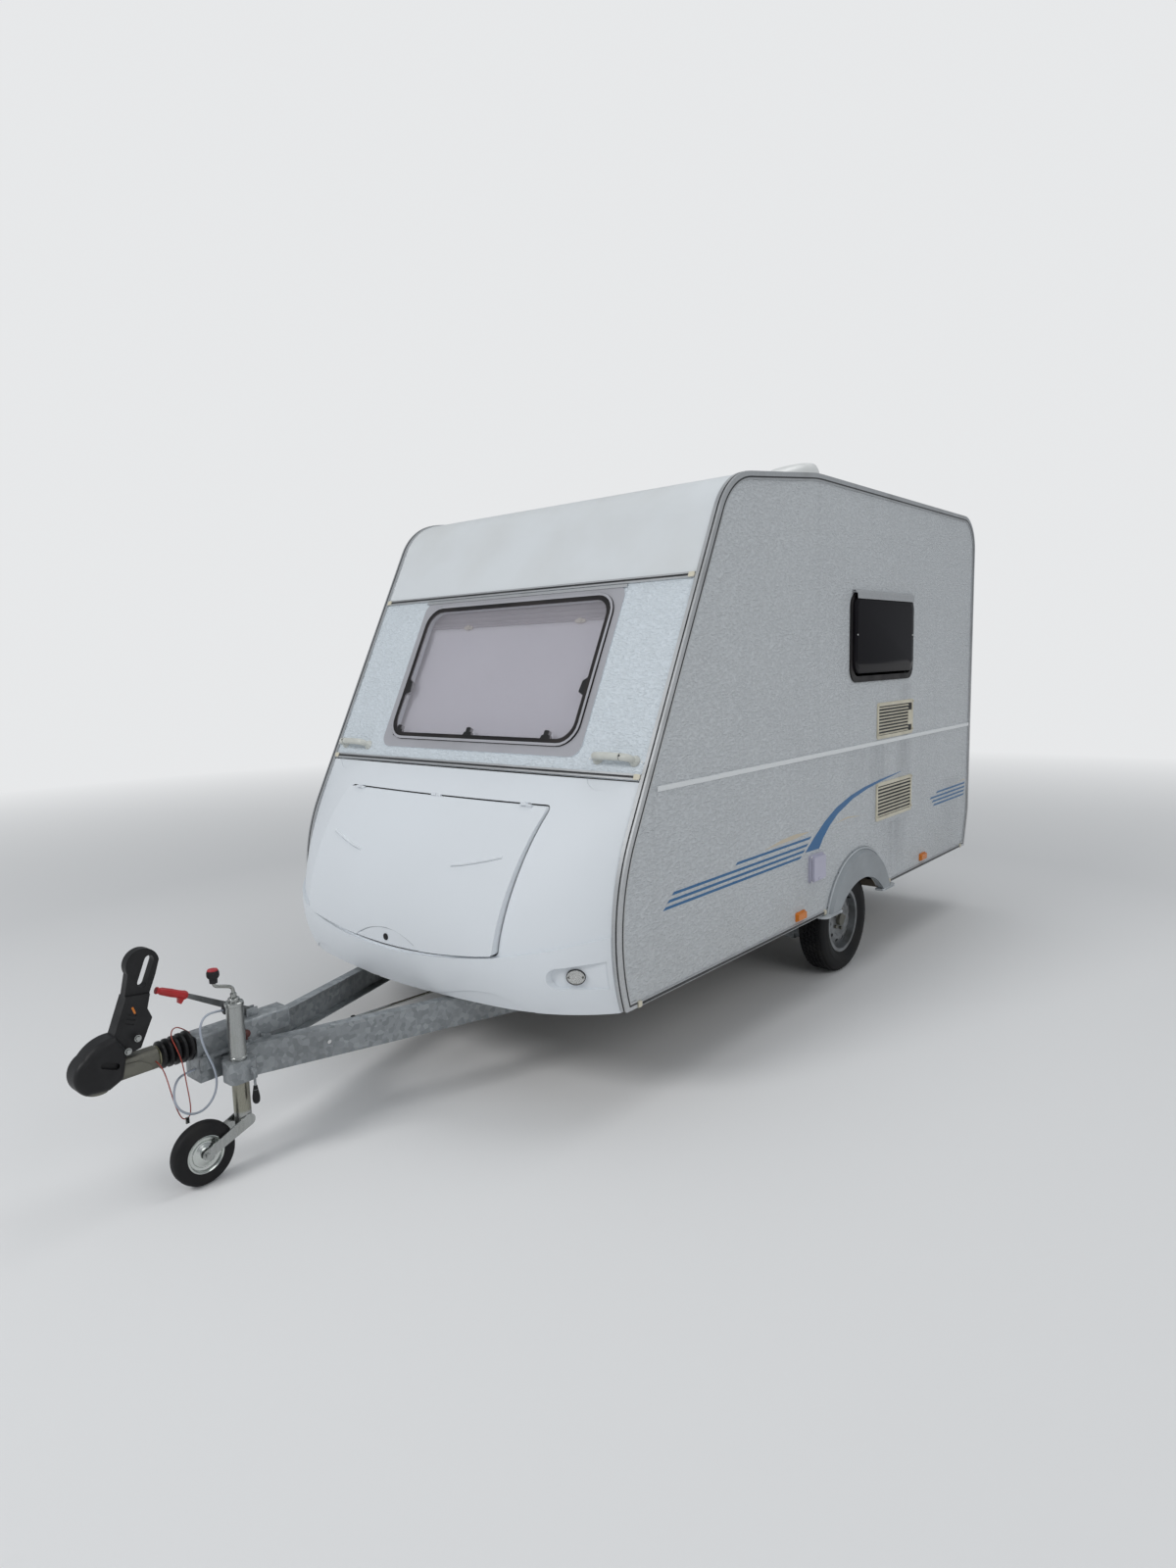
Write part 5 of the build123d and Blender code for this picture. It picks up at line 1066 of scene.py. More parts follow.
# latches along the foot of the front pane, a catch and a stay at each side, all inside the pane
hardware = {
    "footLatches": (-0.547, -0.046, 0.444), "footDepth": (0.0110, -0.006),
    "foot": [(-0.034, -0.345), (0.034, -0.345), (0.024, -0.312), (-0.024, -0.312)],
    "knob": (0.026, 0.032, 0.006), "knobV": -0.306, "knobDepth": (0.0125, -0.010),
    "catch": [(0.594, -0.131), (0.594, -0.039), (0.563, -0.059), (0.557, -0.111)],
    "catchDepth": (0.0110, -0.010),
    "stay": {"u": 0.584, "v": (-0.175, -0.105, -0.025), "w": -0.004, "radii": [0.0042, 0.0042, 0.0034]},
    "rod": {"u": 0.5845, "v": (0.03, 0.12, 0.22), "w": -0.002, "radii": 0.0026},
}
latch = bmesh.new()
for middle in hardware["footLatches"]:
    outline = [(middle + u, v) for u, v in hardware["foot"]]
    addSlab(latch, outline, frontWindowPlace, *hardware["footDepth"])
    outline = roundedOutline(*hardware["knob"], (middle, hardware["knobV"]))
    addSlab(latch, outline, frontWindowPlace, *hardware["knobDepth"])
for side in (-1, 1):
    outline = [(side * u, v) for u, v in hardware["catch"]]
    addSlab(latch, outline, frontWindowPlace, *hardware["catchDepth"])
addMesh("paneLatches", latch, blackPlastic, edge=0.0015)
stays = bmesh.new()
for side in (-1, 1):
    for bar in (hardware["stay"], hardware["rod"]):
        line = [frontWindowPlace @ Vector((side * bar["u"], v, bar["w"])) for v in bar["v"]]
        addTube(stays, line, bar["radii"])
addMesh("paneStays", stays, railAluminium, smooth=40)
print("front window hardware in place")

# fridge vents: frame, blades over a black backing that paints the shade of the recess behind them, and the
# catch of the upper one
vents = {
    "y": (1.160, 1.680), "rows": [(1.283, 1.487), (0.817, 1.035)],
    "border": 0.020, "blades": 9, "catch": 0.055,
    "blade": [(0, 0), (0.0055, 0.0052), (0.0075, 0.0052), (0.0026, 0)],
}
frames = bmesh.new()
shadeBacking = bmesh.new()
blades = bmesh.new()
for row, (low, high) in enumerate(vents["rows"]):
    width, height = vents["y"][1] - vents["y"][0], high - low
    place = wallPlace(1, sum(vents["y"]) / 2, (low + high) / 2)
    innerWidth, innerHeight = width - 2 * vents["border"], height - 2 * vents["border"]
    opening = roundedOutline(innerWidth, innerHeight, 0.006)
    addRing(frames, roundedOutline(width, height, 0.014), opening, place, 0.0002, 0.0036)
    addRing(frames, roundedOutline(width - 0.008, height - 0.008, 0.011), opening, place, 0.0034, 0.0058)
    # black backing behind the blades: painted shade
    addSlab(shadeBacking, roundedOutline(innerWidth - 0.001, innerHeight - 0.001, 0.005), place, 0.0012, 0.0002)
    pitch = innerHeight / vents["blades"]
    length = innerWidth - (vents["catch"] if row == 0 else 0.0)
    for number in range(vents["blades"]):
        v = -innerHeight / 2 + (number + 0.62) * pitch
        start = place @ Vector((-innerWidth / 2, v, 0.0012))
        addSlab(blades, vents["blade"], placeFrom(start, (0, 0, -1), (1, 0, 0)), -length, 0.0)
    if row == 0:
        centre = (innerWidth / 2 - vents["catch"] / 2, -innerHeight * 0.02)
        outline = roundedOutline(vents["catch"], innerHeight * 0.52, 0.004, centre)
        addSlab(blades, outline, place, 0.0046, 0.0012)
        addSlab(blades, roundedOutline(0.012, innerHeight * 0.30, 0.004, centre), place, 0.0066, 0.0044)
addMesh("ventFrames", frames, creamPlastic, edge=0.0008, hides=["fridge_vents"])
addMesh("ventBlades", blades, creamPlastic, hides=["fridge_vents"])
addMesh("ventShadeBacking", shadeBacking, blackPlastic, hides=["fridge_vents"])
print("vents built")

# mains inlet: the catch and hinge of its flap, and the seam round it
inlet = {
    "y": 0.421, "z": 0.699,
    "catch": (0.034, 0.012, 0.004, (0, -0.052)), "catchDepth": (0.0335, 0.028),
    "hinge": (0.100, 0.010, 0.004, (0, 0.058)), "hingeDepth": (0.026, 0.014),
    "seam": [(0.1312, 0.1232, 0.0105), (0.1278, 0.1198, 0.009)], "seamDepth": (0.0155, 0.0172),
}
flap = bmesh.new()
place = wallPlace(1, inlet["y"], inlet["z"])
for form in ("catch", "hinge"):
    addSlab(flap, roundedOutline(*inlet[form]), place, *inlet[form + "Depth"])
addMesh("inletCatch", flap, inletLilac, edge=0.0015)
seam = bmesh.new()
outer, inner = (roundedOutline(*outline) for outline in inlet["seam"])
addRing(seam, outer, inner, place, *inlet["seamDepth"])
addMesh("inletSeam", seam, blackRubber)
print("inlet finished")

# tyres: a turned carcass with ridges on its walls, and tread blocks grown round it
tyre = {
    "profile": [
        (0.0562, 0.1656), (0.0585, 0.1725), (0.0620, 0.1790), (0.0650, 0.1850), (0.0668, 0.1915),
        (0.0715, 0.2010), (0.0765, 0.2110), (0.0795, 0.2210), (0.0803, 0.2290), (0.0808, 0.2305),
        (0.0808, 0.2330), (0.0801, 0.2350), (0.0790, 0.2460), (0.0770, 0.2560), (0.0763, 0.2580),
        (0.0763, 0.2605), (0.0740, 0.2640), (0.0700, 0.2710), (0.0645, 0.2765), (0.0580, 0.2795),
        (0.0300, 0.2802),
    ],
    "treadRadius": 0.2832, "block": (0.0068, 0.0225, 0.0182),
    "rows": 5, "rowPitch": 0.0214, "blocksPerRow": 66, "lean": 0.35,
    "valvePlace": (0.0335, 0.104, 0.104),
    "valve": [(0, 0), (0.0055, 0), (0.0055, 0.010), (0.0038, 0.012), (0.0038, 0.022), (0, 0.022)],
}


def makeTreadTree():
    tree, given, target = startTree("treadBlocks", {
        "Tread Radius": "Float", "Block Size": "Vector", "Blocks Per Row": "Int", "Rows": "Int",
        "Row Pitch": "Float", "Block Lean": "Float", "Wheel Centre": "Vector", "Material": "Material",
    })
    circle = addStep(
        tree, "GeometryNodeMeshCircle",
        {"Vertices": given["Blocks Per Row"], "Radius": given["Tread Radius"]},
    )
    block = addStep(tree, "GeometryNodeMeshCube", {"Size": given["Block Size"]})
    lean = addStep(tree, "ShaderNodeCombineXYZ", {"X": given["Block Lean"]})
    leaned = addStep(
        tree, "GeometryNodeTransform", {"Geometry": block.outputs["Mesh"], "Rotation": lean.outputs[0]},
    )
    position = addStep(tree, "GeometryNodeInputPosition")
    outward = addStep(
        tree, "FunctionNodeAlignRotationToVector", {"Vector": position.outputs[0]}, axis="X",
    )
    ring = addStep(
        tree, "GeometryNodeInstanceOnPoints",
        {
            "Points": circle.outputs["Mesh"], "Instance": leaned.outputs["Geometry"],
            "Rotation": outward.outputs["Rotation"],
        },
    )
    rowStep = addStep(tree, "ShaderNodeCombineXYZ", {"Z": given["Row Pitch"]})
    line = addStep(
        tree, "GeometryNodeMeshLine", {"Count": given["Rows"], "Offset": rowStep.outputs[0]}, mode="OFFSET",
    )
    order = addStep(tree, "GeometryNodeInputIndex")
    parity = mathOf(tree, "MODULO", order.outputs[0], 2.0)
    halfPitch = mathOf(tree, "DIVIDE", pi, given["Blocks Per Row"])
    turn = addStep(
        tree, "FunctionNodeAxisAngleToRotation",
        {"Angle": mathOf(tree, "MULTIPLY", parity, halfPitch)}, {"Axis": (0, 0, 1)},
    )
    rows = addStep(
        tree, "GeometryNodeInstanceOnPoints",
        {
            "Points": line.outputs["Mesh"], "Instance": ring.outputs["Instances"],
            "Rotation": turn.outputs["Rotation"],
        },
    )
    width = mathOf(tree, "MULTIPLY", mathOf(tree, "SUBTRACT", given["Rows"], 1.0), given["Row Pitch"])
    back = addStep(tree, "ShaderNodeCombineXYZ", {"Z": mathOf(tree, "MULTIPLY", width, -0.5)})
    centred = addStep(
        tree, "GeometryNodeTransform",
        {"Geometry": rows.outputs["Instances"], "Translation": back.outputs[0]},
    )
    tipped = addStep(
        tree, "GeometryNodeTransform",
        {"Geometry": centred.outputs["Geometry"], "Translation": given["Wheel Centre"]},
        {"Rotation": (0, pi / 2, 0)},
    )
    finishTree(tree, tipped.outputs["Geometry"], given, target)
    return tree


# both halves of a wheel's section, from the half that its dictionary gives
def mirrored(half):
    return [(radius, x) for x, radius in half] + [(radius, -x) for x, radius in reversed(half)]


treadTree = makeTreadTree()
for side, label in ((1, "left"), (-1, "right")):
    centre = Vector((side * body["wheelX"], body["axleY"], body["wheelRadius"]))
    carcass = bmesh.new()
    addLathe(carcass, crossPlace(centre), mirrored(tyre["profile"]), steps=96, closed=True)
    addMesh(
        f"{label}Tyre", carcass, tyreRubber, f"wheel_{label}", smooth=35,
        hides=[f"wheel_{label}_tyre"],
    )
    empty = bpy.data.meshes.new(f"{label}TreadSeed")
    growPiece(
        f"{label}Tread", empty, treadTree,
        {
            "Tread Radius": tyre["treadRadius"], "Blocks Per Row": tyre["blocksPerRow"],
            "Block Size": tyre["block"], "Block Lean": tyre["lean"],
            "Rows": tyre["rows"], "Row Pitch": tyre["rowPitch"], "Wheel Centre": centre,
        },
        tyreRubber, f"wheel_{label}",
    )
    valve = bmesh.new()
    x, y, z = tyre["valvePlace"]
    stem = placeFrom(centre + Vector((side * x, y, z)), (0, side, 0), (0, 0, 1))
    addLathe(valve, stem, tyre["valve"], steps=14)
    addMesh(f"{label}Valve", valve, blackRubber, f"wheel_{label}", smooth=40)
print("tyres turned, tread grown")

# jockey wheel: a solid tyre and a pressed, stepped rim
jockey = {
    "centre": (0.130, -2.396, 0.112),
    "tyre": [
        (-0.0222, 0.0668), (-0.0240, 0.0760), (-0.0248, 0.0880), (-0.0236, 0.0985), (-0.0200, 0.1062),
        (-0.0150, 0.1102), (-0.0080, 0.1117),
    ],
    "rim": [
        (-0.0232, 0.0662), (-0.0240, 0.0640), (-0.0225, 0.0610), (-0.0175, 0.0590), (-0.0140, 0.0560),
        (-0.0132, 0.0470), (-0.0165, 0.0440), (-0.0172, 0.0380), (-0.0200, 0.0345), (-0.0208, 0.0270),
        (-0.0235, 0.0235), (-0.0240, 0.0100),
    ],
}
rimZinc = drawnMetal("rimZinc", {
    "colour": (0.55, 0.62, 0.56), "second": (0.62, 0.60, 0.62), "third": (0.38, 0.44, 0.40),
    "wear": 0.5, "roughness": (0.12, 0.26), "stretch": (1, 1, 1), "metallic": 0.95,
})
for label, material, slotName in (("tyre", tyreRubber, "tyre_rubber"), ("rim", rimZinc, "zinc_steel")):
    turned = bmesh.new()
    addLathe(turned, crossPlace(jockey["centre"]), mirrored(jockey[label]), steps=64, closed=True)
    name = "jockey" + label.capitalize()
    addMesh(name, turned, material, "jockey_wheel", smooth=35, hides=["jockey_" + label])
print("jockey wheel turned")

# grab handles: a thick bow on two feet, with a seam and a cap at its outer end
grab = {
    "x": 0.852, "z": 1.372, "half": 0.094, "rise": 0.044, "radius": 0.0158,
    "bow": [                    # shares of half its length and of its rise
        (-1.0, 0.0), (-0.99, 0.35), (-0.90, 0.80), (-0.72, 1.0), (0.0, 1.06), (0.66, 1.0), (0.88, 0.86),
        (0.97, 0.5), (1.0, 0.0),
    ],
    "slimming": 0.16,
    "foot": [(0, 0), (0.0235, 0), (0.0235, 0.005), (0.0185, 0.011), (0.0155, 0.018), (0, 0.018)],
    "seamAt": 0.55, "seamRise": 1.02, "seamProud": 0.0004, "seamHalf": 0.0008,
    "dotAt": 0.60, "dotSink": 0.0012, "dot": [(0, 0), (0.0042, 0), (0.0042, 0.0016), (0, 0.0018)],
}
bows = bmesh.new()
seams = bmesh.new()
for side in (-1, 1):
    place = slopePlace(side * grab["x"], grab["z"])
    across, upSlope, away = place.to_3x3().col
    bow = [place @ Vector((side * u * grab["half"], 0, v * grab["rise"])) for u, v in grab["bow"]]
    line = smoothLine(bow)
    shares = [2 * step / (len(line) - 1) - 1 for step in range(len(line))]
    radii = [grab["radius"] * (1.0 - grab["slimming"] * abs(share) ** 4) for share in shares]
    addTube(bows, line, radii, 20)
    for end in (-1, 1):
        foot = placeFrom(place @ Vector((end * grab["half"], 0, 0)), across, upSlope)
        addLathe(bows, foot, grab["foot"], 28)
    rise = grab["seamRise"] * grab["rise"]
    seam = placeFrom(place @ Vector((side * grab["seamAt"] * grab["half"], 0, rise)), upSlope, away)
    radius, half = grab["radius"] + grab["seamProud"], grab["seamHalf"]
    addLathe(seams, seam, [(0.010, -half), (radius, -half), (radius, half), (0.010, half)], 24, True)
    top = rise + grab["radius"] - grab["dotSink"]
    dot = placeFrom(place @ Vector((side * grab["dotAt"] * grab["half"], 0, top)), across, upSlope)
    addLathe(seams, dot, grab["dot"], 16)
addMesh("grabBows", bows, handleWhite, smooth=50, hides=["grab_handles"])
addMesh("grabSeams", seams, blackRubber, smooth=40, hides=["grab_handles"])

# rain gutters over the side windows: their section out from the wall, and how much shorter they are
gutter = {
    "short": 0.02,
    "section": [
        (0.0, 0.045), (0.0125, 0.045), (0.0205, 0.040), (0.0265, 0.028), (0.0290, 0.0), (0.0265, -0.001),
        (0.0240, 0.026), (0.0185, 0.036), (0.0118, 0.0405), (0.0, 0.0405),
    ],
}
gutters = bmesh.new()
top = sides["middleZ"] + sides["size"][1] / 2
half = sides["size"][0] / 2 - gutter["short"]
for side, y in ((1, sides["left"]), (-1, sides["right"])):
    place = placeFrom((side * body["halfWidth"], y + side * half, top), (side, 0, 0), (0, 0, 1))
    addSlab(gutters, gutter["section"], place, 2 * half, 0.0)
addMesh("windowGutters", gutters, railAluminium, edge=0.0006)

# low roof cowl that rises to the back, and the frame of the rooflight
cowl = {
    "x": 0.830, "y": (0.345, 0.680), "base": 2.619, "halfWidth": 0.088,
    "crest": [
        (0.0, 0.008), (0.10, 0.040), (0.3, 0.066), (0.55, 0.088), (0.8, 0.106), (0.93, 0.1105),
        (0.985, 0.102), (1.0, 0.084),
    ],
    "mouth": (0.118, 0.026, 0.008), "mouthZ": 0.026, "mouthProud": 0.0006,
}
rooflight = {
    "place": (0, 1.250, 2.6198), "outer": (0.470, 0.470, 0.040), "inner": (0.400, 0.400, 0.006),
    "height": 0.0242, "hingeX": (-0.150, 0.150), "hingeY": 1.003, "hingeZ": 2.648, "hingeRadius": 0.0070,
    "knuckles": ((-0.034, -0.018), (0.018, 0.034)), "knuckleFoot": (1.000, 1.022, 2.632),
}
dome = bmesh.new()
rings = []
for share, height in cowl["crest"]:
    y = cowl["y"][0] + share * (cowl["y"][1] - cowl["y"][0])
    half = cowl["halfWidth"] * min(1.0, 0.55 + 1.6 * share) * (1.0 - 0.6 * max(0.0, share - 0.9))
    ring = []
    for step in range(17):
        turn = pi * step / 16
        u = abs(cos(turn)) ** 0.55 * (1 if cos(turn) >= 0 else -1)
        ring.append(dome.verts.new((cowl["x"] + half * u, y, cowl["base"] + height * sin(turn) ** 0.5)))
    rings.append(ring)
for nearer, farther in zip(rings, rings[1:]):
    for step in range(16):
        dome.faces.new((nearer[step], farther[step], farther[step + 1], nearer[step + 1]))
    dome.faces.new((nearer[0], nearer[16], farther[16], farther[0]))
dome.faces.new(rings[0])
dome.faces.new(rings[-1][::-1])
outer, inner = (roundedOutline(*rooflight[key]) for key in ("outer", "inner"))
addRing(dome, outer, inner, uprightPlace(rooflight["place"]), 0.0, rooflight["height"])
nearY, farY, footZ = rooflight["knuckleFoot"]
for x in rooflight["hingeX"]:
    hinge = crossPlace((x, rooflight["hingeY"], rooflight["hingeZ"]))
    for low, high in rooflight["knuckles"]:
        addBlock(dome, (x + low, nearY, footZ), (x + high, farY, rooflight["hingeZ"]))
    for low, high in rooflight["knuckles"]:
        radius = rooflight["hingeRadius"]
        addLathe(dome, hinge, [(0, low), (radius, low), (radius, high), (0, high)], 20)
addMesh("roofCowl", dome, whitePlastic, smooth=50, edge=0.0008, hides=["roof_fittings"])
vent = bmesh.new()
mouthDepth = 0.004
mouth = (cowl["x"], cowl["y"][1] - mouthDepth, cowl["base"] + cowl["mouthZ"])
addSlab(
    vent, roundedOutline(*cowl["mouth"]), placeFrom(mouth, (-1, 0, 0), (0, 0, 1)),
    mouthDepth + cowl["mouthProud"], 0.0,
)
addMesh("cowlMouth", vent, blackPlastic, hides=["roof_fittings"])
print("handles, gutters and cowl in place")


# where a ray meets a solid, and which way its surface faces there
def surfaceOf(member):
    data = nodes[member].data
    turned = nodes[member].matrix_world
    corners = [turned @ vertex.co for vertex in data.vertices]
    return BVHTree.FromPolygons(corners, [tuple(face.vertices) for face in data.polygons])


def frontOf(surface, x, z):
    besideEdges = 0.0003
    point, facing, _, _ = surface.ray_cast(Vector((x + besideEdges, -4, z + besideEdges)), Vector((0, 1, 0)))
    if point is None:
        return None, None
    return point - Vector((besideEdges, 0, besideEdges)), facing


# locker lid: rounded strokes over the raised ones, a thin dark painted-shade line under each stroke and
# along the rim of its half round, and the lock
lid = {
    "stroke": [(0.303, 0.958), (0.366, 0.9675), (0.430, 0.981), (0.494, 0.996), (0.556, 1.013)],
    "strokeRadius": 0.0056, "strokeEnds": 0.45, "sink": 0.0010, "shadeDrop": 0.0064, "shadeRadius": 0.0012,
    "rim": [(0.0, 0.672), (0.06, 0.6665), (0.12, 0.6505), (0.18, 0.624), (0.216, 0.603)],
    "rimRadius": 0.0014, "lock": (0.0, 0.632),
    "lockProfile": [
        (0, -0.002), (0.0125, -0.002), (0.0150, 0.0006), (0.0146, 0.0028), (0.0102, 0.0042),
        (0.0096, 0.0022), (0, 0.0020),
    ],
}
lidSurface = surfaceOf("locker_lid")
strokes = bmesh.new()
rim = bmesh.new()
for side in (-1, 1):
    sunk = []
    for x, z in lid["stroke"]:
        point, facing = frontOf(lidSurface, side * x, z)
        sunk.append(point - facing * lid["sink"])
    line = smoothLine(sunk)
    radii = [lid["strokeRadius"]] * len(line)
    radii[0] = radii[-1] = lid["strokeRadius"] * lid["strokeEnds"]
    addTube(strokes, line, radii, 16)
    # a thin dark tube just under each stroke: painted shade
    under = [frontOf(lidSurface, side * x, z - lid["shadeDrop"])[0] for x, z in lid["stroke"]]
    addTube(rim, smoothLine(under), lid["shadeRadius"], 8)
# a thin dark tube along the rim of the half round: painted shade
for side in (-1, 1):
    hits = [frontOf(lidSurface, side * x, z)[0] for x, z in lid["rim"]]
    addTube(rim, smoothLine([point for point in hits if point]), lid["rimRadius"], 10)
addMesh("lidStrokes", strokes, noseGelcoat, "locker_lid", smooth=60)
addMesh("lidShadeLines", rim, lidShadeGrey, "locker_lid", smooth=60)
lock = bmesh.new()
point, _ = frontOf(lidSurface, *lid["lock"])
addLathe(lock, placeFrom(point, (1, 0, 0), (0, 0, 1)), lid["lockProfile"], 28)
addMesh("lidLock", lock, blackPlastic, "locker_lid", smooth=40)

# front lamps: rim, bright reflector with a bulb, clear cover and two screws
frontLamp = {
    "x": 0.893, "z": 0.580, "size": (0.070, 0.058), "rim": 0.0022, "rimDepth": (-0.012, 0.0012),
    "reflector": [              # share of the lamp's size, growth, depth
        (0.25, 0, -0.0096), (0.62, 0, -0.0082), (0.90, 0, -0.0052), (1.0, 0, -0.0022),
    ],
    "bulb": [(0, -0.0096), (0.0060, -0.0096), (0.0072, -0.006), (0.0062, -0.003), (0, -0.0018)],
    "cover": [(1.0, -0.0004, -0.0014), (1.0, -0.0004, 0.0006), (0.86, 0, 0.0026), (0.55, 0, 0.0036)],
    "screws": 0.027, "screw": [(0, 0), (0.0036, 0), (0.0034, 0.0022), (0, 0.0026)], "screwProud": 0.0006,
}


# the lamp's oval, at a share of its size or so much larger
def lampOutline(share=1.0, larger=0.0):
    halfWidth, halfHeight = (share * (measure / 2) + larger for measure in frontLamp["size"])
    return [(halfWidth * cos(turn), halfHeight * sin(turn)) for turn in fullTurn(40)]


lampSurface = surfaceOf("front_lamps")
rims = bmesh.new()
reflector = bmesh.new()
cover = bmesh.new()
bulb = bmesh.new()
screws = bmesh.new()
for side in (-1, 1):
    point, facing = frontOf(lampSurface, side * frontLamp["x"], frontLamp["z"])
    across = Vector((0, 0, 1)).cross(facing).normalized()
    place = placeFrom(point, across, facing.cross(across))
    addRing(rims, lampOutline(larger=frontLamp["rim"]), lampOutline(), place, *frontLamp["rimDepth"])
    addLathe(bulb, place, frontLamp["bulb"], 20)
    for mesh, rows in ((reflector, frontLamp["reflector"]), (cover, frontLamp["cover"])):
        addStack(mesh, place, [(lampOutline(share, larger), depth) for share, larger, depth in rows])
    for u in (-frontLamp["screws"], frontLamp["screws"]):
        at = placeFrom(place @ Vector((u, 0, frontLamp["screwProud"])), across, facing.cross(across))
        addLathe(screws, at, frontLamp["screw"], 16)
addMesh("lampRims", rims, blackRubber, hides=["front_lamps"])
addMesh("lampReflectors", reflector, reflectorBright, smooth=40, hides=["front_lamps"])
addMesh("lampBulbs", bulb, plateWhite, smooth=50, hides=["front_lamps"])
addMesh("lampCovers", cover, clearCover, smooth=50, hides=["front_lamps"])
addMesh("lampScrews", screws, blackPlastic, smooth=40, hides=["front_lamps"])


# a point of an arch round the axle, on either side
def archPoint(side, x, radius, turn):
    y = body["axleY"] + radius * cos(turn)
    z = body["wheelRadius"] + radius * sin(turn)
    return Vector((side * x, y, z))


# mudguards: a lip along the arch and a foot at each end, in a paler grey than the guard as painted
# highlight; black line along the skirt rails
guard = {
    "radius": 0.4155, "x": 1.0335, "lipRadius": 0.0050, "footZ": 0.4120, "footThick": 0.0120,
    "low": 17.5,                # degrees over the horizontal where the lip ends
    "foot": [                   # across and away from the axle
        (1.0100, 0.2640), (1.0560, 0.2640), (1.0590, 0.2680), (1.0606, 0.2800), (1.0607, 0.4100),
        (1.0590, 0.4260), (1.0540, 0.4390), (1.0450, 0.4490), (1.0340, 0.4550), (1.0240, 0.4570),
        (1.0100, 0.4570),
    ],
    "skirt": ((-1.050, 0.512), (1.368, 2.550)), "skirtZ": 0.4405, "skirtHeight": 0.0115,
    "skirtDepth": (0.0005, -0.0015),
}
lips = bmesh.new()
flat = uprightPlace((0, body["axleY"], guard["footZ"]))
turns = [radians(guard["low"] + (180 - 2 * guard["low"]) * step / 40) for step in range(41)]
for side in (-1, 1):
    line = [archPoint(side, guard["x"], guard["radius"], turn) for turn in turns]
    addTube(lips, line, guard["lipRadius"], 10)
    for end in (-1, 1):
        outline = [(side * x, end * y) for x, y in guard["foot"]]
        addSlab(lips, outline, flat, guard["footThick"], 0.0)
addMesh("guardLipsPaintedHighlight", lips, guardLipPaintedHighlight, smooth=50, edge=0.0015)
skirt = bmesh.new()
railSurface = surfaceOf("side_rails")
for side in (-1, 1):
    for low, high in guard["skirt"]:
        middle = (low + high) / 2
        start = Vector((side * 2, middle, guard["skirtZ"] + 0.0005))
        point, _, _, _ = railSurface.ray_cast(start, Vector((-side, 0, 0)))
        place = placeFrom((point.x, middle, guard["skirtZ"]), (0, side, 0), (0, 0, 1))
        outline = roundedOutline(high - low, guard["skirtHeight"], 0.002)
        addSlab(skirt, outline, place, *guard["skirtDepth"])
addMesh("skirtInserts", skirt, insertBlack)
print("lid, front lamps and mudguards finished")

# hitch: lever with its grip, crank knob, tommy bar sleeve, grease ring, clips on the brake rod
hitch = {
    "leverPivot": (-2.112, 0.506), "leverEnd": (-2.345, 0.636), "gripEnd": (-2.450, 0.686),
    "plateGap": 0.0030, "plateThickness": 0.0032, "plateRound": 0.0138, "plateHalf": 0.0078,
    "plateReach": 0.030, "pinShares": (0.0, 0.42, 0.78),
    "pin": [
        (0, -0.0105), (0.0048, -0.0105), (0.0058, -0.009), (0.0058, 0.009), (0.0048, 0.0105), (0, 0.0105),
    ],
    "grip": [
        (0, 0), (0.0125, 0.0), (0.0150, 0.004), (0.0160, 0.012), (0.0148, 0.020), (0.0140, 0.040),
        (0.0148, 0.060), (0.0138, 0.080), (0.0132, 0.096), (0.0105, 0.104), (0.0105, 0.108),
        (0.0128, 0.111), (0.0120, 0.116), (0, 0.1175),
    ],
    "stopAt": 0.010, "stop": [(-0.004, 0.006), (0.020, 0.006), (0.012, 0.030), (0.002, 0.031)],
    "crank": [
        (0.130, -2.240, 0.6255), (0.130, -2.240, 0.652), (0.130, -2.244, 0.663), (0.130, -2.256, 0.6705),
        (0.130, -2.285, 0.6795), (0.130, -2.299, 0.684), (0.130, -2.307, 0.692), (0.130, -2.308, 0.704),
    ],
    "crankRadius": 0.0062, "tubeAxis": (0.130, -2.240, 0), "knobAxis": (0.130, -2.308, 0),
    "crankCollar": [
        (0, 0.6262), (0.0105, 0.6262), (0.0112, 0.628), (0.0112, 0.640), (0.0098, 0.643), (0, 0.643),
    ],
    "knob": [
        (0.0, 0.6985), (0.0135, 0.6985), (0.0142, 0.7145), (0.0185, 0.7180), (0.0205, 0.722),
        (0.0205, 0.7385), (0.0190, 0.7425), (0.0, 0.7425),
    ],
    "grooveRadius": 0.0203, "grooveHeights": (0.7232, 0.730, 0.7368),
    "knobCap": [(0.0, 0.7425), (0.0180, 0.7425), (0.0180, 0.7455), (0.0160, 0.7478), (0.0, 0.7485)],
    "sleeve": [
        (0.0, 0.2385), (0.0070, 0.2400), (0.0118, 0.2460), (0.0135, 0.2560), (0.0130, 0.2680),
        (0.0105, 0.2830), (0.0078, 0.2985), (0.0066, 0.3060), (0.0, 0.3060),
    ],
    "sleeveAxis": (0.188, -2.216, 0),
    "tubeCollars": [
        [(0.0302, 0.596), (0.0328, 0.598), (0.0332, 0.603), (0.0328, 0.609), (0.0302, 0.6115)],
        [(0.0302, 0.404), (0.0322, 0.406), (0.0322, 0.410), (0.0302, 0.412)],
    ],
    "gaiterZ": 0.455,
    "gaiterRing": [
        (0.0262, 2.4655), (0.0350, 2.4655), (0.0385, 2.4625), (0.0392, 2.4575), (0.0372, 2.4530),
        (0.0262, 2.4530),
    ],
    "clips": [-1.900, -1.665],
    "clip": [(0.0061, -0.006), (0.0105, -0.006), (0.0115, 0), (0.0105, 0.006), (0.0061, 0.006)],
    "clipTab": [(-0.004, 0.009), (0.004, 0.009), (0.004, 0.024), (-0.004, 0.024)],
    "rod": ((-2.230, 0.352), (0.715, 0.256)),
}
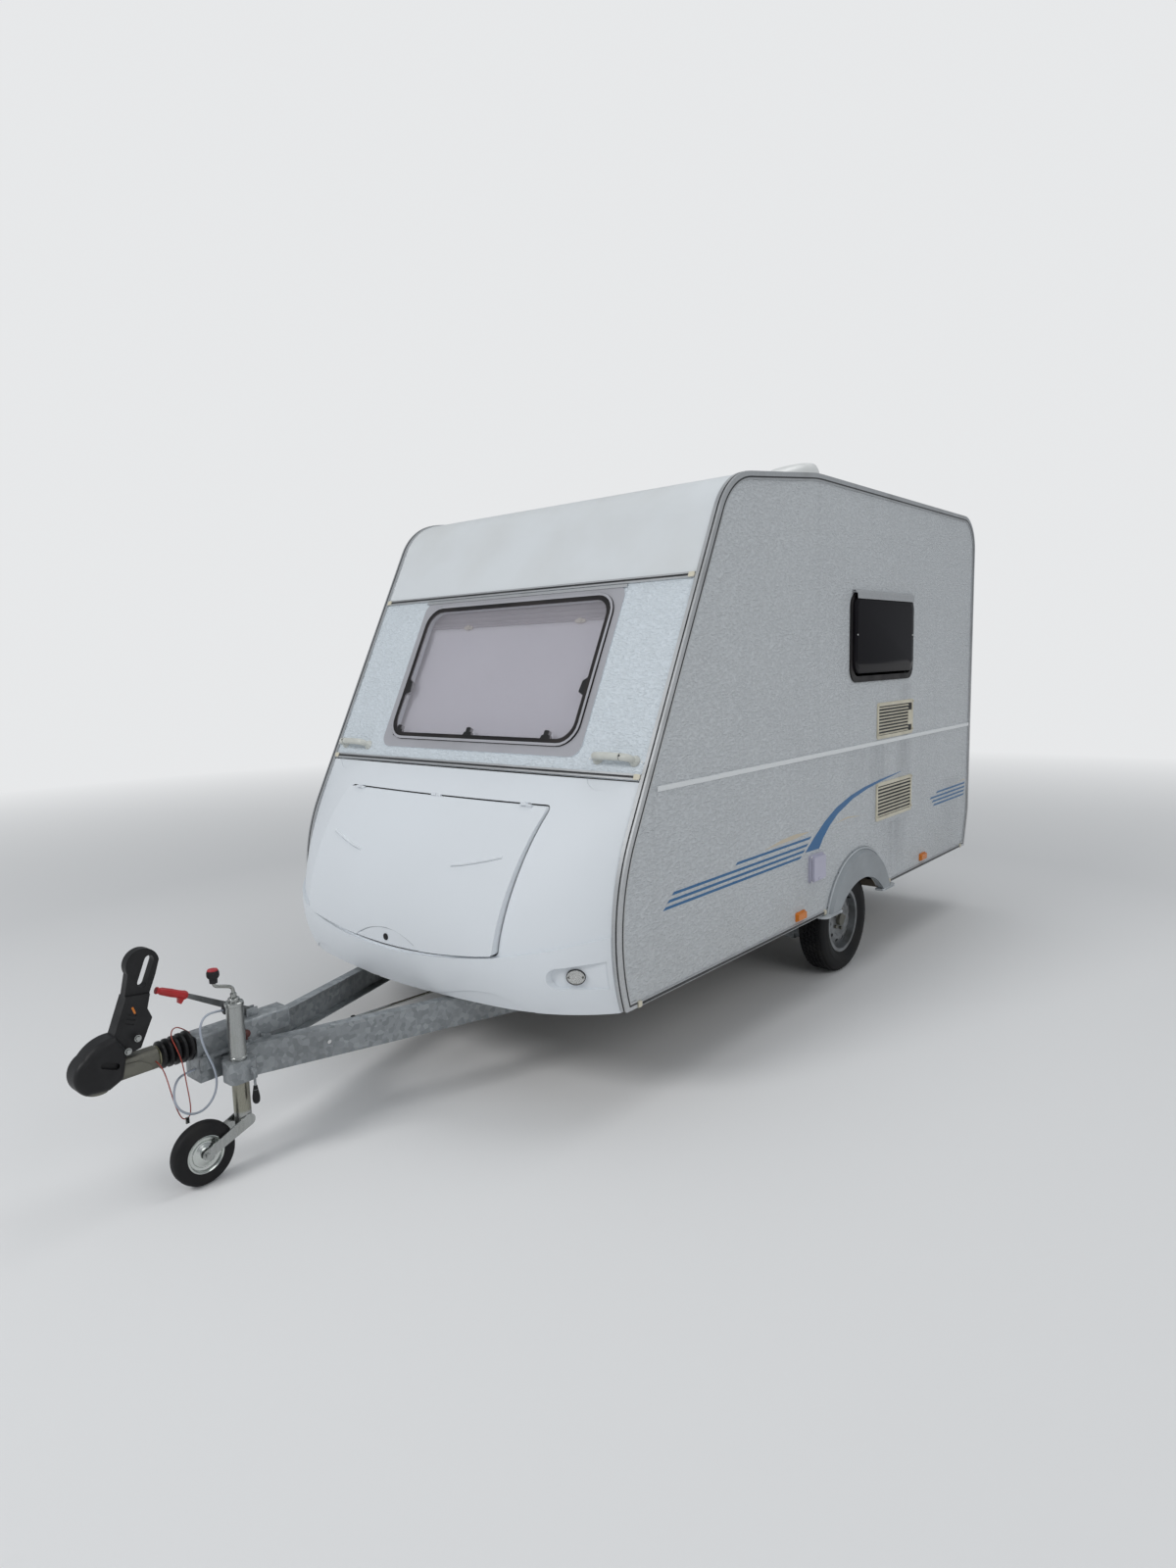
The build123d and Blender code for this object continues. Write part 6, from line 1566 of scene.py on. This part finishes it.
pivot, leverEnd, gripEnd = (Vector((0, *hitch[key])) for key in ("leverPivot", "leverEnd", "gripEnd"))
along = (leverEnd - pivot).normalized()
leverPlace = placeFrom(pivot, along, Vector((1, 0, 0)).cross(along))
leverLength = (leverEnd - pivot).length
plates = bmesh.new()
for side in (-1, 1):
    inner = side * hitch["plateGap"]
    outer = side * (hitch["plateGap"] + hitch["plateThickness"])
    turns = [radians(angle) for angle in range(90, 271, 20)]
    outline = [(cos(turn) * hitch["plateRound"], sin(turn) * hitch["plateRound"]) for turn in turns]
    reach = leverLength + hitch["plateReach"]
    outline += [(reach, -hitch["plateHalf"]), (reach, hitch["plateHalf"])]
    addSlab(plates, outline, leverPlace, max(inner, outer), min(inner, outer))
for share in hitch["pinShares"]:
    addLathe(plates, crossPlace(pivot.lerp(leverEnd, share)), hitch["pin"], 16)
leverSteel = plainSurface("leverSteel", {
    "colour": (0.20, 0.21, 0.21), "second": (0.11, 0.11, 0.11), "stain": 0.8, "stainScale": 22.0,
    "roughness": (0.38, 0.58), "metallic": 0.6, "grain": 0.3, "grainScale": 200.0,
})
addMesh("leverPlates", plates, leverSteel, smooth=30, edge=0.0006, hides=["handbrake_lever"])
grip = bmesh.new()
gripAlong = (gripEnd - leverEnd).normalized()
gripPlace = placeFrom(leverEnd, (1, 0, 0), gripAlong.cross(Vector((1, 0, 0))))
addLathe(grip, gripPlace, hitch["grip"], 24)
stop = placeFrom(leverEnd + gripAlong * hitch["stopAt"], gripAlong, Vector((1, 0, 0)).cross(gripAlong))
addSlab(grip, hitch["stop"], stop, 0.009, -0.009)
addMesh("leverGrip", grip, redPlastic, smooth=40, edge=0.0008, hides=["handbrake_lever"])

crank = bmesh.new()
addTube(crank, smoothLine(hitch["crank"]), hitch["crankRadius"], 16)
tubePlace = uprightPlace(hitch["tubeAxis"])
addLathe(crank, tubePlace, hitch["crankCollar"], 24)
addMesh("crankRod", crank, brightZinc, "jockey_leg", smooth=50, hides=["jockey_crank"])
knobPlace = uprightPlace(hitch["knobAxis"])
knob = bmesh.new()
addLathe(knob, knobPlace, hitch["knob"], 28)
for turn in range(0, 360, 20):
    grooveAt = Vector((cos(radians(turn)), sin(radians(turn)), 0)) * hitch["grooveRadius"]
    line = [knobPlace @ (grooveAt + Vector((0, 0, height))) for height in hitch["grooveHeights"]]
    addTube(knob, line, 0.0011, 6)
addMesh("crankKnob", knob, blackPlastic, "jockey_leg", smooth=35, hides=["jockey_crank"])
cap = bmesh.new()
addLathe(cap, knobPlace, hitch["knobCap"], 28)
addMesh("knobCap", cap, redCap, "jockey_leg", smooth=35, hides=["jockey_crank"])

sleeve = bmesh.new()
addLathe(sleeve, uprightPlace(hitch["sleeveAxis"]), hitch["sleeve"], 24)
addMesh("tommySleeve", sleeve, blackRubber, smooth=50)
collar = bmesh.new()
for profile in hitch["tubeCollars"]:
    addLathe(collar, tubePlace, profile, 40, True)
addMesh("tubeCollars", collar, brightZinc, "jockey_leg", smooth=40)

ring = bmesh.new()
ringPlace = placeFrom((0, 0, hitch["gaiterZ"]), (1, 0, 0), (0, 0, 1))
addLathe(ring, ringPlace, hitch["gaiterRing"], 40, True)
addMesh("gaiterRing", ring, greasyCream, smooth=40)

clips = bmesh.new()
(rodFrontY, rodFrontZ), (rodRearY, rodRearZ) = hitch["rod"]
rodAlong = Vector((0, rodRearY - rodFrontY, rodRearZ - rodFrontZ)).normalized()
for y in hitch["clips"]:
    z = rodFrontZ + (rodRearZ - rodFrontZ) * (y - rodFrontY) / (rodRearY - rodFrontY)
    clipPlace = placeFrom((0, y, z), (1, 0, 0), rodAlong.cross(Vector((1, 0, 0))))
    addLathe(clips, clipPlace, hitch["clip"], 20, True)
    addSlab(clips, hitch["clipTab"], clipPlace, 0.004, -0.004)
addMesh("rodClips", clips, blackRubber, smooth=40)

# brackets at the front of the deck, the square end of the upper box, and the red guide beside it
deck = {
    "brackets": [
        ((0.0525, -2.3445, 0.372), (0.0705, -2.300, 0.4185)),
        ((-0.0705, -2.3445, 0.372), (-0.0525, -2.300, 0.4185)),
    ],
    "boxEnd": [(0.094, 0.072, 0.010, (0, 0.454)), (0.066, 0.052, 0.006, (0, 0.452))],
    "boxEndY": (-1.9862, -1.9780),
    "guidePlace": (0.0465, -2.162, 0.446),
    "guide": [(0, 0), (0.013, 0), (0.0145, 0.003), (0.0145, 0.011), (0.009, 0.016), (0.0, 0.017)],
    "guideTail": [(0.056, -2.162, 0.446), (0.058, -2.166, 0.430), (0.056, -2.160, 0.4185)],
}
brackets = bmesh.new()
for low, high in deck["brackets"]:
    addBlock(brackets, low, high)
outer, inner = (roundedOutline(*outline) for outline in deck["boxEnd"])
addRing(brackets, outer, inner, placeFrom((0, 0, 0), (-1, 0, 0), (0, 0, 1)), *deck["boxEndY"])
addMesh("deckBrackets", brackets, beamZinc, edge=0.0015)
redBit = bmesh.new()
addLathe(redBit, crossPlace(deck["guidePlace"]), deck["guide"], 20)
addTube(redBit, deck["guideTail"], 0.004, 10)
guideRed = plainSurface("guideRed", {
    "colour": (0.105, 0.022, 0.018), "second": (0.06, 0.02, 0.016), "stain": 0.7, "stainScale": 30.0,
    "roughness": (0.40, 0.60), "grain": 0.3,
})
addMesh("breakawayGuide", redBit, guideRed, smooth=40)
print("hitch fittings in place")

# hood: an upright orange mark on each side of its handle
handle = {
    "x": 0.0262, "y": -2.539, "z": 0.648, "lean": (0.95, 0.30),
    "mark": (0.0070, 0.026, 0.0034), "markDepth": (0.0006, -0.0004),
}
mark = bmesh.new()
along, rise = handle["lean"]
for side in (-1, 1):
    origin = (side * handle["x"], handle["y"], handle["z"])
    place = placeFrom(origin, (0, side * along, side * rise), (0, -rise, along))
    addSlab(mark, roundedOutline(*handle["mark"]), place, *handle["markDepth"])
addMesh("handleMark", mark, amberLens)

# door: rubber seal in its gap, a handle lever with its barrel, and a kick strip
door = {
    "y": (1.440, 2.030), "z": (0.505, 2.290), "handle": (1.955, 1.180),
    "seal": [(0.0010, 0.010), (0.0062, 0.008)],         # how much smaller than the gap, and corner
    "sealDepth": (-0.020, -0.006),
    "lever": (0.050, 0.018, 0.006, (0, 0.014)), "leverDepth": (0.011, 0.0032),
    "barrel": [(0, 0), (0.0115, 0), (0.0115, 0.0035), (0.0095, 0.005), (0, 0.005)],
    "barrelAt": (0, -0.040, 0.012),
    "kick": [(-0.27, 0.522), (0.27, 0.522), (0.27, 0.548), (-0.27, 0.548)],
}
doorMiddle = (sum(door["y"]) / 2, sum(door["z"]) / 2)
doorSize = (door["y"][1] - door["y"][0], door["z"][1] - door["z"][0])
seal = bmesh.new()
outer, inner = (
    roundedOutline(doorSize[0] - smaller, doorSize[1] - smaller, corner) for smaller, corner in door["seal"]
)
addRing(seal, outer, inner, wallPlace(-1, *doorMiddle), *door["sealDepth"])
addMesh("doorSeal", seal, blackRubber)
lever = bmesh.new()
place = wallPlace(-1, *door["handle"], 0.002)
addSlab(lever, roundedOutline(*door["lever"]), place, *door["leverDepth"])
barrel = placeFrom(place @ Vector(door["barrelAt"]), (0, -1, 0), (0, 0, 1))
addLathe(lever, barrel, door["barrel"], 24)
addMesh("doorLever", lever, blackPlastic, "entrance_door", smooth=40, edge=0.0012)
kick = bmesh.new()
addSlab(kick, door["kick"], wallPlace(-1, doorMiddle[0], 0, 0.0021), 0.003, 0.0)
addMesh("doorKickStrip", kick, railAluminium, "entrance_door", edge=0.0008)

# rear: lamps in three colours, their rims, a bare plate and the plate lamp
rearTrim = {
    "lampX": 0.770, "lampZ": 0.640, "seat": 0.0282, "bezel": (0.296, 0.116, 0.028),
    "bezelInner": (0.286, 0.106, 0.024), "bezelHeight": 0.0095,
    "lenses": [
        ("amber", (-0.148, -0.052), amberLens, "lamp_lens"), ("red", (-0.050, 0.078), redLens, "rear_lens"),
        ("clear", (0.080, 0.148), clearLens, "clear_lens"),
    ],
    "lensGap": 0.006,
    "lensRows": [(0.0, 0.100, 0.012, 0.0), (0.0, 0.100, 0.012, 0.0085), (0.006, 0.094, 0.010, 0.0115)],
    "plate": (0.520, 0.111, 0.008), "holder": [(0.532, 0.124, 0.010), (0.521, 0.112, 0.008)],
    "plateLamp": (0.120, 0.016, 0.006, (0, 0.0685)), "reflectorX": 0.47, "reflectorSeat": 0.0345,
    "reflector": [(-0.045, -0.038), (0.045, -0.038), (0.0, 0.040)],
}
lampPlaces = [rearPlace(side * rearTrim["lampX"], rearTrim["lampZ"], rearTrim["seat"]) for side in (1, -1)]
for label, ends, material, slotName in rearTrim["lenses"]:
    lens = bmesh.new()
    for side, place in zip((1, -1), lampPlaces):
        low, high = sorted(-side * end for end in ends)
        width, middle = high - low - rearTrim["lensGap"], (low + high) / 2
        addStack(lens, place, [
            (roundedOutline(width - less, height, corner, (middle, 0)), proud)
            for less, height, corner, proud in rearTrim["lensRows"]
        ])
    addMesh(f"{label}Lens", lens, material, smooth=30, hides=["rear_lamps"])
bezel = bmesh.new()
outer, inner = (roundedOutline(*rearTrim[key]) for key in ("bezel", "bezelInner"))
for place in lampPlaces:
    addSlab(bezel, outer, place, 0.0008, 0.0)
    addRing(bezel, outer, inner, place, 0.0, rearTrim["bezelHeight"])
addMesh("lampBezels", bezel, blackPlastic, edge=0.001, hides=["rear_lamps"])
plate = bmesh.new()
platePlace = rearPlace(0, rearTrim["lampZ"], rearTrim["seat"])
addSlab(plate, roundedOutline(*rearTrim["plate"]), platePlace, 0.0022, 0.0)
addMesh("barePlate", plate, plateWhite, edge=0.0008)
holder = bmesh.new()
outer, inner = (roundedOutline(*outline) for outline in rearTrim["holder"])
addRing(holder, outer, inner, platePlace, 0.0, 0.0045)
addSlab(holder, roundedOutline(*rearTrim["plateLamp"]), platePlace, 0.0112, 0.004)
addMesh("plateHolder", holder, blackPlastic, edge=0.001)
reflectors = bmesh.new()
for side in (1, -1):
    place = rearPlace(side * rearTrim["reflectorX"], rearTrim["lampZ"], rearTrim["reflectorSeat"])
    addSlab(reflectors, rearTrim["reflector"], place, 0.0045, -0.0005)
addMesh("rearReflectors", reflectors, redLens, edge=0.0015)
print("door and rear trim in place")

# heads of screws and bolts: form, finish and slot of each kind, the form in this order
headForm = (
    "Head Radius", "Head Height", "Head Sides", "Crown Share", "Washer Radius", "Turn Spread", "Seed",
)
heads = {
    "whiteScrews": ((0.0042, 0.0026, 16, 0.6, 0.0045, 6.28, 3), whitePlastic, "white_plastic"),
    "creamScrews": ((0.0048, 0.0026, 16, 0.6, 0.0052, 6.28, 5), creamPlastic, "cream_plastic"),
    "zincBolts": ((0.0092, 0.0065, 6, 0.86, 0.0118, 1.0, 7), brightZinc, "zinc_steel"),
    "frameBolts": ((0.0105, 0.0075, 6, 0.88, 0.0135, 1.0, 11), beamZinc, "galvanised"),
    "blackScrews": ((0.0036, 0.0022, 14, 0.6, 0.0040, 6.28, 13), blackPlastic, "black_plastic"),
}

# where they stand: X, Y and Z on the body, or lengths from the edges of what they hold
headPlaces = {
    "grabX": (0.745, 0.970), "grabGap": 0.019, "grabZ": 1.368, "grabProud": 0.012,
    "markerX": 1.0472, "markerY": (0.851, 1.601), "markerZ": 1.862,
    "inletX": 1.0411, "inletY": (0.3536, 0.4884), "inletZ": (0.6358, 0.7622),
    "ventX": 1.0342, "ventSide": 0.011, "ventFoot": 0.028, "ventTop": 0.011,
    "archX": 1.0302, "archRadius": 0.4192, "archTurns": (24, 52, 78, 102, 128, 156),
    "plateX": (0.248, -0.220), "plateProud": 0.0304,
    "hoodX": 0.0452, "hood": ((-2.5410, 0.5555), (-2.5760, 0.5215)),
    "deck": [
        (0.0575, -2.322), (-0.0575, -2.322), (0.0585, -2.100), (-0.0585, -2.100), (0.0585, -2.158),
        (-0.0585, -2.158),
    ],
    "deckZ": 0.4187,
    "axle": [(0.6208, 0.730, 0.330), (0.6208, 0.830, 0.330)],
    "rearBeam": [(0.6204, 2.300, 0.372), (0.6204, 2.300, 0.330)],
    "drawbar": ((0.062, -2.210), (0.620, -0.530)),      # the ends of a drawbar beam's outer face
    "drawbarY": (-1.000, -0.560), "drawbarZ": (0.372, 0.326), "drawbarProud": 0.0004,
}
standing = {name: [] for name in heads}


def addHead(kind, point, facing):
    standing[kind].append((Vector(point), Vector(facing)))


outward = Vector((0, -cos(rakeAngle), sin(rakeAngle)))
for side in (-1, 1):
    for x in headPlaces["grabX"]:
        for shift in (-headPlaces["grabGap"], headPlaces["grabGap"]):
            place = slopePlace(side * x + shift, headPlaces["grabZ"], headPlaces["grabProud"])
            addHead("whiteScrews", place.translation, outward)
for y in headPlaces["markerY"]:
    addHead("whiteScrews", (headPlaces["markerX"], y, headPlaces["markerZ"]), (1, 0, 0))
for y in headPlaces["inletY"]:
    for z in headPlaces["inletZ"]:
        addHead("whiteScrews", (headPlaces["inletX"], y, z), (1, 0, 0))
for low, high in vents["rows"]:
    for y in (vents["y"][0] + headPlaces["ventSide"], vents["y"][1] - headPlaces["ventSide"]):
        for z in (low + headPlaces["ventFoot"], high - headPlaces["ventTop"]):
            addHead("creamScrews", (headPlaces["ventX"], y, z), (1, 0, 0))
for side in (-1, 1):
    for turn in headPlaces["archTurns"]:
        point = archPoint(side, headPlaces["archX"], headPlaces["archRadius"], radians(turn))
        addHead("blackScrews", point, (side, 0, 0))
    for x in headPlaces["plateX"]:
        place = rearPlace(x, rearTrim["lampZ"], headPlaces["plateProud"])
        addHead("blackScrews", place.translation, (0, 1, 0))
for y, z in headPlaces["hood"]:
    for side in (-1, 1):
        addHead("zincBolts", (side * headPlaces["hoodX"], y, z), (side, 0, 0))
for x, y in headPlaces["deck"]:
    addHead("frameBolts", (x, y, headPlaces["deckZ"]), (0, 0, 1))
(nearX, nearY), (farX, farY) = headPlaces["drawbar"]
splay = atan2(farX - nearX, farY - nearY)
for side in (-1, 1):
    for x, y, z in headPlaces["axle"]:
        addHead("frameBolts", (side * x, y, z), (side, 0, 0))
    facing = Vector((side * cos(splay), -sin(splay), 0))
    for y in headPlaces["drawbarY"]:
        x = nearX + (y - nearY) * (farX - nearX) / (farY - nearY)
        for z in headPlaces["drawbarZ"]:
            addHead("frameBolts", Vector((side * x, y, z)) + facing * headPlaces["drawbarProud"], facing)
    for x, y, z in headPlaces["rearBeam"]:
        addHead("frameBolts", (side * x, y, z), (side, 0, 0))
headTree = makeHeadTree()
for name, (form, material, slotName) in heads.items():
    seed = seedPoints(name + "Points", standing[name])
    growPiece(name, seed, headTree, dict(zip(headForm, form)), material, smooth=35)
    print(name, len(standing[name]))

# plain pale floor, soft studio light; far off, the floor runs into the backdrop
studio = {
    "floorColour": (0.78, 0.78, 0.78),
    "backdrop": (0.80, 0.81, 0.82),
    "floorFades": (4.5, 13.0),
    "worldColour": (0.90, 0.95, 1.0),
    "worldStrength": 0.38,
    "lamps": {
        "frontLamp": {"place": (-1.2, -9.0, 6.8), "aim": (0, -0.5, 1.2), "size": 3.4, "power": 380},
        "sideLamp": {"place": (8.5, -1.5, 5.5), "aim": (0, 0.8, 1.2), "size": 6.0, "power": 150},
        "topLamp": {"place": (1.0, 2.5, 8.5), "aim": (0, 0.8, 1.0), "size": 6.0, "power": 170},
    },
}


def seenDirectly(tree):
    rays = addNode(tree, "LightPath")
    share = rays.outputs["Is Camera Ray"]
    for name in ("Is Glossy Ray", "Is Transmission Ray"):
        larger = addNode(tree, "Math", operation="MAXIMUM")
        tree.links.new(share, larger.inputs[0])
        tree.links.new(rays.outputs[name], larger.inputs[1])
        share = larger.outputs[0]
    return share


def makeFloor():
    grid = bmesh.new()
    bmesh.ops.create_grid(grid, x_segments=1, y_segments=1, size=60)
    data = bpy.data.meshes.new("studioFloor")
    grid.to_mesh(data)
    grid.free()
    floor = bpy.data.objects.new("studioFloor", data)
    scene.collection.objects.link(floor)
    material, tree, shader = startMaterial("studioFloor", Roughness=0.9)
    shader.inputs["Base Color"].default_value = (*studio["floorColour"], 1)
    backdrop = addNode(tree, "Emission", {"Color": (*studio["backdrop"], 1), "Strength": 1.0})
    reach = addNode(tree, "VectorMath", operation="LENGTH")
    tree.links.new(objectPoints(tree), reach.inputs[0])
    near, far = studio["floorFades"]
    share = multiplied(tree, rangeOf(tree, reach.outputs["Value"], near, far), seenDirectly(tree))
    fade = addNode(tree, "MixShader")
    tree.links.new(share, fade.inputs[0])
    tree.links.new(shader.outputs[0], fade.inputs[1])
    tree.links.new(backdrop.outputs[0], fade.inputs[2])
    tree.links.new(fade.outputs[0], tree.nodes["Material Output"].inputs["Surface"])
    data.materials.append(material)


def makeWorld():
    world = bpy.data.worlds.new("studio")
    world.use_nodes = True
    scene.world = world
    tree = world.node_tree
    background = tree.nodes["Background"]
    background.inputs["Color"].default_value = (*studio["worldColour"], 1)
    background.inputs["Strength"].default_value = studio["worldStrength"]
    pale = addNode(tree, "Background", {"Color": (*studio["backdrop"], 1), "Strength": 1.0})
    choose = addNode(tree, "MixShader")
    rays = addNode(tree, "LightPath")
    tree.links.new(rays.outputs["Is Camera Ray"], choose.inputs[0])
    tree.links.new(background.outputs[0], choose.inputs[1])
    tree.links.new(pale.outputs[0], choose.inputs[2])
    tree.links.new(choose.outputs[0], tree.nodes["World Output"].inputs["Surface"])


def addLamps():
    for name, lamp in studio["lamps"].items():
        light = bpy.data.lights.new(name, "AREA")
        light.shape = "DISK"
        light.size = lamp["size"]
        light.energy = lamp["power"]
        holder = bpy.data.objects.new(name, light)
        holder.location = lamp["place"]
        aim = Vector(lamp["aim"]) - Vector(lamp["place"])
        holder.rotation_euler = aim.to_track_quat("-Z", "Y").to_euler()
        scene.collection.objects.link(holder)


makeFloor()
makeWorld()
addLamps()
scene.view_settings.view_transform = "Standard"
print("studio lit")
